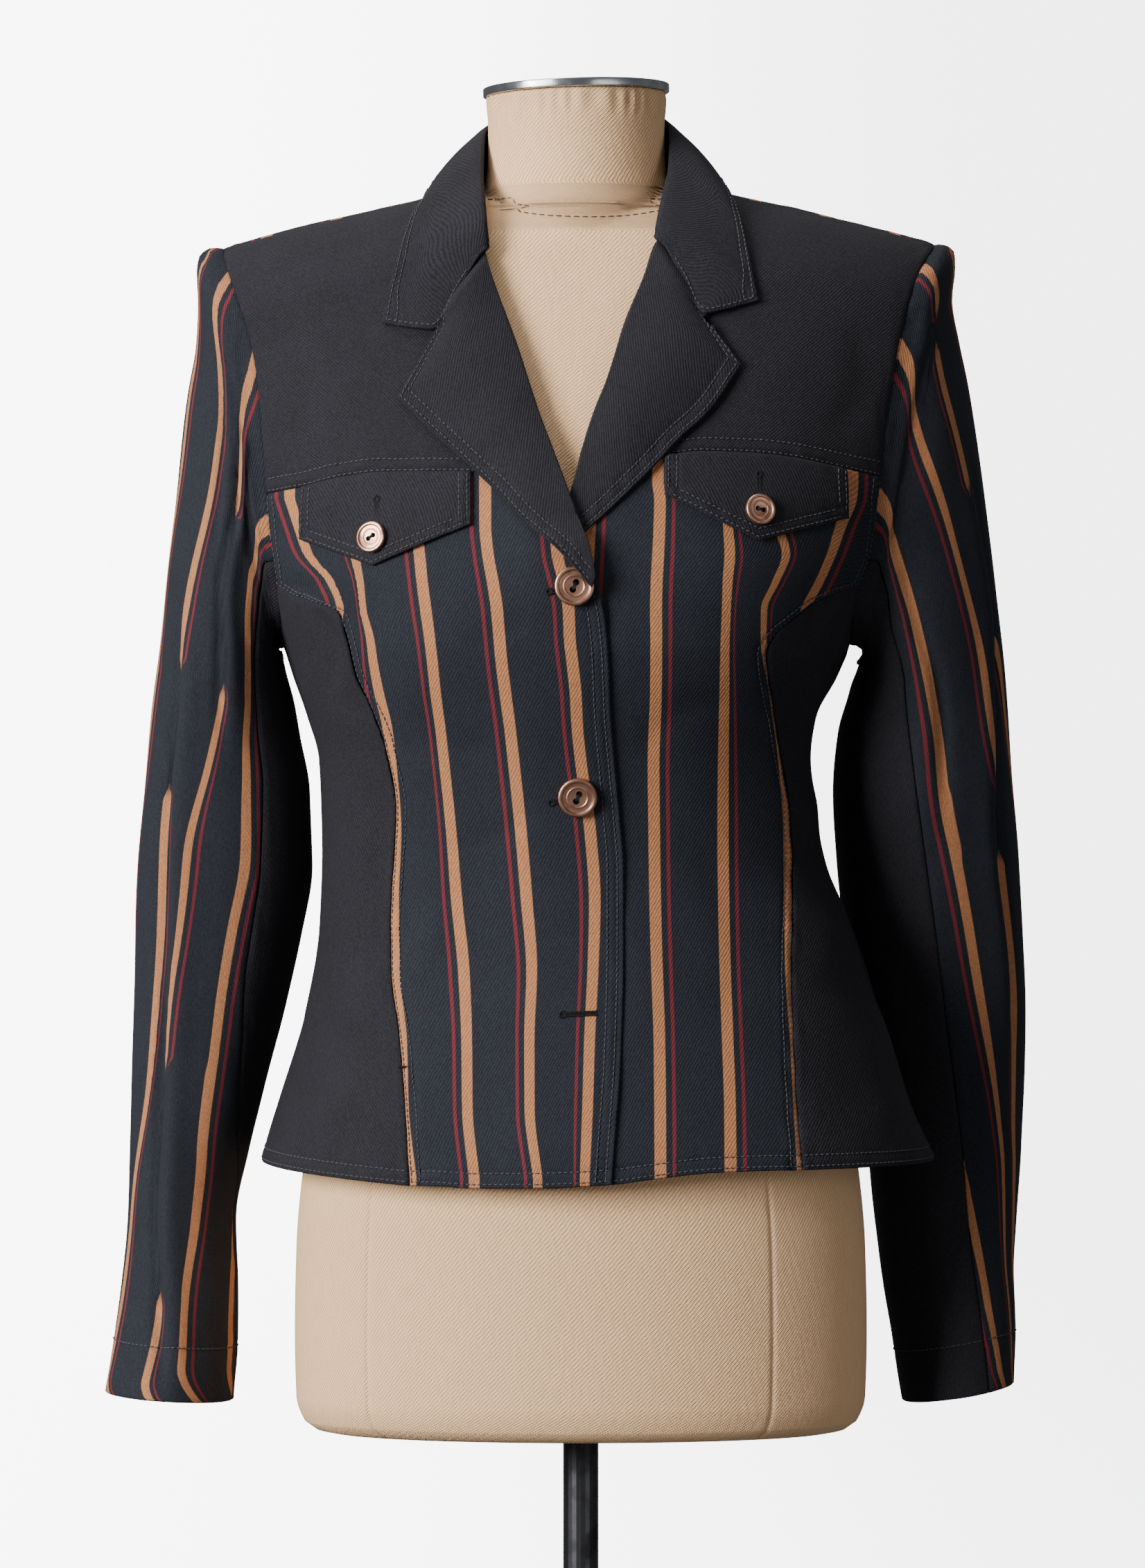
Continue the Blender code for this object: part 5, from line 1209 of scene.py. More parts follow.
@dataclass(frozen=True)
class Weave:
    """The parts of a wool twill that every twill here shares, each a value from 0 to 1."""

    ribs: Shade
    fuzz: Shade
    speck: Shade
    shade: Shade

    @staticmethod
    def of(recipe: Recipe, across: Shade, up: Shade) -> Weave:
        """Fine slanting ribs, fuzz and specks, and the shade that they and a soft bloom add up to."""
        turn = 2 * math.pi / RIB
        waver = recipe.noise(320.0, 2.0) * 4.0
        ribs = (across * turn - up * (turn * RIB_SLANT) + waver).sine() * 0.5 + 0.5
        fuzz = recipe.noise(2400.0, 2.0)
        speck = recipe.noise(820.0, 1.0).step(0.30, 0.72)
        bloom = recipe.noise(38.0, 3.0)
        return Weave(ribs, fuzz, speck, bloom * 0.22 + ribs * 0.30 + fuzz * 0.14 + speck * 0.34)


@dataclass(frozen=True)
class Twill:
    """Plain wool twill: fine slanting ribs, a soft bloom and slightly uneven dye."""

    name: str = "black_twill"
    slot: str = "black_twill"
    colour: tuple[float, float, float] = (0.0044, 0.0042, 0.0056)
    lighter: tuple[float, float, float] = (0.0250, 0.0238, 0.0300)

    def build(self) -> bpy.types.Material:
        """Make the material."""
        recipe = Recipe(self.name)
        weave = Weave.of(recipe, *recipe.uv())
        recipe.set(Base_Color=recipe.blend(weave.shade, self.colour, self.lighter))
        recipe.set(Roughness=0.86 - weave.ribs * 0.10)
        recipe.set(Sheen_Weight=0.020, Sheen_Roughness=0.50, Specular_IOR_Level=0.15)
        recipe.raise_by(weave.ribs * 0.65 + weave.fuzz * 0.35, 0.00026)
        return recipe.material


@dataclass(frozen=True)
class StripedTwill:
    """Navy twill with woven stripes: a tan band and a thin red line beside it."""

    name: str
    red_side: int
    slot: str = "striped_twill"
    ground: tuple[float, float, float] = (0.0052, 0.0060, 0.0086)
    ground_light: tuple[float, float, float] = (0.0240, 0.0268, 0.0350)
    tan: tuple[float, float, float] = (0.540, 0.235, 0.105)
    tan_dark: tuple[float, float, float] = (0.215, 0.082, 0.034)
    red: tuple[float, float, float] = (0.165, 0.0180, 0.0260)
    band_half: float = 0.0035
    red_half: float = 0.00110
    red_offset: float = 0.0083
    soft: float = 0.00025
    red_soft: float = 0.00020
    ply: float = 0.0011

    def build(self) -> bpy.types.Material:
        """Make the material."""
        recipe = Recipe(self.name)
        pattern, up = recipe.uv()
        across = pattern * STRIPE_PITCH
        weave = Weave.of(recipe, across, up)
        thread = recipe.noise(900.0, 1.0, recipe.stretched(across, up, 0.25))
        ragged = (up * (2 * math.pi / self.ply)).sine() * 0.00014 + (weave.fuzz - 0.5) * 0.0006
        place = ((pattern + 0.5).fraction() - 0.5) * STRIPE_PITCH
        band = 1 - (place.size() + ragged).step(self.band_half - self.soft, self.band_half + self.soft)
        beside = (place - self.red_side * self.red_offset).size() + ragged
        line = 1 - beside.step(self.red_half - self.red_soft, self.red_half + self.red_soft)
        ground = recipe.blend(weave.shade, self.ground, self.ground_light)
        tan_share = weave.ribs * 0.45 + thread * 0.35 + weave.speck * 0.25
        tan = recipe.blend(tan_share, self.tan_dark, self.tan)
        shown = 1 - recipe.uv("hidden")[0]
        with_red = recipe.blend(line * shown * (weave.ribs * 0.35 + 0.62), ground, self.red)
        recipe.set(Base_Color=recipe.blend(band * shown * 0.97, with_red, tan))
        recipe.set(Roughness=0.85 - weave.ribs * 0.08)
        recipe.set(Sheen_Weight=0.016, Sheen_Roughness=0.50, Specular_IOR_Level=0.15)
        recipe.raise_by(weave.ribs * 0.60 + weave.fuzz * 0.30 + band * 0.25, 0.00022)
        return recipe.material


@dataclass(frozen=True)
class Thread:
    """Twisted sewing thread."""

    name: str
    slot: str
    colour: tuple[float, float, float]
    roughness: float = 0.55

    def build(self) -> bpy.types.Material:
        """Make the material."""
        recipe = Recipe(self.name)
        twist = recipe.noise(3000.0, 1.0)
        dark = tuple(part * 0.55 for part in self.colour)
        recipe.set(Base_Color=recipe.blend(twist, dark, self.colour), Roughness=self.roughness + twist * 0.15)
        recipe.set(Specular_IOR_Level=0.22)
        recipe.raise_by(twist, 0.0001)
        return recipe.material


@dataclass(frozen=True)
class Canvas:
    """Tan linen canvas: single threads that cross, light and brown."""

    name: str = "tan_canvas"
    slot: str = "tan_canvas"
    light: tuple[float, float, float] = (1.000, 0.700, 0.420)
    middle: tuple[float, float, float] = (0.960, 0.620, 0.340)
    dark: tuple[float, float, float] = (0.450, 0.210, 0.085)
    thread: float = 0.00135

    def build(self) -> bpy.types.Material:
        """Make the material."""
        recipe = Recipe(self.name)
        across, up = recipe.uv()
        turn = 2 * math.pi / self.thread
        sway = recipe.noise(90.0, 2.0) * 1.6
        warp = (across * turn + sway).sine()
        weft = (up * turn + sway).sine()
        slant = ((across + up * 0.75) * (turn / 1.6) + sway).sine()
        cross = warp * weft * 0.5 + 0.5
        slub = recipe.noise(700.0, 2.0, recipe.stretched(across, up, 0.12))
        slub_up = recipe.noise(700.0, 2.0, recipe.stretched(up, across, 0.12))
        stain = recipe.noise(9.0, 3.0)
        depth = cross * 0.45 + (slant * 0.5 + 0.5) * 0.35 + slub * 0.2
        base = recipe.blend(slub_up * 0.5 + stain * 0.5, self.light, self.middle)
        between = (1 - depth).step(0.25, 0.95)
        recipe.set(Base_Color=recipe.blend(between, base, self.dark), Roughness=0.92 - cross * 0.08)
        recipe.set(Sheen_Weight=0.04, Specular_IOR_Level=0.20)
        recipe.raise_by(depth, 0.00045)
        return recipe.material


@dataclass(frozen=True)
class Metal:
    """A metal with fine scratches and a tarnish that dulls it unevenly; on the bright plate the darker
    blotches are also painted dark reflections.
    """

    name: str
    slot: str
    colour: tuple[float, float, float]
    dull_and_dark_reflection: tuple[float, float, float]
    roughness: float
    spread: float
    grain: float = 260.0
    relief: float = 0.00002
    metallic: float = 1.0

    def build(self) -> bpy.types.Material:
        """Make the material."""
        recipe = Recipe(self.name)
        # Darker blotches: tarnish, and on the bright plate also painted dark reflections
        film_and_reflection = recipe.noise(self.grain * 0.25, 4.0)
        fine = recipe.noise(self.grain * 6, 3.0)
        share = film_and_reflection.step(0.40, 0.66) * 0.7 + fine * 0.3
        recipe.set(Base_Color=recipe.blend(share, self.colour, self.dull_and_dark_reflection))
        recipe.set(Roughness=share * self.spread + self.roughness, Metallic=self.metallic)
        recipe.raise_by(fine * 0.6 + film_and_reflection * 0.4, self.relief)
        return recipe.material


@dataclass(frozen=True)
class Paper:
    """Matt pale paper for the floor and the wall behind, which glows brighter at the left than at the right:
    painted light falling from the left.
    """

    name: str
    colour: tuple[float, float, float]
    # Glow colours at the left and at the right: the fade between them is painted light falling from the left
    left: tuple[float, float, float]
    right: tuple[float, float, float]
    glow: float
    painted_light_fade_half: float = 1.10

    def build(self) -> bpy.types.Material:
        """Make the material."""
        recipe = Recipe(self.name)
        place = recipe.node("ShaderNodeTexCoord").outputs["Object"]
        parts = recipe.node("ShaderNodeSeparateXYZ", None, {0: place})
        # Painted light: the glow fades from the left colour to the right one across the middle
        across = Shade(recipe, parts.outputs[0]).step(-self.painted_light_fade_half, self.painted_light_fade_half)
        recipe.set(Emission_Color=recipe.blend(across, self.left, self.right), Emission_Strength=self.glow)
        grain = recipe.noise(30.0, 4.0)
        darker = tuple(part * 0.985 for part in self.colour)
        recipe.set(Base_Color=recipe.blend(grain, self.colour, darker), Roughness=0.9, Specular_IOR_Level=0.2)
        return recipe.material


class Finish(Enum):
    """Every finish on the object."""

    BLACK = Twill()
    STRIPED_RED_NEAR = StripedTwill("striped_twill", -1)
    STRIPED_RED_FAR = StripedTwill("striped_twill_turned", 1)
    # The topstitching thread is grey, lighter than the black cloth: its colour is painted sheen of stitches
    # catching the light
    THREAD = Thread("black_thread", "black_twill", (0.070, 0.070, 0.080))
    BUTTON_THREAD = Thread("dark_button_thread", "black_twill", (0.010, 0.009, 0.010))
    CANVAS = Canvas()
    CANVAS_THREAD = Thread("brown_thread", "tan_canvas", (0.115, 0.058, 0.036))
    # The plate's darker blotches are partly tarnish and partly painted dark reflections
    PLATE = Metal("bright_plate", "bright_plate", (0.62, 0.64, 0.66), (0.30, 0.31, 0.32), 0.16, 0.22)
    STEEL = Metal("dark_steel", "dark_steel", (0.075, 0.075, 0.080), (0.028, 0.028, 0.030), 0.34, 0.20)
    IRON = Metal(
        "dark_iron", "dark_iron", (0.050, 0.050, 0.053), (0.020, 0.020, 0.021), 0.48, 0.22, 120.0, 0.00018
    )
    COPPER = Metal(
        "aged_copper", "aged_copper", (0.60, 0.330, 0.225), (0.150, 0.070, 0.048), 0.32, 0.28, 420.0, 0.00004
    )


@dataclass
class Wardrobe:
    """The materials, each built once, and the pieces that use them."""

    built: dict[Finish, bpy.types.Material] = field(default_factory=dict)

    def material(self, finish: Finish) -> bpy.types.Material:
        """The material of a finish."""
        if finish not in self.built:
            self.built[finish] = finish.value.build()
        return self.built[finish]

    def dress(self, piece: bpy.types.Object, finish: Finish) -> None:
        """Give a piece its finish."""
        piece.data.materials.clear()
        piece.data.materials.append(self.material(finish))


WARDROBE = Wardrobe()


def add_map(mesh: bpy.types.Mesh, name: str, values: Array) -> None:
    """Give a mesh a UV map, from a pair for each point."""
    layer = mesh.uv_layers.new(name=name)
    corners = np.zeros(len(mesh.loops), dtype=np.int32)
    mesh.loops.foreach_get("vertex_index", corners)
    layer.data.foreach_set("uv", np.asarray(values, float)[corners].ravel())


def add_mesh(name: str, points: Array, faces: Sequence, uv: Array | None = None) -> bpy.types.Object:
    """A smooth mesh object from points and faces.

    Args:
        name: the object's name.
        points: the points, one to a row.
        faces: the faces, as rows of point numbers.
        uv: a pair for each point, for the cloth's own map.

    Returns:
        The object.
    """
    mesh = bpy.data.meshes.new(name)
    corners = faces.tolist() if isinstance(faces, np.ndarray) else list(faces)
    mesh.from_pydata(np.asarray(points).tolist(), [], corners)
    mesh.update()
    if uv is not None:
        add_map(mesh, "cloth", uv)
    mesh.shade_smooth()
    piece = bpy.data.objects.new(name, mesh)
    bpy.context.scene.collection.objects.link(piece)
    return piece


def border_inward(grid: Array) -> Array:
    """Directions in the cloth, from each border point towards the inside, and nothing elsewhere."""
    inward = np.zeros_like(grid)
    across, up = np.gradient(grid, axis=1), np.gradient(grid, axis=0)
    for line, step, tangent in (
        (np.s_[0, :], grid[1] - grid[0], across[0]),
        (np.s_[-1, :], grid[-2] - grid[-1], across[-1]),
        (np.s_[:, 0], grid[:, 1] - grid[:, 0], up[:, 0]),
        (np.s_[:, -1], grid[:, -2] - grid[:, -1], up[:, -1]),
    ):
        tangent = unit(tangent)
        step = step - tangent * np.sum(step * tangent, axis=-1, keepdims=True)
        inward[line] += unit(step)
    return inward


def add_cloth(
    panel: Panel, finish: Finish, uv: Array | None = None, thickness: float = CLOTH, mask: Array | None = None
) -> bpy.types.Object:
    """A thin closed wall of cloth with rounded edges, its outer face on the panel's grid.

    Args:
        panel: the grid of the outer face.
        finish: what it is made of.
        uv: the cloth's own map, a pair for each point of the grid.
        thickness: how thick the cloth is.
        mask: how far a band is hidden in a fold, from 0 to 1, for each point of the grid.

    Returns:
        The object.
    """
    if uv is None:
        uv = np.stack([panel.across, panel.up], axis=-1)
    rows, steps = panel.grid.shape[:2]
    inward = border_inward(panel.grid)
    outer = panel.grid + inward * CLOTH_EDGE
    inner = outer - panel.outward * thickness
    count = rows * steps
    index = np.arange(count).reshape(rows, steps)
    quads = np.stack([index[:-1, :-1], index[:-1, 1:], index[1:, 1:], index[1:, :-1]], axis=-1).reshape(-1, 4)
    first = outer.reshape(-1, 3)
    sample = quads[len(quads) // 2]
    facing = np.cross(first[sample[1]] - first[sample[0]], first[sample[3]] - first[sample[0]])
    if np.dot(facing, panel.outward.reshape(-1, 3)[sample[0]]) < 0:
        quads = quads[:, ::-1]
    ring = np.concatenate([index[0, :-1], index[:-1, -1], index[-1, :0:-1], index[:0:-1, 0]])
    rim_out = (outer + inner) / 2 - inward * (CLOTH_EDGE * 1.25)
    rim_points = rim_out.reshape(-1, 3)[ring]
    rim_index = 2 * count + np.arange(len(ring))
    after = np.roll(ring, -1)
    rim_after = np.roll(rim_index, -1)
    edges = np.stack([quads, np.roll(quads, -1, axis=1)], axis=-1).reshape(-1, 2)
    if np.any((edges[:, 0] == ring[0]) & (edges[:, 1] == after[0])):
        ring_a, ring_b, rim_a, rim_b = after, ring, rim_after, rim_index
    else:
        ring_a, ring_b, rim_a, rim_b = ring, after, rim_index, rim_after
    faces = [
        quads,
        quads[:, ::-1] + count,
        np.stack([ring_a, ring_b, rim_b, rim_a], axis=-1),
        np.stack([rim_a, rim_b, ring_b + count, ring_a + count], axis=-1),
    ]
    points = np.concatenate([first, inner.reshape(-1, 3), rim_points])
    flat = uv.reshape(-1, 2)
    piece = add_mesh(panel.name, points, np.concatenate(faces), np.concatenate([flat, flat, flat[ring]]))
    hidden = np.zeros(count) if mask is None else mask.ravel()
    add_map(piece.data, "hidden", stack(np.concatenate([hidden, hidden, hidden[ring]]), 0.0))
    WARDROBE.dress(piece, finish)
    return piece


def seam_relief(panel: Panel, seams: Sequence[str], rows: Sequence[tuple[str, float]] = ()) -> Array:
    """How far the cloth dips along its seams and topstitching, and puckers beside them.

    Args:
        panel: the piece.
        seams: the borders that are sewn.
        rows: borders and distances from them where topstitching runs.

    Returns:
        A lift for each point, mostly below zero.
    """
    lift = np.zeros(panel.grid.shape[:2])
    pucker = soft_noise(panel.grid, 0.009, 5)
    for border in seams:
        away = panel.distance(border)
        lift -= SEAM_DEPTH * bump(away, SEAM_WIDTH)
        lift += SEAM_PUCKER * pucker * bump(away - 0.004, 0.006)
    for border, offset, *_ in rows:
        away = panel.distance(border)
        lift -= ROW_DEPTH * bump(away - offset, ROW_WIDTH)
        lift += ROW_PUCKER * pucker * bump(away - offset, 0.005)
    return lift


def settled_lines(places: Array, given: Array, rows: Array, pitch: Array) -> Array:
    """Lines that pass where they were seen, and elsewhere run on smoothly and evenly spaced.

    Args:
        places: where each line was seen at each row, rows by lines.
        given: one where a line was seen, else zero.
        rows: the rows of the grid.
        pitch: the spacing of the lines at each row.

    Returns:
        A place for each row and line.
    """
    index = np.arange(places.size).reshape(places.shape)
    matrix, target = np.zeros((places.size, places.size)), np.zeros(places.size)
    step = float(np.mean(np.diff(rows)))

    def ask(
        members: list[Array], factors: list[float], value: Array | float, strength: Array | float
    ) -> None:
        """Ask for a weighted sum of neighbours to come to a value."""
        for one, factor in zip(members, factors):
            np.add.at(target, one, strength * factor * value + np.zeros(one.shape))
            for other, other_factor in zip(members, factors):
                np.add.at(matrix, (one, other), strength * factor * other_factor + np.zeros(one.shape))

    ask([index], [1.0], places, LINE_HOLD * step * given)
    ask([index[:-2], index[1:-1], index[2:]], [1.0, -2.0, 1.0], 0.0, LINE_STIFFNESS / step ** 3)
    ask([index[:, 1:], index[:, :-1]], [1.0, -1.0], pitch[:, None], step)
    return np.linalg.solve(matrix, target).reshape(places.shape)


def crease_lift(panel: Panel) -> Array:
    """How far the cloth of the body stands out or falls in at its soft creases, and sways between them."""
    at_front = panel.grid[..., 1] < 0
    sewn_down = np.minimum.reduce([panel.distance(border) for border in ("start", "end", "top")])
    lift = SWAY * soft_noise(panel.grid * np.array([1.0, 1.0, 0.55]), SWAY_SIZE, 11)
    for table, x, z, here in (
        (FRONT_CREASES, *seen(panel.grid), at_front),
        (BACK_CREASES, panel.grid[..., 0], panel.grid[..., 2], ~at_front),
    ):
        for from_x, from_z, to_x, to_z, rise, width in table:
            span = math.hypot(to_x - from_x, to_z - from_z)
            way_x, way_z = (to_x - from_x) / span, (to_z - from_z) / span
            reach = ((x - from_x) * way_x + (z - from_z) * way_z) / span
            bend = CREASE_BEND * span * np.sin(math.pi * np.clip(reach, 0, 1))
            away = (x - from_x) * way_z - (z - from_z) * way_x + bend
            fade = ease(reach / 0.25 + 0.4) * ease((1 - reach) / 0.35 + 0.4)
            lift += np.where(here, CREASE_GAIN * rise * bump(away, width) * fade, 0.0)
    return lift * ease(sewn_down / CREASE_FREE)


@dataclass
class Stitching:
    """Rows of small raised stitches on the cloth, one mesh for each piece of cloth."""

    name: str
    finish: Finish = Finish.THREAD
    pitch: float = 0.0034
    length: float = 0.0026
    radius: float = 0.00038
    sides: int = 5
    blocks: list[Array] = field(default_factory=list)

    def lay(
        self, middles: Array, ways: Array, normals: Array, length: float = 0.0, radius: float = 0.0
    ) -> None:
        """Lay single stitches.

        Args:
            middles: the middle of each stitch on the cloth.
            ways: the direction that each runs in.
            normals: the directions out of the cloth.
            length: how long a stitch is, if not as usual.
            radius: how thick its thread is, if not as usual.
        """
        length, radius = length or self.length, radius or self.radius
        ways = unit(ways - normals * np.sum(ways * normals, axis=-1, keepdims=True))
        aside = np.cross(ways, normals)
        rings = []
        for place, size, rise in STITCH_RINGS:
            for k in range(self.sides):
                turn = 2 * math.pi * (k + 0.5) / self.sides
                up = (math.sin(turn) * size + rise) * radius
                rings.append((place * length, math.cos(turn) * size * radius, up))
        rings = np.array(rings)
        shape = (
            middles[:, None] + ways[:, None] * rings[None, :, :1] + aside[:, None] * rings[None, :, 1:2]
            + normals[:, None] * (rings[None, :, 2:] + radius * 0.4)
        )
        self.blocks.append(shape)

    def row(self, line: tuple[Array, Array], lift: float = 0.0) -> None:
        """Sew one row along a line.

        Args:
            line: points on the cloth and the directions out of it.
            lift: how far above the line the cloth is.
        """
        points, normals = line
        if len(points) < 3:
            return
        lengths = along(points)
        at = np.arange(self.pitch, lengths[-1] - self.pitch / 2, self.pitch)
        if len(at) == 0:
            return
        middles, before, after = (
            sampled(points, lengths, at + shift) for shift in (0.0, -self.length / 2, self.length / 2)
        )
        out = unit(sampled(normals, lengths, at))
        self.lay(middles + out * lift, after - before, out)

    def satin(self, line: tuple[Array, Array], width: float, spacing: float, aside: float = 0.0) -> None:
        """Sew close stitches across a line, as on a buttonhole or a bar tack.

        Args:
            line: points on the cloth and the directions out of it.
            width: how long the stitches are.
            spacing: how far apart they are.
            aside: how far their middles are from the line.
        """
        points, normals = line
        lengths = along(points)
        at = np.arange(spacing / 2, lengths[-1], spacing)
        middles, before, after = (
            sampled(points, lengths, at + shift) for shift in (0.0, -spacing, spacing)
        )
        out = unit(sampled(normals, lengths, at))
        across = unit(np.cross(after - before, out))
        self.lay(middles + across * aside, across, out, width, spacing * 0.46)

    def build(self) -> bpy.types.Object:
        """Make one mesh of all the stitches, and let it ride on the object."""
        shapes = np.concatenate(self.blocks)
        count, size = shapes.shape[:2]
        corner = np.arange(self.sides)
        after = np.roll(corner, -1)
        rings = size // self.sides
        quads = np.concatenate([
            np.stack([corner, after, after + self.sides, corner + self.sides], axis=-1) + k * self.sides
            for k in range(rings - 1)
        ])
        bases = np.arange(count)[:, None, None] * size
        faces = (quads[None] + bases).reshape(-1, 4).tolist()
        caps = np.stack([corner[::-1], corner + size - self.sides])
        faces += (caps[None] + bases).reshape(-1, self.sides).tolist()
        piece = add_mesh(self.name, shapes.reshape(-1, 3), faces)
        WARDROBE.dress(piece, self.finish)
        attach(piece, BODY_NAME)
        return piece


def on_body(across: float, height: float) -> tuple[float, float]:
    """The real distance across and height of a place on the front that the camera sees.

    Args:
        across: the distance across as the camera sees it.
        height: the height as the camera sees it.

    Returns:
        The distance across and the height.
    """
    x, z = across, height
    for _ in range(5):
        near = CAMERA_DISTANCE / (CAMERA_DISTANCE + float(SURFACE.at(x, z, -1)[1]))
        x = CAMERA_PLACE[0] + (across - CAMERA_PLACE[0]) / near
        z = CAMERA_PLACE[2] + (height - CAMERA_PLACE[2]) / near
    return x, z


@dataclass
class Buttonhole:
    """A slit edged with close stitches, and a round eye at its outer end."""

    start: tuple[float, float]
    end: tuple[float, float]
    lift: float
    on_lap: bool = False
    width: float = 0.0015
    spacing: float = 0.00048
    eye: float = 0.0011
    core: float = 0.00022

    def line(self, first: Array, last: Array) -> tuple[Array, Array]:
        """A line on the cloth between two places."""
        places = mix(first, last, np.linspace(0, 1, 12)[:, None])
        points = SURFACE.at(places[:, 0], places[:, 1], -1)
        normals = SURFACE.normal(points)
        lift = self.lift
        if self.on_lap:
            lift = (lap_lift(places[:, 0], places[:, 1]) + self.lift)[:, None]
        return points + normals * lift, normals

    def sew(self, threads: Stitching) -> None:
        """Add its stitches to the others of the piece."""
        first, last = np.array(on_body(*self.start)), np.array(on_body(*self.end))
        slit = self.line(first, last)
        for way in (-1, 1):
            threads.satin(slit, self.width, self.spacing, way * self.width * 0.62)
        threads.lay(*self.slit_core(slit))
        turn = np.linspace(0, 2 * math.pi, 15)
        middle, normal = slit[0][0], slit[1][0]
        way = unit(slit[0][-1] - slit[0][0])
        other = np.cross(way, normal)
        ring = way * np.cos(turn)[:, None] + other * np.sin(turn)[:, None]
        ring = middle + ring * (self.eye + self.width * 0.4)
        threads.satin((ring, np.broadcast_to(normal, ring.shape)), self.width, self.spacing * 1.3)

    def slit_core(self, slit: tuple[Array, Array]) -> tuple[Array, Array, Array, float, float]:
        """The thread that lies in the slit."""
        points, normals = slit
        middle, way = points.mean(axis=0), points[-1] - points[0]
        return middle[None], way[None], normals.mean(axis=0)[None], float(np.linalg.norm(way)), self.core


def sewn(name: str, panel: Panel, rows: Sequence[tuple], keep: Sequence[str] = ()) -> Stitching:
    """Rows of stitches beside the borders of a piece of cloth.

    Args:
        name: the name of the stitches.
        panel: the cloth.
        rows: borders, how far from them each row runs, and perhaps where along the border it starts and ends.
        keep: borders that the rows stay as far away from, where they turn a corner.

    Returns:
        The stitching, to which more can be added.
    """
    threads = Stitching(name)
    for border, offset, *span in rows:
        threads.row(panel.line_beside(border, offset, *span, keep=keep), THREAD_LIFT)
    return threads


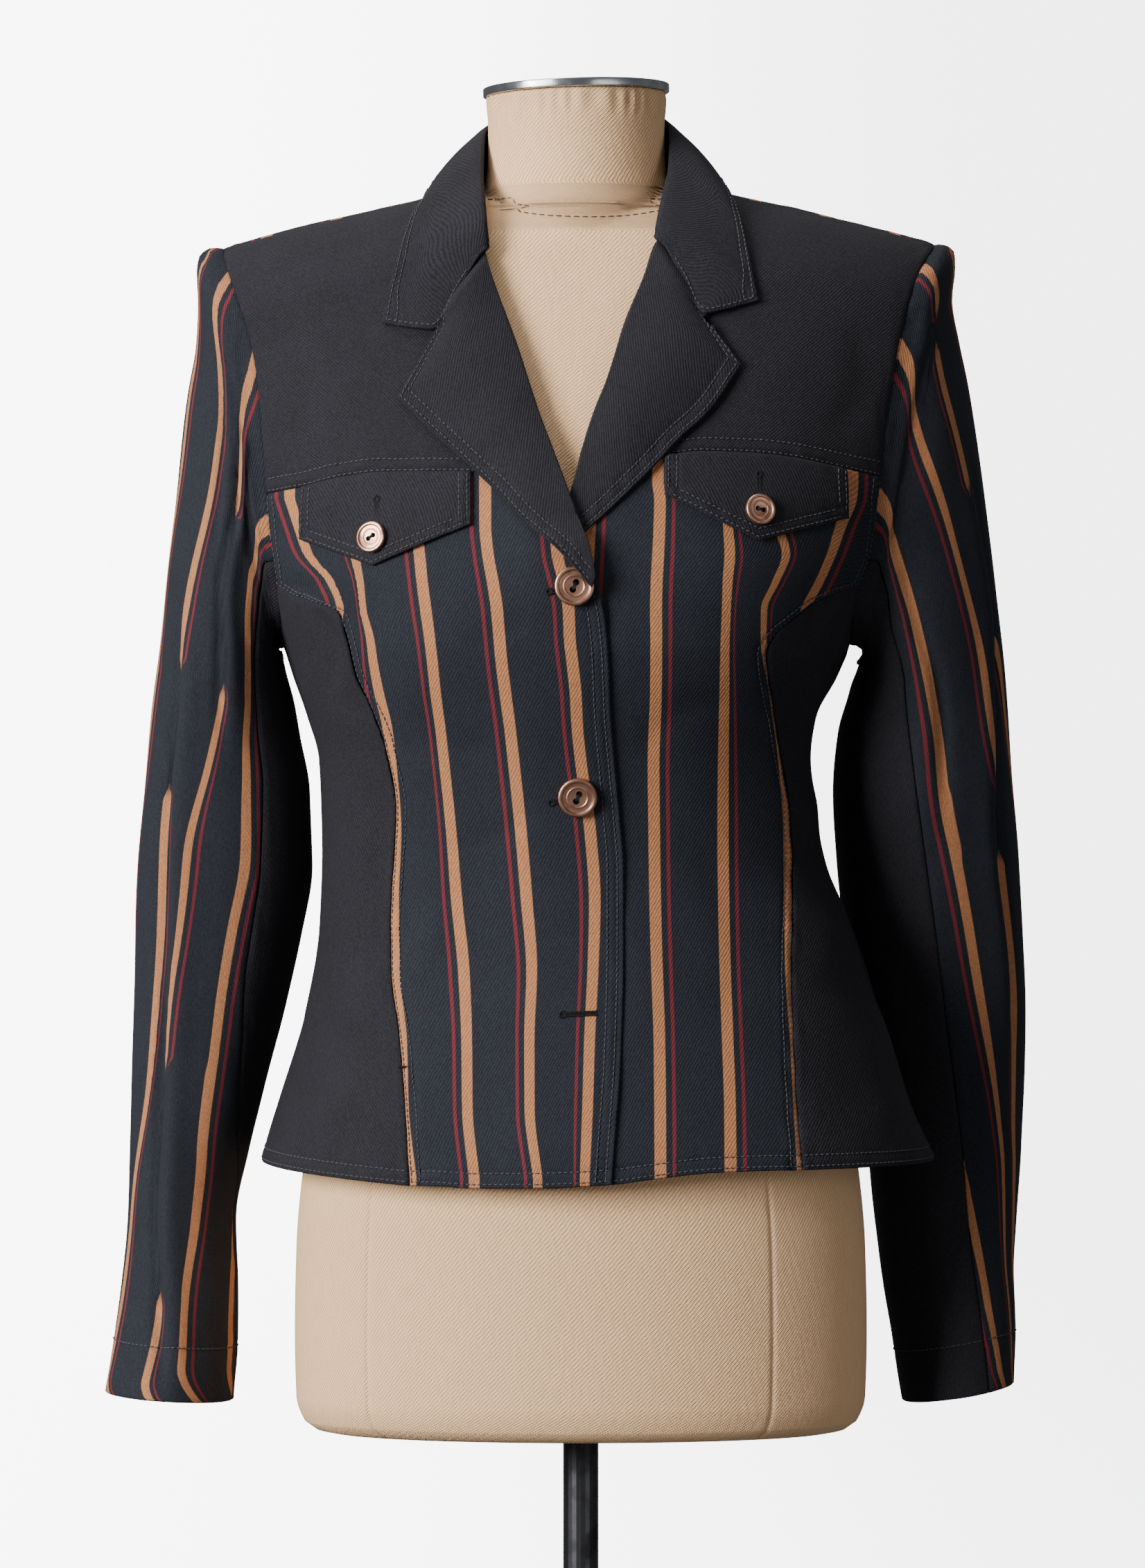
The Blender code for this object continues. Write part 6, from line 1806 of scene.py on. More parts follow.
@dataclass
class BlazerBody:
    """The fronts, yokes, side panels and back of the blazer."""

    cell: float = CELL
    panels: list[Panel] = field(default_factory=list)

    def yoke_line(self, side: int, share: Array) -> Array:
        """The seam between a front and its yoke, from the front edge to the armhole.

        Args:
            side: -1 for the wearer's right, 1 for the left.
            share: how far along.

        Returns:
            Distances across and heights.
        """
        yoke, edge = YOKE_SEAMS[side], FRONT_EDGES[side]
        corner_x, corner_z = yoke_corner(side)
        near_z = float(yoke(YOKE_STARTS[side]))
        x = mix(float(edge(near_z)), corner_x, share)
        return stack(x, yoke(x) + (corner_z - float(yoke(corner_x))) * share ** 6)

    def front(self, side: int) -> Panel:
        """The striped front, from the hem to the yoke seam."""
        share = np.linspace(0, 1, 200)
        edge, seam = FRONT_EDGES[side], PRINCESS_SEAMS[side]
        low, high = PRINCESS[side][0][0], PRINCESS[side][-1][0]
        corner_z = yoke_corner(side)[1]
        near_x = float(edge(HEM_CORNER))
        near_z = float(FRONT_HEM_LINE(near_x))
        top = self.yoke_line(side, share)
        x = mix(near_x, side * PRINCESS[side][0][1], share)
        bottom = stack(x, mix(FRONT_HEM_LINE(x), low, ease(share * 4 - 3)))
        edge_z = mix(near_z, top[0, 1], share)
        far_z = mix(low, corner_z, share)
        far_x = np.where(far_z <= high, side * seam(far_z), armhole_x(side, far_z, -1))
        borders = {
            "bottom": bottom, "top": top, "start": stack(edge(edge_z), edge_z), "end": stack(far_x, far_z),
        }
        name = "front_" + SIDE_WORD[side] + "_cloth"
        panel = coons(borders, lambda flat: SURFACE.at(flat[..., 0], flat[..., 1], -1), self.cell, name)
        return self.lapped(panel, side, ["end", "top"], FRONT_ROWS)

    def lapped(
        self, panel: Panel, side: int, seams: Sequence[str], rows: Sequence[tuple[str, float]]
    ) -> Panel:
        """The piece lifted where it laps over the other front, with its seams pressed in."""
        lift = seam_relief(panel, seams, rows) + crease_lift(panel)
        if side < 0:
            lift = lift + lap_lift(panel.grid[..., 0], panel.grid[..., 2])
        return panel.moved(lift)

    def yoke(self, side: int) -> Panel:
        """The plain yoke, from the chest seam over the shoulder to the shoulder seam."""
        share = np.linspace(0, 1, 200)
        edge = FRONT_EDGES[side]
        chest = self.yoke_line(side, share)
        tip_z = ARMHOLE[side][-1][0]
        tip_x = float(armhole_x(side, tip_z, -1))
        seam_climb = SHOULDER_ROUND * SHOULDER_SEAM_ANGLE
        bottom = stack(chest[:, 0], SURFACE.climb(chest[:, 0], chest[:, 1]))
        top = stack(mix(side * NECK_REACH, tip_x, share), seam_climb)
        z = mix(chest[0, 1], float(SURFACE.shoulder(side * NECK_REACH)), share)
        x = edge(z)
        x[-1] = side * NECK_REACH
        start = stack(x, np.minimum(SURFACE.climb(x, z), seam_climb))
        z = mix(chest[-1, 1], float(SURFACE.shoulder(tip_x)), share)
        x = armhole_x(side, z, -1)
        end = stack(x, np.minimum(SURFACE.climb(x, z), seam_climb))
        borders = {"bottom": bottom, "top": top, "start": start, "end": end}
        name = "yoke_" + SIDE_WORD[side] + "_cloth"
        panel = coons(borders, lambda flat: SURFACE.over(flat[..., 0], flat[..., 1], -1), self.cell, name)
        return self.lapped(panel, side, ["end", "top", "bottom"], YOKE_ROWS)

    def back_seam_angle(self, side: int, z: Array) -> Array:
        """Where the side panel meets the back, as an angle round the body."""
        top_x = abs(float(armhole_x(side, BACK_SEAM_TOP, 1)))
        span = BACK_SEAM_TOP - BACK_SEAM_TURN
        turn = ease((np.minimum(z, BACK_SEAM_TOP) - BACK_SEAM_TURN) / (2 * span)) * 2
        x = side * mix(BACK_SEAM_X, top_x, turn * turn)
        return SURFACE.angle(x, z, 1)

    def side_panel(self, side: int) -> Panel:
        """The plain panel from the princess seam round the side to the back seam."""
        seam, rows = PRINCESS_SEAMS[side], PRINCESS[side]
        low, high = ARMHOLE[side][0][0], rows[-1][0]
        turn_z, foot_z = rows[PRINCESS_TURN][0], rows[0][0]
        share = np.linspace(0, 1, 120)
        z = mix(turn_z, high, share)
        top = [stack(SURFACE.angle(side * seam(z), z, -1), z)]
        z = low + (high - low) * (1 - share[1:]) ** 2
        top.append(stack(SURFACE.angle(armhole_x(side, z, -1), z, -1), z))
        z = low + (BACK_SEAM_TOP - low) * share[1:] ** 2
        top.append(stack(SURFACE.angle(armhole_x(side, z, 1), z, 1), z))
        top = np.concatenate(top)
        if side > 0:
            top[:, 0] = np.where(top[:, 0] > math.pi, top[:, 0] - 2 * math.pi, top[:, 0])
        z = mix(foot_z, turn_z, share)
        start = stack(SURFACE.angle(side * seam(z), z, -1), z)
        z = mix(BACK_HEM, BACK_SEAM_TOP, share)
        whole_turn = 2 * math.pi if side > 0 else 0.0
        end = stack(self.back_seam_angle(side, z) - whole_turn, z)
        dip = (float(FRONT_HEM_LINE(-0.175)) - mix(foot_z, BACK_HEM, 0.4)) if side < 0 else 0.0
        hem_z = mix(foot_z, BACK_HEM, share) + dip * np.sin(math.pi * share)
        bottom = stack(mix(start[0, 0], end[0, 0], share), hem_z)
        borders = {"bottom": bottom, "top": top, "start": start, "end": end}
        name = "side_" + SIDE_WORD[side] + "_cloth"
        panel = coons(borders, lambda flat: SURFACE.round_side(flat[..., 0], flat[..., 1]), self.cell, name)
        return self.lapped(panel, 1, ["start", "end", "top"], HEM_ROWS)

    def back(self, side: int) -> Panel:
        """Half of the striped back, from the hem over the shoulder ridge to the shoulder seam."""
        share = np.linspace(0, 1, 200)
        tip_z = ARMHOLE[side][-1][0]
        tip_x = float(armhole_x(side, tip_z, 1))
        past_ridge = SHOULDER_ROUND * (math.pi - SHOULDER_SEAM_ANGLE)
        neck_climb = SHOULDER_ROUND * math.asin(1 - BACK_NECK_DROP / SHOULDER_ROUND)
        z = mix(BACK_HEM, BACK_SEAM_TOP, share)
        middle = (SURFACE.left(z) - SURFACE.right(z)) / 2
        reach = (SURFACE.left(z) + SURFACE.right(z)) / 2
        x = middle + reach * np.cos(self.back_seam_angle(side, z))
        outer = [stack(x, SURFACE.climb(x, z))]
        z = mix(BACK_SEAM_TOP, tip_z, 1 - (1 - share[1:]) ** 2)
        x = armhole_x(side, z, 1)
        outer.append(stack(x, SURFACE.climb(x, z)))
        last = outer[-1][-1, 1]
        outer.append(stack(np.full(20, tip_x), np.linspace(last, past_ridge, 21)[1:]))
        end = np.concatenate(outer)
        bottom_x = end[0, 0] * share
        bottom = stack(bottom_x, SURFACE.climb(bottom_x, np.full_like(share, BACK_HEM)))
        top_x = tip_x * share
        top = stack(top_x, mix(neck_climb, past_ridge, ease(np.abs(top_x) / NECK_REACH) ** 1.6))
        start = stack(np.zeros_like(share), mix(bottom[0, 1], neck_climb, share))
        borders = {"bottom": bottom, "top": top, "start": start, "end": end}
        name = "back_" + SIDE_WORD[side] + "_cloth"
        panel = coons(borders, lambda flat: SURFACE.over(flat[..., 0], flat[..., 1], 1), self.cell, name)
        return self.lapped(panel, 1, ["start", "end", "top"], HEM_ROWS)

    def stripe_map(self, panel: Panel, side: int) -> Array:
        """The front's stripe map: how many bands across, and metres up."""
        x, z = seen(panel.grid)
        places = np.stack([curve(z) for curve in columns(STRIPES[side])], axis=-1)
        pattern = (x - places[..., 0]) / STRIPE_PITCH
        for k in range(places.shape[-1] - 1):
            low, high = places[..., k], places[..., k + 1]
            inside = x >= low
            pattern = np.where(inside, k + (x - low) / np.maximum(high - low, 0.004), pattern)
        last = places.shape[-1] - 1
        pattern = np.where(x >= places[..., last], last + (x - places[..., last]) / STRIPE_PITCH, pattern)
        return stack(pattern, panel.up)

    def build(self) -> None:
        """Make and dress every piece."""
        for side in SIDES:
            word = SIDE_WORD[side]
            front = self.front(side)
            finish = Finish.STRIPED_RED_NEAR if side < 0 else Finish.STRIPED_RED_FAR
            piece = add_cloth(front.reshaped(), finish, self.stripe_map(front, side))
            self.declare(piece, front, "front_" + word)
            yoke = self.yoke(side)
            self.declare(add_cloth(yoke.reshaped(), Finish.BLACK), yoke, "front_yoke_" + word)
            side_panel = self.side_panel(side)
            self.declare(add_cloth(side_panel.reshaped(), Finish.BLACK), side_panel, "side_" + word)
            back = self.back(side)
            pattern = back.grid[..., 0] / STRIPE_PITCH + side * 0.5
            piece = add_cloth(back.reshaped(), finish, stack(pattern, back.up))
            self.declare(piece, back, "back_" + word)
            self.panels += [front, yoke, side_panel, back]
            threads = sewn("stitches_front_" + word, front, FRONT_ROWS)
            if side < 0:
                self.sew_details(Stitching("buttonholes_front", Finish.BUTTON_THREAD))
            threads.build()
            sewn("stitches_yoke_" + word, yoke, YOKE_ROWS).build()
            sewn("stitches_side_" + word, side_panel, HEM_ROWS).build()
            sewn("stitches_back_" + word, back, HEM_ROWS).build()

    def sew_details(self, threads: Stitching) -> None:
        """The buttonholes and the bar tack of the right front, in darker thread."""
        for start, end in FRONT_HOLES:
            Buttonhole(start, end, FRONT_HOLE_LIFT, on_lap=True).sew(threads)
        tack = Buttonhole(*BAR_TACK, FRONT_HOLE_LIFT, on_lap=True)
        line = tack.line(np.array(on_body(*tack.start)), np.array(on_body(*tack.end)))
        threads.satin(line, BAR_TACK_WIDTH, BAR_TACK_SPACING)
        threads.build()

    def declare(self, piece: bpy.types.Object, panel: Panel, node: str) -> None:
        """Let the piece ride on the object in place of its node, and measure how it was cut."""
        declare_cloth(piece, panel, node, Held.HUNG)


def cut_size(panel: Panel) -> tuple[float, float, float]:
    """The width, length and area of the flat cut of a piece."""
    widths, heights = panel.across[:, -1], panel.up[-1, :]
    across = np.linalg.norm(np.diff(panel.grid, axis=1), axis=2)
    up = np.linalg.norm(np.diff(panel.grid, axis=0), axis=2)
    area = float(((across[:-1] + across[1:]) / 2 * (up[:, :-1] + up[:, 1:]) / 2).sum())
    return float(widths.max()), float(heights.max()), area


def declare_cloth(
    piece: bpy.types.Object, panel: Panel, node: str, held: Held
) -> None:
    """Let a cloth piece ride on the object in place of its node, which is hidden, and measure its cut.

    Args:
        piece: the cloth.
        panel: its grid, which is as large as its cut.
        node: the CAD node.
        held: how it is held; not used.
    """
    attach(piece, BODY_NAME)
    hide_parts(node)
    width, length, area = cut_size(panel)
    area = min(area, width * length)


@dataclass
class Lapels:
    """The two lapels, turned back from the roll line."""

    width: float = 0.055
    cell_down: float = 0.0030
    cell_across: float = 0.0028
    panels: dict[int, Panel] = field(default_factory=dict)

    def panel(self, side: int) -> Panel:
        """One lapel over its yoke and front."""
        rows = LAPEL[side]
        path = Path(rows, corners=(1, 2, 3))
        lengths = along(np.array([row[2:] for row in rows]))
        s = spaced(float(lengths[-1]), self.cell_down)
        row = np.interp(s * lengths[-1], lengths, np.arange(len(rows)))
        row = np.unique(np.concatenate([row, np.arange(len(rows))[:5]]))
        points = path(row)
        c = spaced(self.width, self.cell_across)
        x = mix(points[:, None, 0], points[:, None, 2], c[None, :])
        z = mix(points[:, None, 1], points[:, None, 3], c[None, :])
        free = ease((points[:, None, 1] - LAPEL_FREE_FROM) / 0.05)
        swell = (LAPEL_SWELL * np.sin(math.pi * np.minimum(c * 1.15, 1.0))[None, :] + LAPEL_STANDS_OFF) * free
        tuck = ease(1 - row)[:, None]
        lift = mix(LAPEL_LIFT + LAPEL_CLOTH + swell, LAPEL_TUCKED, tuck)
        if side < 0:
            lift = lift + lap_lift(x, z) + LAPEL_TAIL_LIFT * ease((LAPEL_TAIL - z) / 0.022)
        grid = SURFACE.at(x, z, -1)
        normals = SURFACE.normal(grid)
        panel = Panel(grid + normals * lift[..., None], normals, "lapel_" + SIDE_WORD[side] + "_cloth")
        relief = seam_relief(panel, [], LAPEL_ROWS)
        return panel.moved(relief)

    def build(self) -> None:
        """Make and dress both."""
        for side in SIDES:
            panel = self.panel(side)
            word = SIDE_WORD[side]
            piece = add_cloth(panel.reshaped(), Finish.BLACK, thickness=LAPEL_CLOTH)
            declare_cloth(piece, panel, "lapel_" + word, Held.FOLDED)
            self.panels[side] = panel
            sewn("stitches_lapel_" + word, panel, LAPEL_ROWS).build()


class Collar:
    """The collar: a stand round the neck and a fall turned down over it."""

    def section(self, row: Sequence, side: int, end_share: float) -> Array:
        """The points across the collar: up the stand, over the fold and down the fall to the edge.

        Args:
            row: a row of the collar's table.
            side: which half of the collar it is in.
            end_share: how near it is to the collar's end.

        Returns:
            Eight points.
        """
        roll_x, roll_y, roll_z, edge_x, edge_z, facing = row
        if roll_y is None:
            stands_off = mix(COLLAR_STANDS_OFF, COLLAR_END_OFF, end_share)
            roll_y = float(SURFACE.at(roll_x, roll_z, -1)[1]) - stands_off
        roll = np.array([roll_x, roll_y, roll_z])
        edge = SURFACE.at(edge_x, min(edge_z, float(SURFACE.shoulder(edge_x))), facing)
        edge = edge + SURFACE.normal(edge) * (COLLAR_LIFT + COLLAR_CLOTH)
        outward = unit(edge - roll)
        foot = roll + outward * COLLAR_FOOT + np.array([0, 0, -COLLAR_FOOT_DROP])
        foot = mix(foot, roll + (edge - roll) * COLLAR_FOOT_SHARE, 1 - end_share)
        foot = SURFACE.lifted(foot, COLLAR_FOOT_LIFT)
        up = SURFACE.normal(roll)
        up = unit(up - outward * float(up @ outward))
        inner = roll - up * COLLAR_FOLD
        outer = roll + up * COLLAR_FOLD * 0.2 + outward * COLLAR_FOLD * 0.9
        tip = roll - outward * COLLAR_FOLD * 0.55 - up * COLLAR_FOLD * 0.25
        section = [foot, mix(foot, inner, 0.5), inner + outward * COLLAR_FOLD * 0.6, tip, outer]
        notch = SURFACE.at(NOTCH[side][0], NOTCH[side][1], -1)
        notch = notch + SURFACE.normal(notch) * (COLLAR_LIFT + COLLAR_CLOTH)
        for share in (0.33, 0.66):
            point = mix(outer, edge, share) + up * COLLAR_SWELL * math.sin(math.pi * share)
            if end_share > 0.5:
                bend = mix(outer, notch, share / 0.66)
                point = mix(point, bend, (end_share - 0.5) * 2)
            section.append(SURFACE.lifted(point, COLLAR_LIFT + COLLAR_CLOTH + COLLAR_CLEAR))
        section.append(edge)
        return np.array(section)

    def panel(self) -> Panel:
        """The whole collar as one smooth grid."""
        count = len(COLLAR) - 1
        rows = []
        for k, row in enumerate(COLLAR):
            side = -1 if k < count / 2 else 1
            from_end = min(k, count - k)
            end_share = (1.0, 0.5, 0.12)[from_end] if from_end < 3 else 0.0
            rows.append(self.section(row, side, end_share))
        rows = np.array(rows)
        around = rows[:, -1]
        lengths = along(around)
        s = spaced(float(lengths[-1]), COLLAR_CELL_ROUND)
        at_row = np.interp(s * lengths[-1], lengths, np.arange(count + 1))
        fine = np.stack([Path(rows[:, k])(at_row) for k in range(rows.shape[1])], axis=1)
        span = along(fine.mean(axis=0))
        c = spaced(float(span[-1]), COLLAR_CELL_ACROSS)
        at_point = np.interp(c * span[-1], span, np.arange(rows.shape[1]))
        grid = np.stack([Path(line)(at_point) for line in fine])
        facing = np.cross(np.gradient(grid, axis=1), np.gradient(grid, axis=0))
        agreement = float(np.sum(facing[:, -2] * SURFACE.normal(grid[:, -2]), axis=-1).mean())
        return Panel(grid, unit(facing) * (1.0 if agreement > 0 else -1.0), "collar_cloth")

    def build(self) -> None:
        """Make and dress it."""
        panel = self.panel()
        panel = panel.moved(seam_relief(panel, [], COLLAR_ROWS))
        piece = add_cloth(panel.reshaped(), Finish.BLACK, thickness=COLLAR_CLOTH)
        declare_cloth(piece, panel, "collar", Held.FOLDED)
        sewn("stitches_collar", panel, COLLAR_ROWS).build()


class SleevePanel(Panel):
    """A lengthways part of a sleeve, which also knows its rows and angles."""

    def __init__(self, grid: Array, outward: Array, name: str, rows: Array, angle: Array) -> None:
        """Keep the grid, and the row and the angle of each point."""
        super().__init__(grid, outward, name)
        self.rows = rows
        self.angle = angle


@dataclass
class Sleeve:
    """One sleeve: a striped top sleeve and a plain under sleeve round one tube."""

    side: int
    cell: float = SLEEVE_CELL
    back_seam: float = math.radians(SLEEVE_BACK_SEAM)

    def __post_init__(self) -> None:
        """Read the sleeve's tables into curves."""
        self.rings = Path(SLEEVE[self.side])
        self.last = len(SLEEVE[self.side])
        self.seam = Curve(SLEEVE_FRONT_SEAM[self.side])

    def ring_points(self, rings: Array, angle: Array) -> Array:
        """Points round rings: 0 at the outer side, pi/2 at the front.

        Args:
            rings: the sizes of each ring, along the last axis.
            angle: angles.

        Returns:
            A point for each.
        """
        outer_x, outer_z, inner_x, inner_z, middle_y, half_depth, own = (rings[..., k] for k in range(7))
        swing_y = middle_y * (1 - own)
        outer = stack(self.side * outer_x, swing_y, outer_z)
        inner = stack(self.side * inner_x, swing_y, inner_z)
        centre = (outer + inner) / 2
        front = stack(centre[..., 0], middle_y - half_depth, centre[..., 2])
        back = stack(centre[..., 0], middle_y + half_depth, centre[..., 2])
        sine, cosine = np.sin(angle)[..., None], np.cos(angle)[..., None]
        swing = (front + back) / 2 - centre
        points = centre + (outer - inner) / 2 * cosine + (front - back) / 2 * sine + swing * sine * sine
        loop = armhole_point(self.side, angle)
        top = armhole_point(self.side, np.array(0.0))
        bottom = armhole_point(self.side, np.array(math.pi))
        rounded = (top + bottom) / 2 + (top - bottom) / 2 * cosine
        shape = loop - rounded
        shape[..., 1] = loop[..., 1] + half_depth * sine[..., 0]
        return points + shape * own[..., None]

    def at(self, row: Array, angle: Array) -> Array:
        """Points at rows (0 at the armhole, 1 at the first ring) and angles."""
        row, angle = np.broadcast_arrays(row, angle)
        turn = np.mod(angle, 2 * math.pi)
        rings = self.rings(np.maximum(row - 1, 0.0))
        below = self.ring_points(rings, turn)
        outer, inner = rings[..., 0:2], rings[..., 2:4]
        middle = stack(self.side * (outer + inner)[..., 0] / 2, rings[..., 4], (outer + inner)[..., 1] / 2)
        radius = np.linalg.norm(outer - inner, axis=-1) / 4 + rings[..., 5] / 2
        below = below + unit(below - middle) * self.fold_lift(row, turn, radius)[..., None]
        loop = armhole_point(self.side, turn)
        loop[..., 0] -= self.side * ARMHOLE_TUCK
        share = np.clip(row, 0.0, 1.0)[..., None]
        return mix(loop, below, share)

    def fold_lift(self, row: Array, angle: Array, radius: Array) -> Array:
        """How far the cloth stands out or falls in beside its long folds.

        Args:
            row: rows.
            angle: angles.
            radius: about how far the cloth is from the sleeve's middle.

        Returns:
            A distance for each place.
        """
        lift = np.zeros(np.shape(angle))
        for rise, fall, width, line in SLEEVE_FOLDS[self.side]:
            first, last = line[0][0], line[-1][0]
            strength = ease((row - first + 0.6) / 1.6) * ease((last + 0.6 - row) / 1.6)
            away = np.mod(angle - np.radians(Curve(line)(row)) + math.pi, 2 * math.pi) - math.pi
            away = away * radius
            lift += strength * RIDGE_GAIN * rise * bump(away - RIDGE_ASIDE * width, RIDGE_WIDTH * width)
            lift -= strength * FALL_GAIN * fall * bump(away + FALL_ASIDE * width, FALL_WIDTH * width)
        return lift

    def seam_angle(self, row: Array) -> Array:
        """Where the front seam runs, as an angle, at each row."""
        rings = self.rings(np.maximum(row - 1, 0.0))
        middle = (rings[..., 1] + rings[..., 3]) / 2
        return np.radians(self.seam(np.where(row < 1, 1.20, middle)))

    def rows(self) -> Array:
        """The rows of the grid, evenly spread down the sleeve."""
        fine = np.linspace(0, self.last, 600)
        lengths = along(self.at(fine, np.full_like(fine, math.pi / 2)))
        share = spaced(float(lengths[-1]), self.cell)
        return np.interp(share * lengths[-1], lengths, fine)

    def directions(self, rows: Array) -> tuple[Array, Array]:
        """The directions out of the whole tube with its creases, and the angles that they are at."""
        angles = np.linspace(0, 2 * math.pi, 241)
        grid = self.at(rows[:, None], angles[None, :])
        closed = np.concatenate([grid[:, -2:-1], grid, grid[:, 1:2]], axis=1)
        middle = grid[:, :-1].mean(axis=1, keepdims=True)
        return grid_normals(closed, closed - middle)[:, 1:-1], angles

    def part(self, name: str, low: Array, high: Array, width: float) -> SleevePanel:
        """A lengthways part of the sleeve between two seams.

        Args:
            name: the piece's name.
            low: the angle of its first seam at each row.
            high: the angle of its other seam at each row.
            width: about how wide it is, in metres.

        Returns:
            The piece.
        """
        rows = self.rows()
        normals, angles = self.directions(rows)
        c = spaced(width, self.cell)
        angle = mix(low[:, None], high[:, None], c[None, :])
        turn = np.mod(angle, 2 * math.pi)
        outward = np.array([sampled(normals[r], angles, turn[r]) for r in range(len(rows))])
        return SleevePanel(self.at(rows[:, None], angle), unit(outward), name, rows, angle)

    def build(self) -> None:
        """Make and dress both parts."""
        word = SIDE_WORD[self.side]
        rows = self.rows()
        seam = self.seam_angle(rows)
        back = np.full_like(rows, self.back_seam)
        top = self.part("sleeve_top_" + word + "_cloth", back - 2 * math.pi, seam, 0.21)
        under = self.part("sleeve_under_" + word + "_cloth", seam, back, 0.11)
        pattern, mask = self.stripe_pattern(top)
        for kind, panel in (("top", top), ("under", under)):
            relief = seam_relief(panel, ["start", "end", "bottom"], CUFF_ROWS)
            head = bump(panel.distance("bottom") - 0.006, 0.014)
            relief += HEAD_PUCKER * head * soft_noise(panel.grid, HEAD_PUCKER_SIZE, 21 + self.side)
            flattened = panel.grid * np.array([1.0, 1.0, 0.5])
            relief += SLEEVE_SWAY * soft_noise(flattened, SLEEVE_SWAY_SIZE, 31 + self.side)
            panel = panel.moved(relief)
            cloth = panel.reshaped()
            if kind == "top":
                piece = add_cloth(cloth, Finish.STRIPED_RED_FAR, stack(pattern, panel.up), mask=mask)
            else:
                piece = add_cloth(cloth, Finish.BLACK)
            declare_cloth(piece, panel, "sleeve_" + kind + "_" + word, Held.HUNG)
            sewn("stitches_sleeve_" + kind + "_" + word, panel, CUFF_ROWS).build()

    def band_places(self, rows: Array, pitch: Array, seam: Array) -> Array:
        """The angle of each measured band at each row, carried on beyond where it was seen.

        Args:
            rows: the rows of the grid.
            pitch: the angle from band to band at each row.
            seam: the angle of the front seam at each row.

        Returns:
            A row of angles for each row of the grid.
        """
        fine_rows = np.linspace(0, self.last, 500)
        fine_angles = np.linspace(0.02, math.pi - 0.02, 240)
        x, z = seen(self.at(fine_rows[:, None], fine_angles[None, :]))
        places, outside = [], []
        for line in SLEEVE_STRIPES[self.side]:
            found = []
            for band_z, band_x in line:
                gap = (x - band_x) ** 2 + (z - band_z) ** 2
                k, j = np.unravel_index(int(np.argmin(gap)), gap.shape)
                if not found or fine_rows[k] - found[-1][0] > 0.15:
                    found.append((float(fine_rows[k]), float(fine_angles[j])))
            places.append(Curve(found)(rows))
            outside.append(np.maximum(np.maximum(found[0][0] - rows, rows - found[-1][0]), 0.0))
        behind = [np.zeros_like(rows)] * BANDS_BEHIND
        places, outside = np.stack(behind + places, axis=1), np.stack(outside, axis=1)
        given = np.zeros(places.shape)
        given[:, BANDS_BEHIND:] = outside == 0
        places = settled_lines(places, given, rows, pitch)
        places[:, :BANDS_BEHIND] -= HEAD_TURN * ease(1 - rows / 1.8)[:, None]
        for k in range(BANDS_BEHIND, places.shape[1]):
            alone = ease(outside[:, k - BANDS_BEHIND:].min(axis=1) / BAND_BLEND_ROWS)
            past_seam = np.maximum(places[:, k], seam + BAND_PAST_SEAM)
            places[:, k] = mix(places[:, k], past_seam, alone)
        return places

    def stripe_pattern(self, panel: SleevePanel) -> tuple[Array, Array]:
        """How many bands across each point of the top sleeve is, and where a band is hidden in a fold.

        Args:
            panel: the top sleeve.

        Returns:
            A value for each point, whole at the middle of a band, and how far its band is hidden.
        """
        rows, angle = panel.rows, panel.angle
        rings = self.rings(np.maximum(rows - 1, 0.0))
        radius = (rings[:, 5] + np.hypot(rings[:, 0] - rings[:, 2], rings[:, 1] - rings[:, 3]) / 2) / 2
        pitch = STRIPE_PITCH / np.maximum(radius, 0.03)
        places = self.band_places(rows, pitch, angle[:, -1])
        lines = {float(k - BANDS_BEHIND): places[:, k] for k in range(places.shape[1])}
        mask = np.zeros(angle.shape)
        for band, low, high in HIDDEN_BANDS[self.side]:
            middle = lines[float(band)]
            height = seen(self.at(rows, middle))[1]
            strength = ease((height - low + 0.006) / 0.012) * ease((high - height + 0.006) / 0.012)
            near = ease(2.2 - np.abs(angle - middle[:, None]) * radius[:, None] / self.cell)
            mask = np.maximum(mask, strength[:, None] * near)
            for way in (-1, 1):
                other = lines.get(float(band + way), middle + way * pitch)
                label = band + way * HIDDEN_SHARE
                natural = lines.get(label, mix(middle, other, HIDDEN_SHARE))
                lines[label] = mix(natural, middle + way * HIDDEN_HALF_ANGLE, strength)
        labels = np.array(sorted(lines))
        order = np.stack([lines[label] for label in labels], axis=1)
        for k in range(1, len(labels)):
            least = order[:, k - 1] + (labels[k] - labels[k - 1]) * BAND_LEAST_ANGLE
            order[:, k] = np.maximum(order[:, k], least)
        pattern = np.zeros(angle.shape)
        for r in range(len(rows)):
            pattern[r] = np.interp(angle[r], order[r], labels)
        before = np.minimum(angle - order[:, :1], 0.0) / pitch[:, None]
        beyond = np.maximum(angle - order[:, -1:], 0.0) / pitch[:, None]
        return pattern + before + beyond, mask


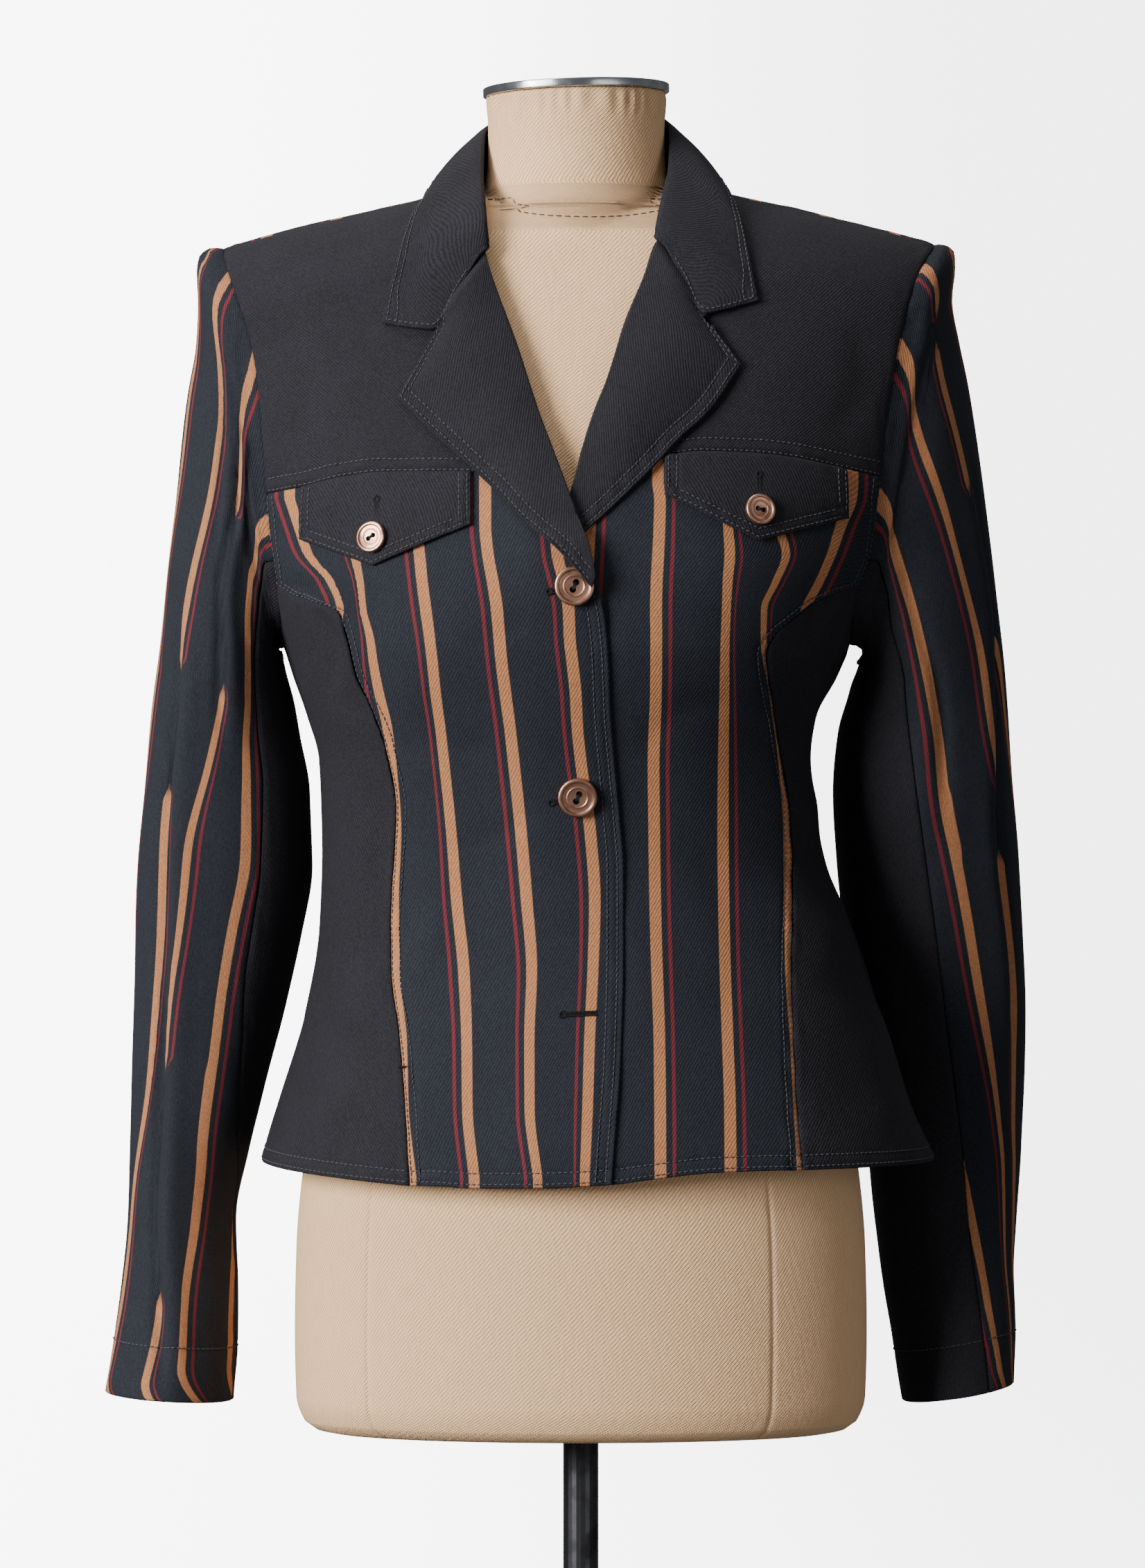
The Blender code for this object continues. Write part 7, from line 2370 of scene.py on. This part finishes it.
@dataclass
class Flaps:
    """The two pointed pocket flaps under the yoke seams."""

    panels: dict[int, Panel] = field(default_factory=dict)

    def panel(self, side: int) -> Panel:
        """One flap, hanging from the seam."""
        left_x, _, right_x, _, left_low, right_low, point_x, point_z = FLAPS[side]
        share = spaced(right_x - left_x, FLAP_CELL)
        point_share = (point_x - left_x) / (right_x - left_x)
        nearest = int(np.argmin(np.abs(share - point_share)))
        share[nearest] = point_share
        down = spaced(FLAP_LENGTH, FLAP_CELL_DOWN, low=False)
        x = mix(left_x, right_x, share)
        top = YOKE_SEAMS[side](x) - FLAP_TOP_BELOW_SEAM
        low = np.where(
            share <= point_share,
            mix(left_low, point_z, share / point_share),
            mix(point_z, right_low, (share - point_share) / (1 - point_share)),
        )
        z = mix(top[None, :], low[None, :], down[:, None])
        flat_x = np.broadcast_to(x[None, :], z.shape)
        points = SURFACE.at(flat_x, z, -1)
        normals = SURFACE.normal(points)
        sag = FLAP_SAG * np.sin(math.pi * down[:, None])
        lift = FLAP_LIFT + FLAP_CLOTH + FLAP_FLARE * down[:, None] + sag
        grid = points + normals * np.broadcast_to(lift, z.shape)[..., None]
        return Panel(grid, normals, "flap_" + SIDE_WORD[side] + "_cloth")

    def build(self) -> None:
        """Make and dress both."""
        for side in SIDES:
            panel = self.panel(side)
            panel = panel.moved(seam_relief(panel, ["bottom"], FLAP_ROWS))
            word = SIDE_WORD[side]
            piece = add_cloth(panel.reshaped(), Finish.BLACK, thickness=FLAP_CLOTH)
            declare_cloth(piece, panel, "flap_" + word, Held.HUNG)
            self.panels[side] = panel
            sewn("stitches_flap_" + word, panel, FLAP_ROWS, ("start", "end", "top")).build()
            edging = Stitching("buttonhole_flap_" + word, Finish.BUTTON_THREAD)
            Buttonhole(*FLAP_HOLES[side], FLAP_HOLE_LIFT).sew(edging)
            edging.build()


class Modeller:
    """Blender's own modelling tools, used as by hand."""

    @staticmethod
    def clear_selection() -> None:
        """Select nothing."""
        for piece in bpy.context.selected_objects:
            piece.select_set(False)

    @staticmethod
    def cylinder(name: str, radius: float, depth: float, height: float, steps: int) -> bpy.types.Object:
        """A new cylinder that stands on a height.

        Args:
            name: its name.
            radius: its radius.
            depth: how tall it is.
            height: the height of its underside.
            steps: how many sides it has.

        Returns:
            The object.
        """
        Modeller.clear_selection()
        bpy.ops.mesh.primitive_cylinder_add(
            vertices=steps, radius=radius, depth=depth, location=(0, 0, height + depth / 2)
        )
        piece = bpy.context.object
        piece.name = name
        piece.data.name = name
        bpy.ops.object.transform_apply(location=True, rotation=True, scale=True)
        return piece

    @staticmethod
    def select_facing(piece: bpy.types.Object, upward: float) -> None:
        """In edit mode, select only the highest faces that look up (1) or the lowest that look down (-1)."""
        bpy.ops.object.mode_set(mode="OBJECT")
        mesh = piece.data
        for element in (*mesh.polygons, *mesh.edges, *mesh.vertices):
            element.select = False
        looking = [face for face in mesh.polygons if face.normal.z * upward > 0.99]
        extreme = max(face.center.z * upward for face in looking)
        for face in looking:
            face.select = face.center.z * upward > extreme - 1e-6
        bpy.ops.object.mode_set(mode="EDIT")

    @staticmethod
    def inset(thickness: float, depth: float) -> None:
        """Inset the selected faces and sink or raise them."""
        bpy.ops.mesh.inset(thickness=thickness, depth=0.0)
        if depth:
            bpy.ops.transform.translate(value=(0, 0, depth))

    @staticmethod
    def apply(piece: bpy.types.Object, name: str) -> None:
        """Apply a modifier."""
        Modeller.clear_selection()
        piece.select_set(True)
        bpy.context.view_layer.objects.active = piece
        bpy.ops.object.modifier_apply(modifier=name)

    @staticmethod
    def soften(piece: bpy.types.Object, width: float, segments: int, angle: float = 30.0) -> None:
        """Round the piece's edges and smooth its shading."""
        bevel = piece.modifiers.new("Round", "BEVEL")
        bevel.width = width
        bevel.segments = segments
        bevel.limit_method = "ANGLE"
        bevel.angle_limit = math.radians(angle)
        Modeller.apply(piece, bevel.name)
        bpy.ops.object.shade_smooth_by_angle(angle=math.radians(40))

    @staticmethod
    def place(piece: bpy.types.Object, point: Array, normal: Array, turn: float = 0.0) -> None:
        """Put a piece that was made along +Z at a point, along a direction, its place kept in its mesh."""
        about = Vector((0, 0, 1)).rotation_difference(Vector(normal))
        matrix = about.to_matrix().to_4x4() @ Matrix.Rotation(math.radians(turn), 4, "Z")
        matrix.translation = Vector(point)
        piece.data.transform(matrix)
        piece.data.update()


@dataclass
class Button:
    """A metal button with a raised rim, a ring inside it and two holes with thread through them."""

    name: str
    node: str
    radius: float
    depth: float
    place: tuple[float, float]
    lift: float
    turn: float
    hole: float = 0.165
    hole_aside: float = 0.20
    strand: float = 0.026
    strand_gap: float = 0.045

    def build(self) -> None:
        """Make, dress and place it."""
        button = self.disc()
        point = SURFACE.at(self.place[0], self.place[1], -1)
        normal = SURFACE.normal(point)
        base = point + normal * self.lift
        thread = self.thread()
        for piece, finish in ((button, Finish.COPPER), (thread, Finish.BUTTON_THREAD)):
            Modeller.place(piece, base, normal, self.turn)
            WARDROBE.dress(piece, finish)
            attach(piece, BODY_NAME)
        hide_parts(self.node)

    def disc(self) -> bpy.types.Object:
        """The button itself, lying flat on the origin."""
        radius, depth = self.radius, self.depth
        piece = Modeller.cylinder(self.name, radius, depth * 0.86, 0.0, 64)
        Modeller.select_facing(piece, 1)
        for width, rise in BUTTON_PROFILE:
            Modeller.inset(radius * width, depth * rise)
        bpy.ops.object.mode_set(mode="OBJECT")
        Modeller.soften(piece, radius * 0.016, 2, 12.0)
        for side in SIDES:
            drill = Modeller.cylinder(self.name + "_drill", radius * self.hole, depth * 4, -depth, 24)
            drill.data.transform(Matrix.Translation((side * radius * self.hole_aside, 0, 0)))
            cut = piece.modifiers.new("Hole", "BOOLEAN")
            cut.operation = "DIFFERENCE"
            cut.object = drill
            Modeller.apply(piece, cut.name)
            bpy.data.objects.remove(drill)
        return piece

    def thread(self) -> bpy.types.Object:
        """The strands that run from hole to hole, and down the shank behind."""
        radius, depth = self.radius, self.depth
        lines = []
        half = radius * 0.19
        for k in range(4):
            aside = (k - 1.5) * radius * self.strand_gap
            top = depth * 0.52
            arch = [
                (-half, -0.0002), (-half, top * 0.8), (-half * 0.82, top + 0.0003), (0.0, top + 0.0006),
                (half * 0.82, top + 0.0003), (half, top * 0.8), (half, -0.0002),
            ]
            lines.append(np.array([(x, aside, z) for x, z in arch]))
        points, faces = tubes(lines, radius * self.strand, 6)
        return add_mesh(self.name + "_thread", points, faces)


def tubes(lines: Sequence[Array], radius: float, sides: int) -> tuple[Array, list]:
    """Closed round strands along lines of points.

    Args:
        lines: the middle line of each strand.
        radius: the strands' radius.
        sides: how many sides a strand has.

    Returns:
        Points and faces.
    """
    points, faces = [], []
    for line in lines:
        base = len(points)
        tangents = unit(np.gradient(line, axis=0))
        across = unit(np.cross(tangents, np.array([0.31, 0.87, 0.38])))
        other = np.cross(tangents, across)
        for place, first, second in zip(line, across, other):
            for k in range(sides):
                turn = 2 * math.pi * k / sides
                points.append(place + (first * math.cos(turn) + second * math.sin(turn)) * radius)
        for r in range(len(line) - 1):
            for k in range(sides):
                a, b = base + r * sides + k, base + r * sides + (k + 1) % sides
                faces.append([a, b, b + sides, a + sides])
        last = base + (len(line) - 1) * sides
        faces.append([base + k for k in reversed(range(sides))])
        faces.append([last + k for k in range(sides)])
    return np.array(points), faces


@dataclass
class DressForm:
    """The canvas torso with its neck and plate, on a pole and a round base."""

    steps: int = 180
    neck_seam: float = 1.352
    stitches_below: float = 0.0012
    neck_dip: float = 0.0125
    seam_depth: float = 0.0010
    seam_width: float = 0.0014
    neck_seam_depth: float = 0.0009
    neck_seam_width: float = 0.0011
    welt: float = 0.0004
    welt_above: float = 0.006
    welt_width: float = 0.004
    gathers: int = 31
    gather_depth: float = 0.0007
    gathers_from: float = 1.396
    floor_share: float = 0.965
    seams: tuple = (0.0, 0.1355, 0.3817, 0.5, 0.6183, 0.8645)

    def __post_init__(self) -> None:
        """Read the form's tables into curves."""
        self.body, self.neck = columns(FORM), columns(NECK)
        even = np.arange(self.steps) / self.steps
        beside = np.array([-0.0045, -0.0030, -0.0018, -0.0009, 0.0, 0.0009, 0.0018, 0.0030, 0.0045])
        fine = (np.array(self.seams)[:, None] + beside[None, :]).ravel() % 1.0
        far = np.abs((even[:, None] - np.array(self.seams)[None, :] + 0.5) % 1.0 - 0.5).min(axis=1) > 0.0050
        self.girth = np.sort(np.concatenate([even[far], fine]))

    def ridge(self, x: Array) -> Array:
        """The height of the shoulders under the cloth."""
        gap = mix(FORM_GAP, FORM_NECK_GAP, ease((0.135 - np.abs(x)) / 0.040))
        return SURFACE.shoulder(x) - CLOTH - gap

    def reach(self, side: int, width: float, z: float) -> float:
        """How far the shoulder reaches at a height, where the ridge comes down to it."""
        if float(self.ridge(side * width)) >= z:
            return width
        across = np.linspace(0, width, 400)
        below = np.nonzero(self.ridge(side * across) < z)[0]
        return float(across[max(int(below[0]) - 1, 0)]) if len(below) else width

    def ring(self, z: float) -> Array:
        """One closed line round the form at a height."""
        right, left, front, back = (float(curve(z)) for curve in self.body)
        neck_half, neck_front, neck_back = (float(curve(z)) for curve in self.neck)
        widths = {-1: self.reach(-1, right, z), 1: self.reach(1, left, z)}
        if z > NECK_WIDENS:
            widths = {side: max(width, neck_half + side * NECK_MIDDLE) for side, width in widths.items()}
        middle, half = (widths[1] - widths[-1]) / 2, (widths[1] + widths[-1]) / 2
        turn = 2 * math.pi * self.girth
        x = middle + half * np.cos(turn)
        front_side = np.sin(turn) > 0
        wide = np.where(x < 0, right, left)
        spread = np.minimum(np.abs(x) / wide, 1.0)
        depth = np.maximum(1 - spread ** 2, 0.0) ** np.where(front_side, 0.45, 0.5)
        rise = np.maximum(1 - (self.ridge(x) - z) / SHOULDER_ROUND, 0.0)
        depth = depth * np.sqrt(np.maximum(1 - rise ** 2, 0.0)) * np.where(front_side, front, back)
        if z > NECK_DEEPENS:
            across = (x - NECK_MIDDLE) / neck_half
            round_neck = np.sqrt(np.maximum(1 - across ** 2, 0.0))
            depth = np.maximum(depth, round_neck * np.where(front_side, neck_front, neck_back))
        depth = np.where(np.abs(np.sin(turn)) < 1e-9, 0.0, depth)
        tilt = NECK_TILT * x * ease((z - NECK_TILTS) / NECK_TILT_RAMP)
        return stack(x, np.where(front_side, -depth, depth), z + tilt)

    def seam_height(self, x: Array) -> Array:
        """The height of the seam round the neck, lower in the middle of the front."""
        return self.neck_seam - self.neck_dip * (1 - np.minimum(np.abs(x + 0.001) / 0.052, 1.0) ** 2)

    def torso(self) -> None:
        """The canvas torso and neck, with its seams pressed in."""
        heights = np.unique(np.concatenate([
            np.linspace(FORM_FLOOR + 0.0015, NECK_FOOT, 150), np.linspace(NECK_FOOT, FORM_TOP, 70),
            [0.621, 0.627, 0.640],
        ]))
        rings = np.array([self.ring(z) for z in heights])
        closed = np.concatenate([rings[:, -1:], rings, rings[:, :1]], axis=1)
        normals = grid_normals(closed, closed * np.array([1, 1, 0.0]))[:, 1:-1]
        x, z = rings[..., 0], rings[..., 2]
        lift = np.zeros(rings.shape[:2])
        for column in self.seams:
            away = np.abs(np.mod(self.girth - column + 0.5, 1.0) - 0.5) * 0.95
            lift -= self.seam_depth * bump(away[None, :], self.seam_width) * (z < NECK_FOOT)
        above = z - self.seam_height(x)
        lift -= self.neck_seam_depth * bump(above, self.neck_seam_width) * (z > NECK_FOOT)
        lift += self.welt * bump(above - self.welt_above, self.welt_width) * (z > NECK_FOOT)
        wave = np.sin(self.girth * 2 * math.pi * self.gathers + 2 * np.sin(self.girth * 44))[None, :]
        top = ease((z - self.gathers_from) / 0.014) * ease((FORM_TOP - z) / 0.004 + 0.3)
        lift += self.gather_depth * wave * top
        points = rings + normals * lift[..., None]
        floor_ring = points[:1] * np.array([self.floor_share, self.floor_share, 1.0])
        floor_ring[..., 2] = FORM_FLOOR
        points = np.concatenate([floor_ring, points])
        rows = len(points)
        steps = len(self.girth)
        index = np.arange(rows * steps).reshape(rows, steps)
        after = np.roll(index, -1, axis=1)
        quads = np.stack([index[:-1], index[1:], after[1:], after[:-1]], axis=-1).reshape(-1, 4)
        faces = quads.tolist()
        faces.append(index[0].tolist())
        faces.append(index[-1][::-1].tolist())
        girth = self.girth[None, :] * np.ones((rows, 1))
        across = np.concatenate([rings[:1], rings])[..., 0]
        width = across.max(axis=1) - across.min(axis=1)
        around = girth * (width[:, None] * 2.6)
        uv = stack(around, points[..., 2]).reshape(-1, 2)
        piece = add_mesh("form_canvas", points.reshape(-1, 3), faces, uv)
        WARDROBE.dress(piece, Finish.CANVAS)
        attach(piece, BODY_NAME)
        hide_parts("form_torso")
        self.neck_stitches(rings, normals)

    def neck_stitches(self, rings: Array, normals: Array) -> None:
        """The brown stitches just below the seam round the neck, at the front."""
        threads = Stitching(
            "stitches_neck", Finish.CANVAS_THREAD, pitch=0.0052, length=0.0036, radius=0.00034
        )
        high = rings[:, 0, 2] > NECK_FOOT
        front = [k for k in range(rings.shape[1]) if 0.03 < self.girth[k] < 0.47]
        line, out = [], []
        for k in front:
            column, directions = rings[high, k], normals[high, k]
            height = float(self.seam_height(column[:, 0].mean())) - self.stitches_below
            line.append(sampled(column, column[:, 2], height))
            out.append(sampled(directions, column[:, 2], height))
        threads.row((np.array(line), unit(np.array(out))))
        threads.build()

    def cap(self) -> None:
        """The bright plate on the neck: a thin disc with a rolled rim and a low dome."""
        piece = Modeller.cylinder("neck_plate", CAP_RADIUS, CAP_DEPTH, 0.0, 128)
        Modeller.select_facing(piece, 1)
        for width, rise in CAP_PROFILE:
            Modeller.inset(width, rise)
        bpy.ops.object.mode_set(mode="OBJECT")
        Modeller.soften(piece, 0.0009, 3, 25.0)
        normal = np.array([-NECK_TILT, 0.0, 1.0])
        height = FORM_TOP + NECK_TILT * NECK_MIDDLE + FIT_GAP
        Modeller.place(piece, np.array([NECK_MIDDLE, 0.0, height]), unit(normal))
        WARDROBE.dress(piece, Finish.PLATE)
        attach(piece, BODY_NAME)
        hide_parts("form_cap")

    def build(self) -> None:
        """Make the torso and the plate, and finish the pole and the base."""
        self.torso()
        self.cap()
        for node, finish in (("form_pole", Finish.STEEL), ("form_base", Finish.IRON)):
            piece = FRAME["nodes"][node]
            for k in range(len(piece.material_slots)):
                piece.material_slots[k].material = WARDROBE.material(finish)


@dataclass
class Studio:
    """A pale floor and wall, soft light from the camera's left, and the camera."""

    floor_size: float = 42.0
    wall_y: float = 13.8
    wall_height: float = 27.0
    sweep: float = 3.6
    sky: tuple[float, float, float] = (0.93, 0.96, 1.0)
    sky_strength: float = 0.15

    def build(self) -> None:
        """Make the floor, the wall, the lights and the camera."""
        self.backdrop()
        self.world()
        for light in LIGHTS:
            self.light(*light)
        camera = bpy.data.cameras.new("photo_camera")
        camera.lens = CAMERA_LENS
        camera.sensor_width = 36.0
        camera.sensor_fit = "AUTO"
        camera.clip_start = 0.1
        camera.clip_end = 60.0
        piece = bpy.data.objects.new("photo_camera", camera)
        piece.location = CAMERA_PLACE
        piece.rotation_euler = (math.pi / 2, 0.0, 0.0)
        bpy.context.scene.collection.objects.link(piece)
        bpy.context.scene.camera = piece

    def backdrop(self) -> None:
        """The floor, which sweeps up into a wall behind."""
        half = self.floor_size / 2
        profile = [(-half, 0.0), (self.wall_y - self.sweep, 0.0)]
        for k in range(1, 13):
            turn = math.pi / 2 * k / 12
            rise = self.sweep * (1 - math.cos(turn))
            profile.append((self.wall_y - self.sweep * (1 - math.sin(turn)), rise))
        profile.append((self.wall_y, self.wall_height))
        points = [(x, y, z) for x in (-half, half) for y, z in profile]
        count = len(profile)
        faces = [[k, k + 1, count + k + 1, count + k] for k in range(count - 1)]
        piece = add_mesh("studio_sweep", points, [face[::-1] for face in faces])
        # The paper glows brighter at the left than at the right: painted light falling from the left
        paper = Paper("studio_paper", (0.88, 0.885, 0.885), (1.0, 1.0, 1.0), (0.56, 0.563, 0.555), 8.0)
        piece.data.materials.append(paper.build())
        piece.visible_diffuse = False
        piece.visible_glossy = False
        piece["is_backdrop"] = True

    def world(self) -> None:
        """Even pale light from all round."""
        world = bpy.data.worlds.new("studio_world")
        world.use_nodes = True
        inputs = world.node_tree.nodes["Background"].inputs
        inputs["Color"].default_value = (*self.sky, 1.0)
        inputs["Strength"].default_value = self.sky_strength
        bpy.context.scene.world = world

    def light(self, name: str, place: tuple, target: tuple, size: float, power: float) -> None:
        """Add a soft square light.

        Args:
            name: its name.
            place: where it stands.
            target: what it points at.
            size: how wide it is.
            power: its power in watts.
        """
        lamp = bpy.data.lights.new(name, "AREA")
        lamp.shape = "SQUARE"
        lamp.size = size
        lamp.energy = power
        piece = bpy.data.objects.new(name, lamp)
        piece.location = place
        piece.rotation_euler = (Vector(target) - Vector(place)).to_track_quat("-Z", "Y").to_euler()
        bpy.context.scene.collection.objects.link(piece)


FRAME: dict = {}


def main() -> None:
    """Build every sub-assembly in order."""
    logging.basicConfig(level=logging.INFO, format="%(message)s")
    FRAME.update(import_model())
    solid_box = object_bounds()
    Studio().build()
    body = BlazerBody()
    body.build()
    LOG.info("body of the blazer: %d pieces", len(body.panels))
    lapels = Lapels()
    lapels.build()
    LOG.info("lapels: %d pieces", len(lapels.panels))
    collar = Collar()
    collar.build()
    LOG.info("collar done")
    for side in SIDES:
        Sleeve(side).build()
        LOG.info("%s sleeve done", SIDE_WORD[side])
    flaps = Flaps()
    flaps.build()
    LOG.info("flaps: %d pieces", len(flaps.panels))
    for side in SIDES:
        word = SIDE_WORD[side]
        lift = FLAP_LIFT + FLAP_CLOTH + FLAP_FLARE + FLAP_BUTTON_GAP
        Button("flap_copper_" + word, "flap_button_" + word, FLAP_BUTTON_RADIUS, FLAP_BUTTON_DEPTH,
               FLAP_BUTTONS[side], lift, FLAP_BUTTON_TURN).build()
    for word, place in FRONT_BUTTONS.items():
        lift = float(lap_lift(*place)) + BUTTON_GAP
        Button("front_copper_" + word, "front_button_" + word, FRONT_BUTTON_RADIUS, FRONT_BUTTON_DEPTH,
               place, lift, FRONT_BUTTON_TURN).build()
    LOG.info("buttons done")
    DressForm().build()
    LOG.info("dress form done")
    boxes = {"solids": solid_box, "dressed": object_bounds()}
    {key: [list(corner) for corner in box] for key, box in boxes.items()}


if __name__ == "__main__":
    main()
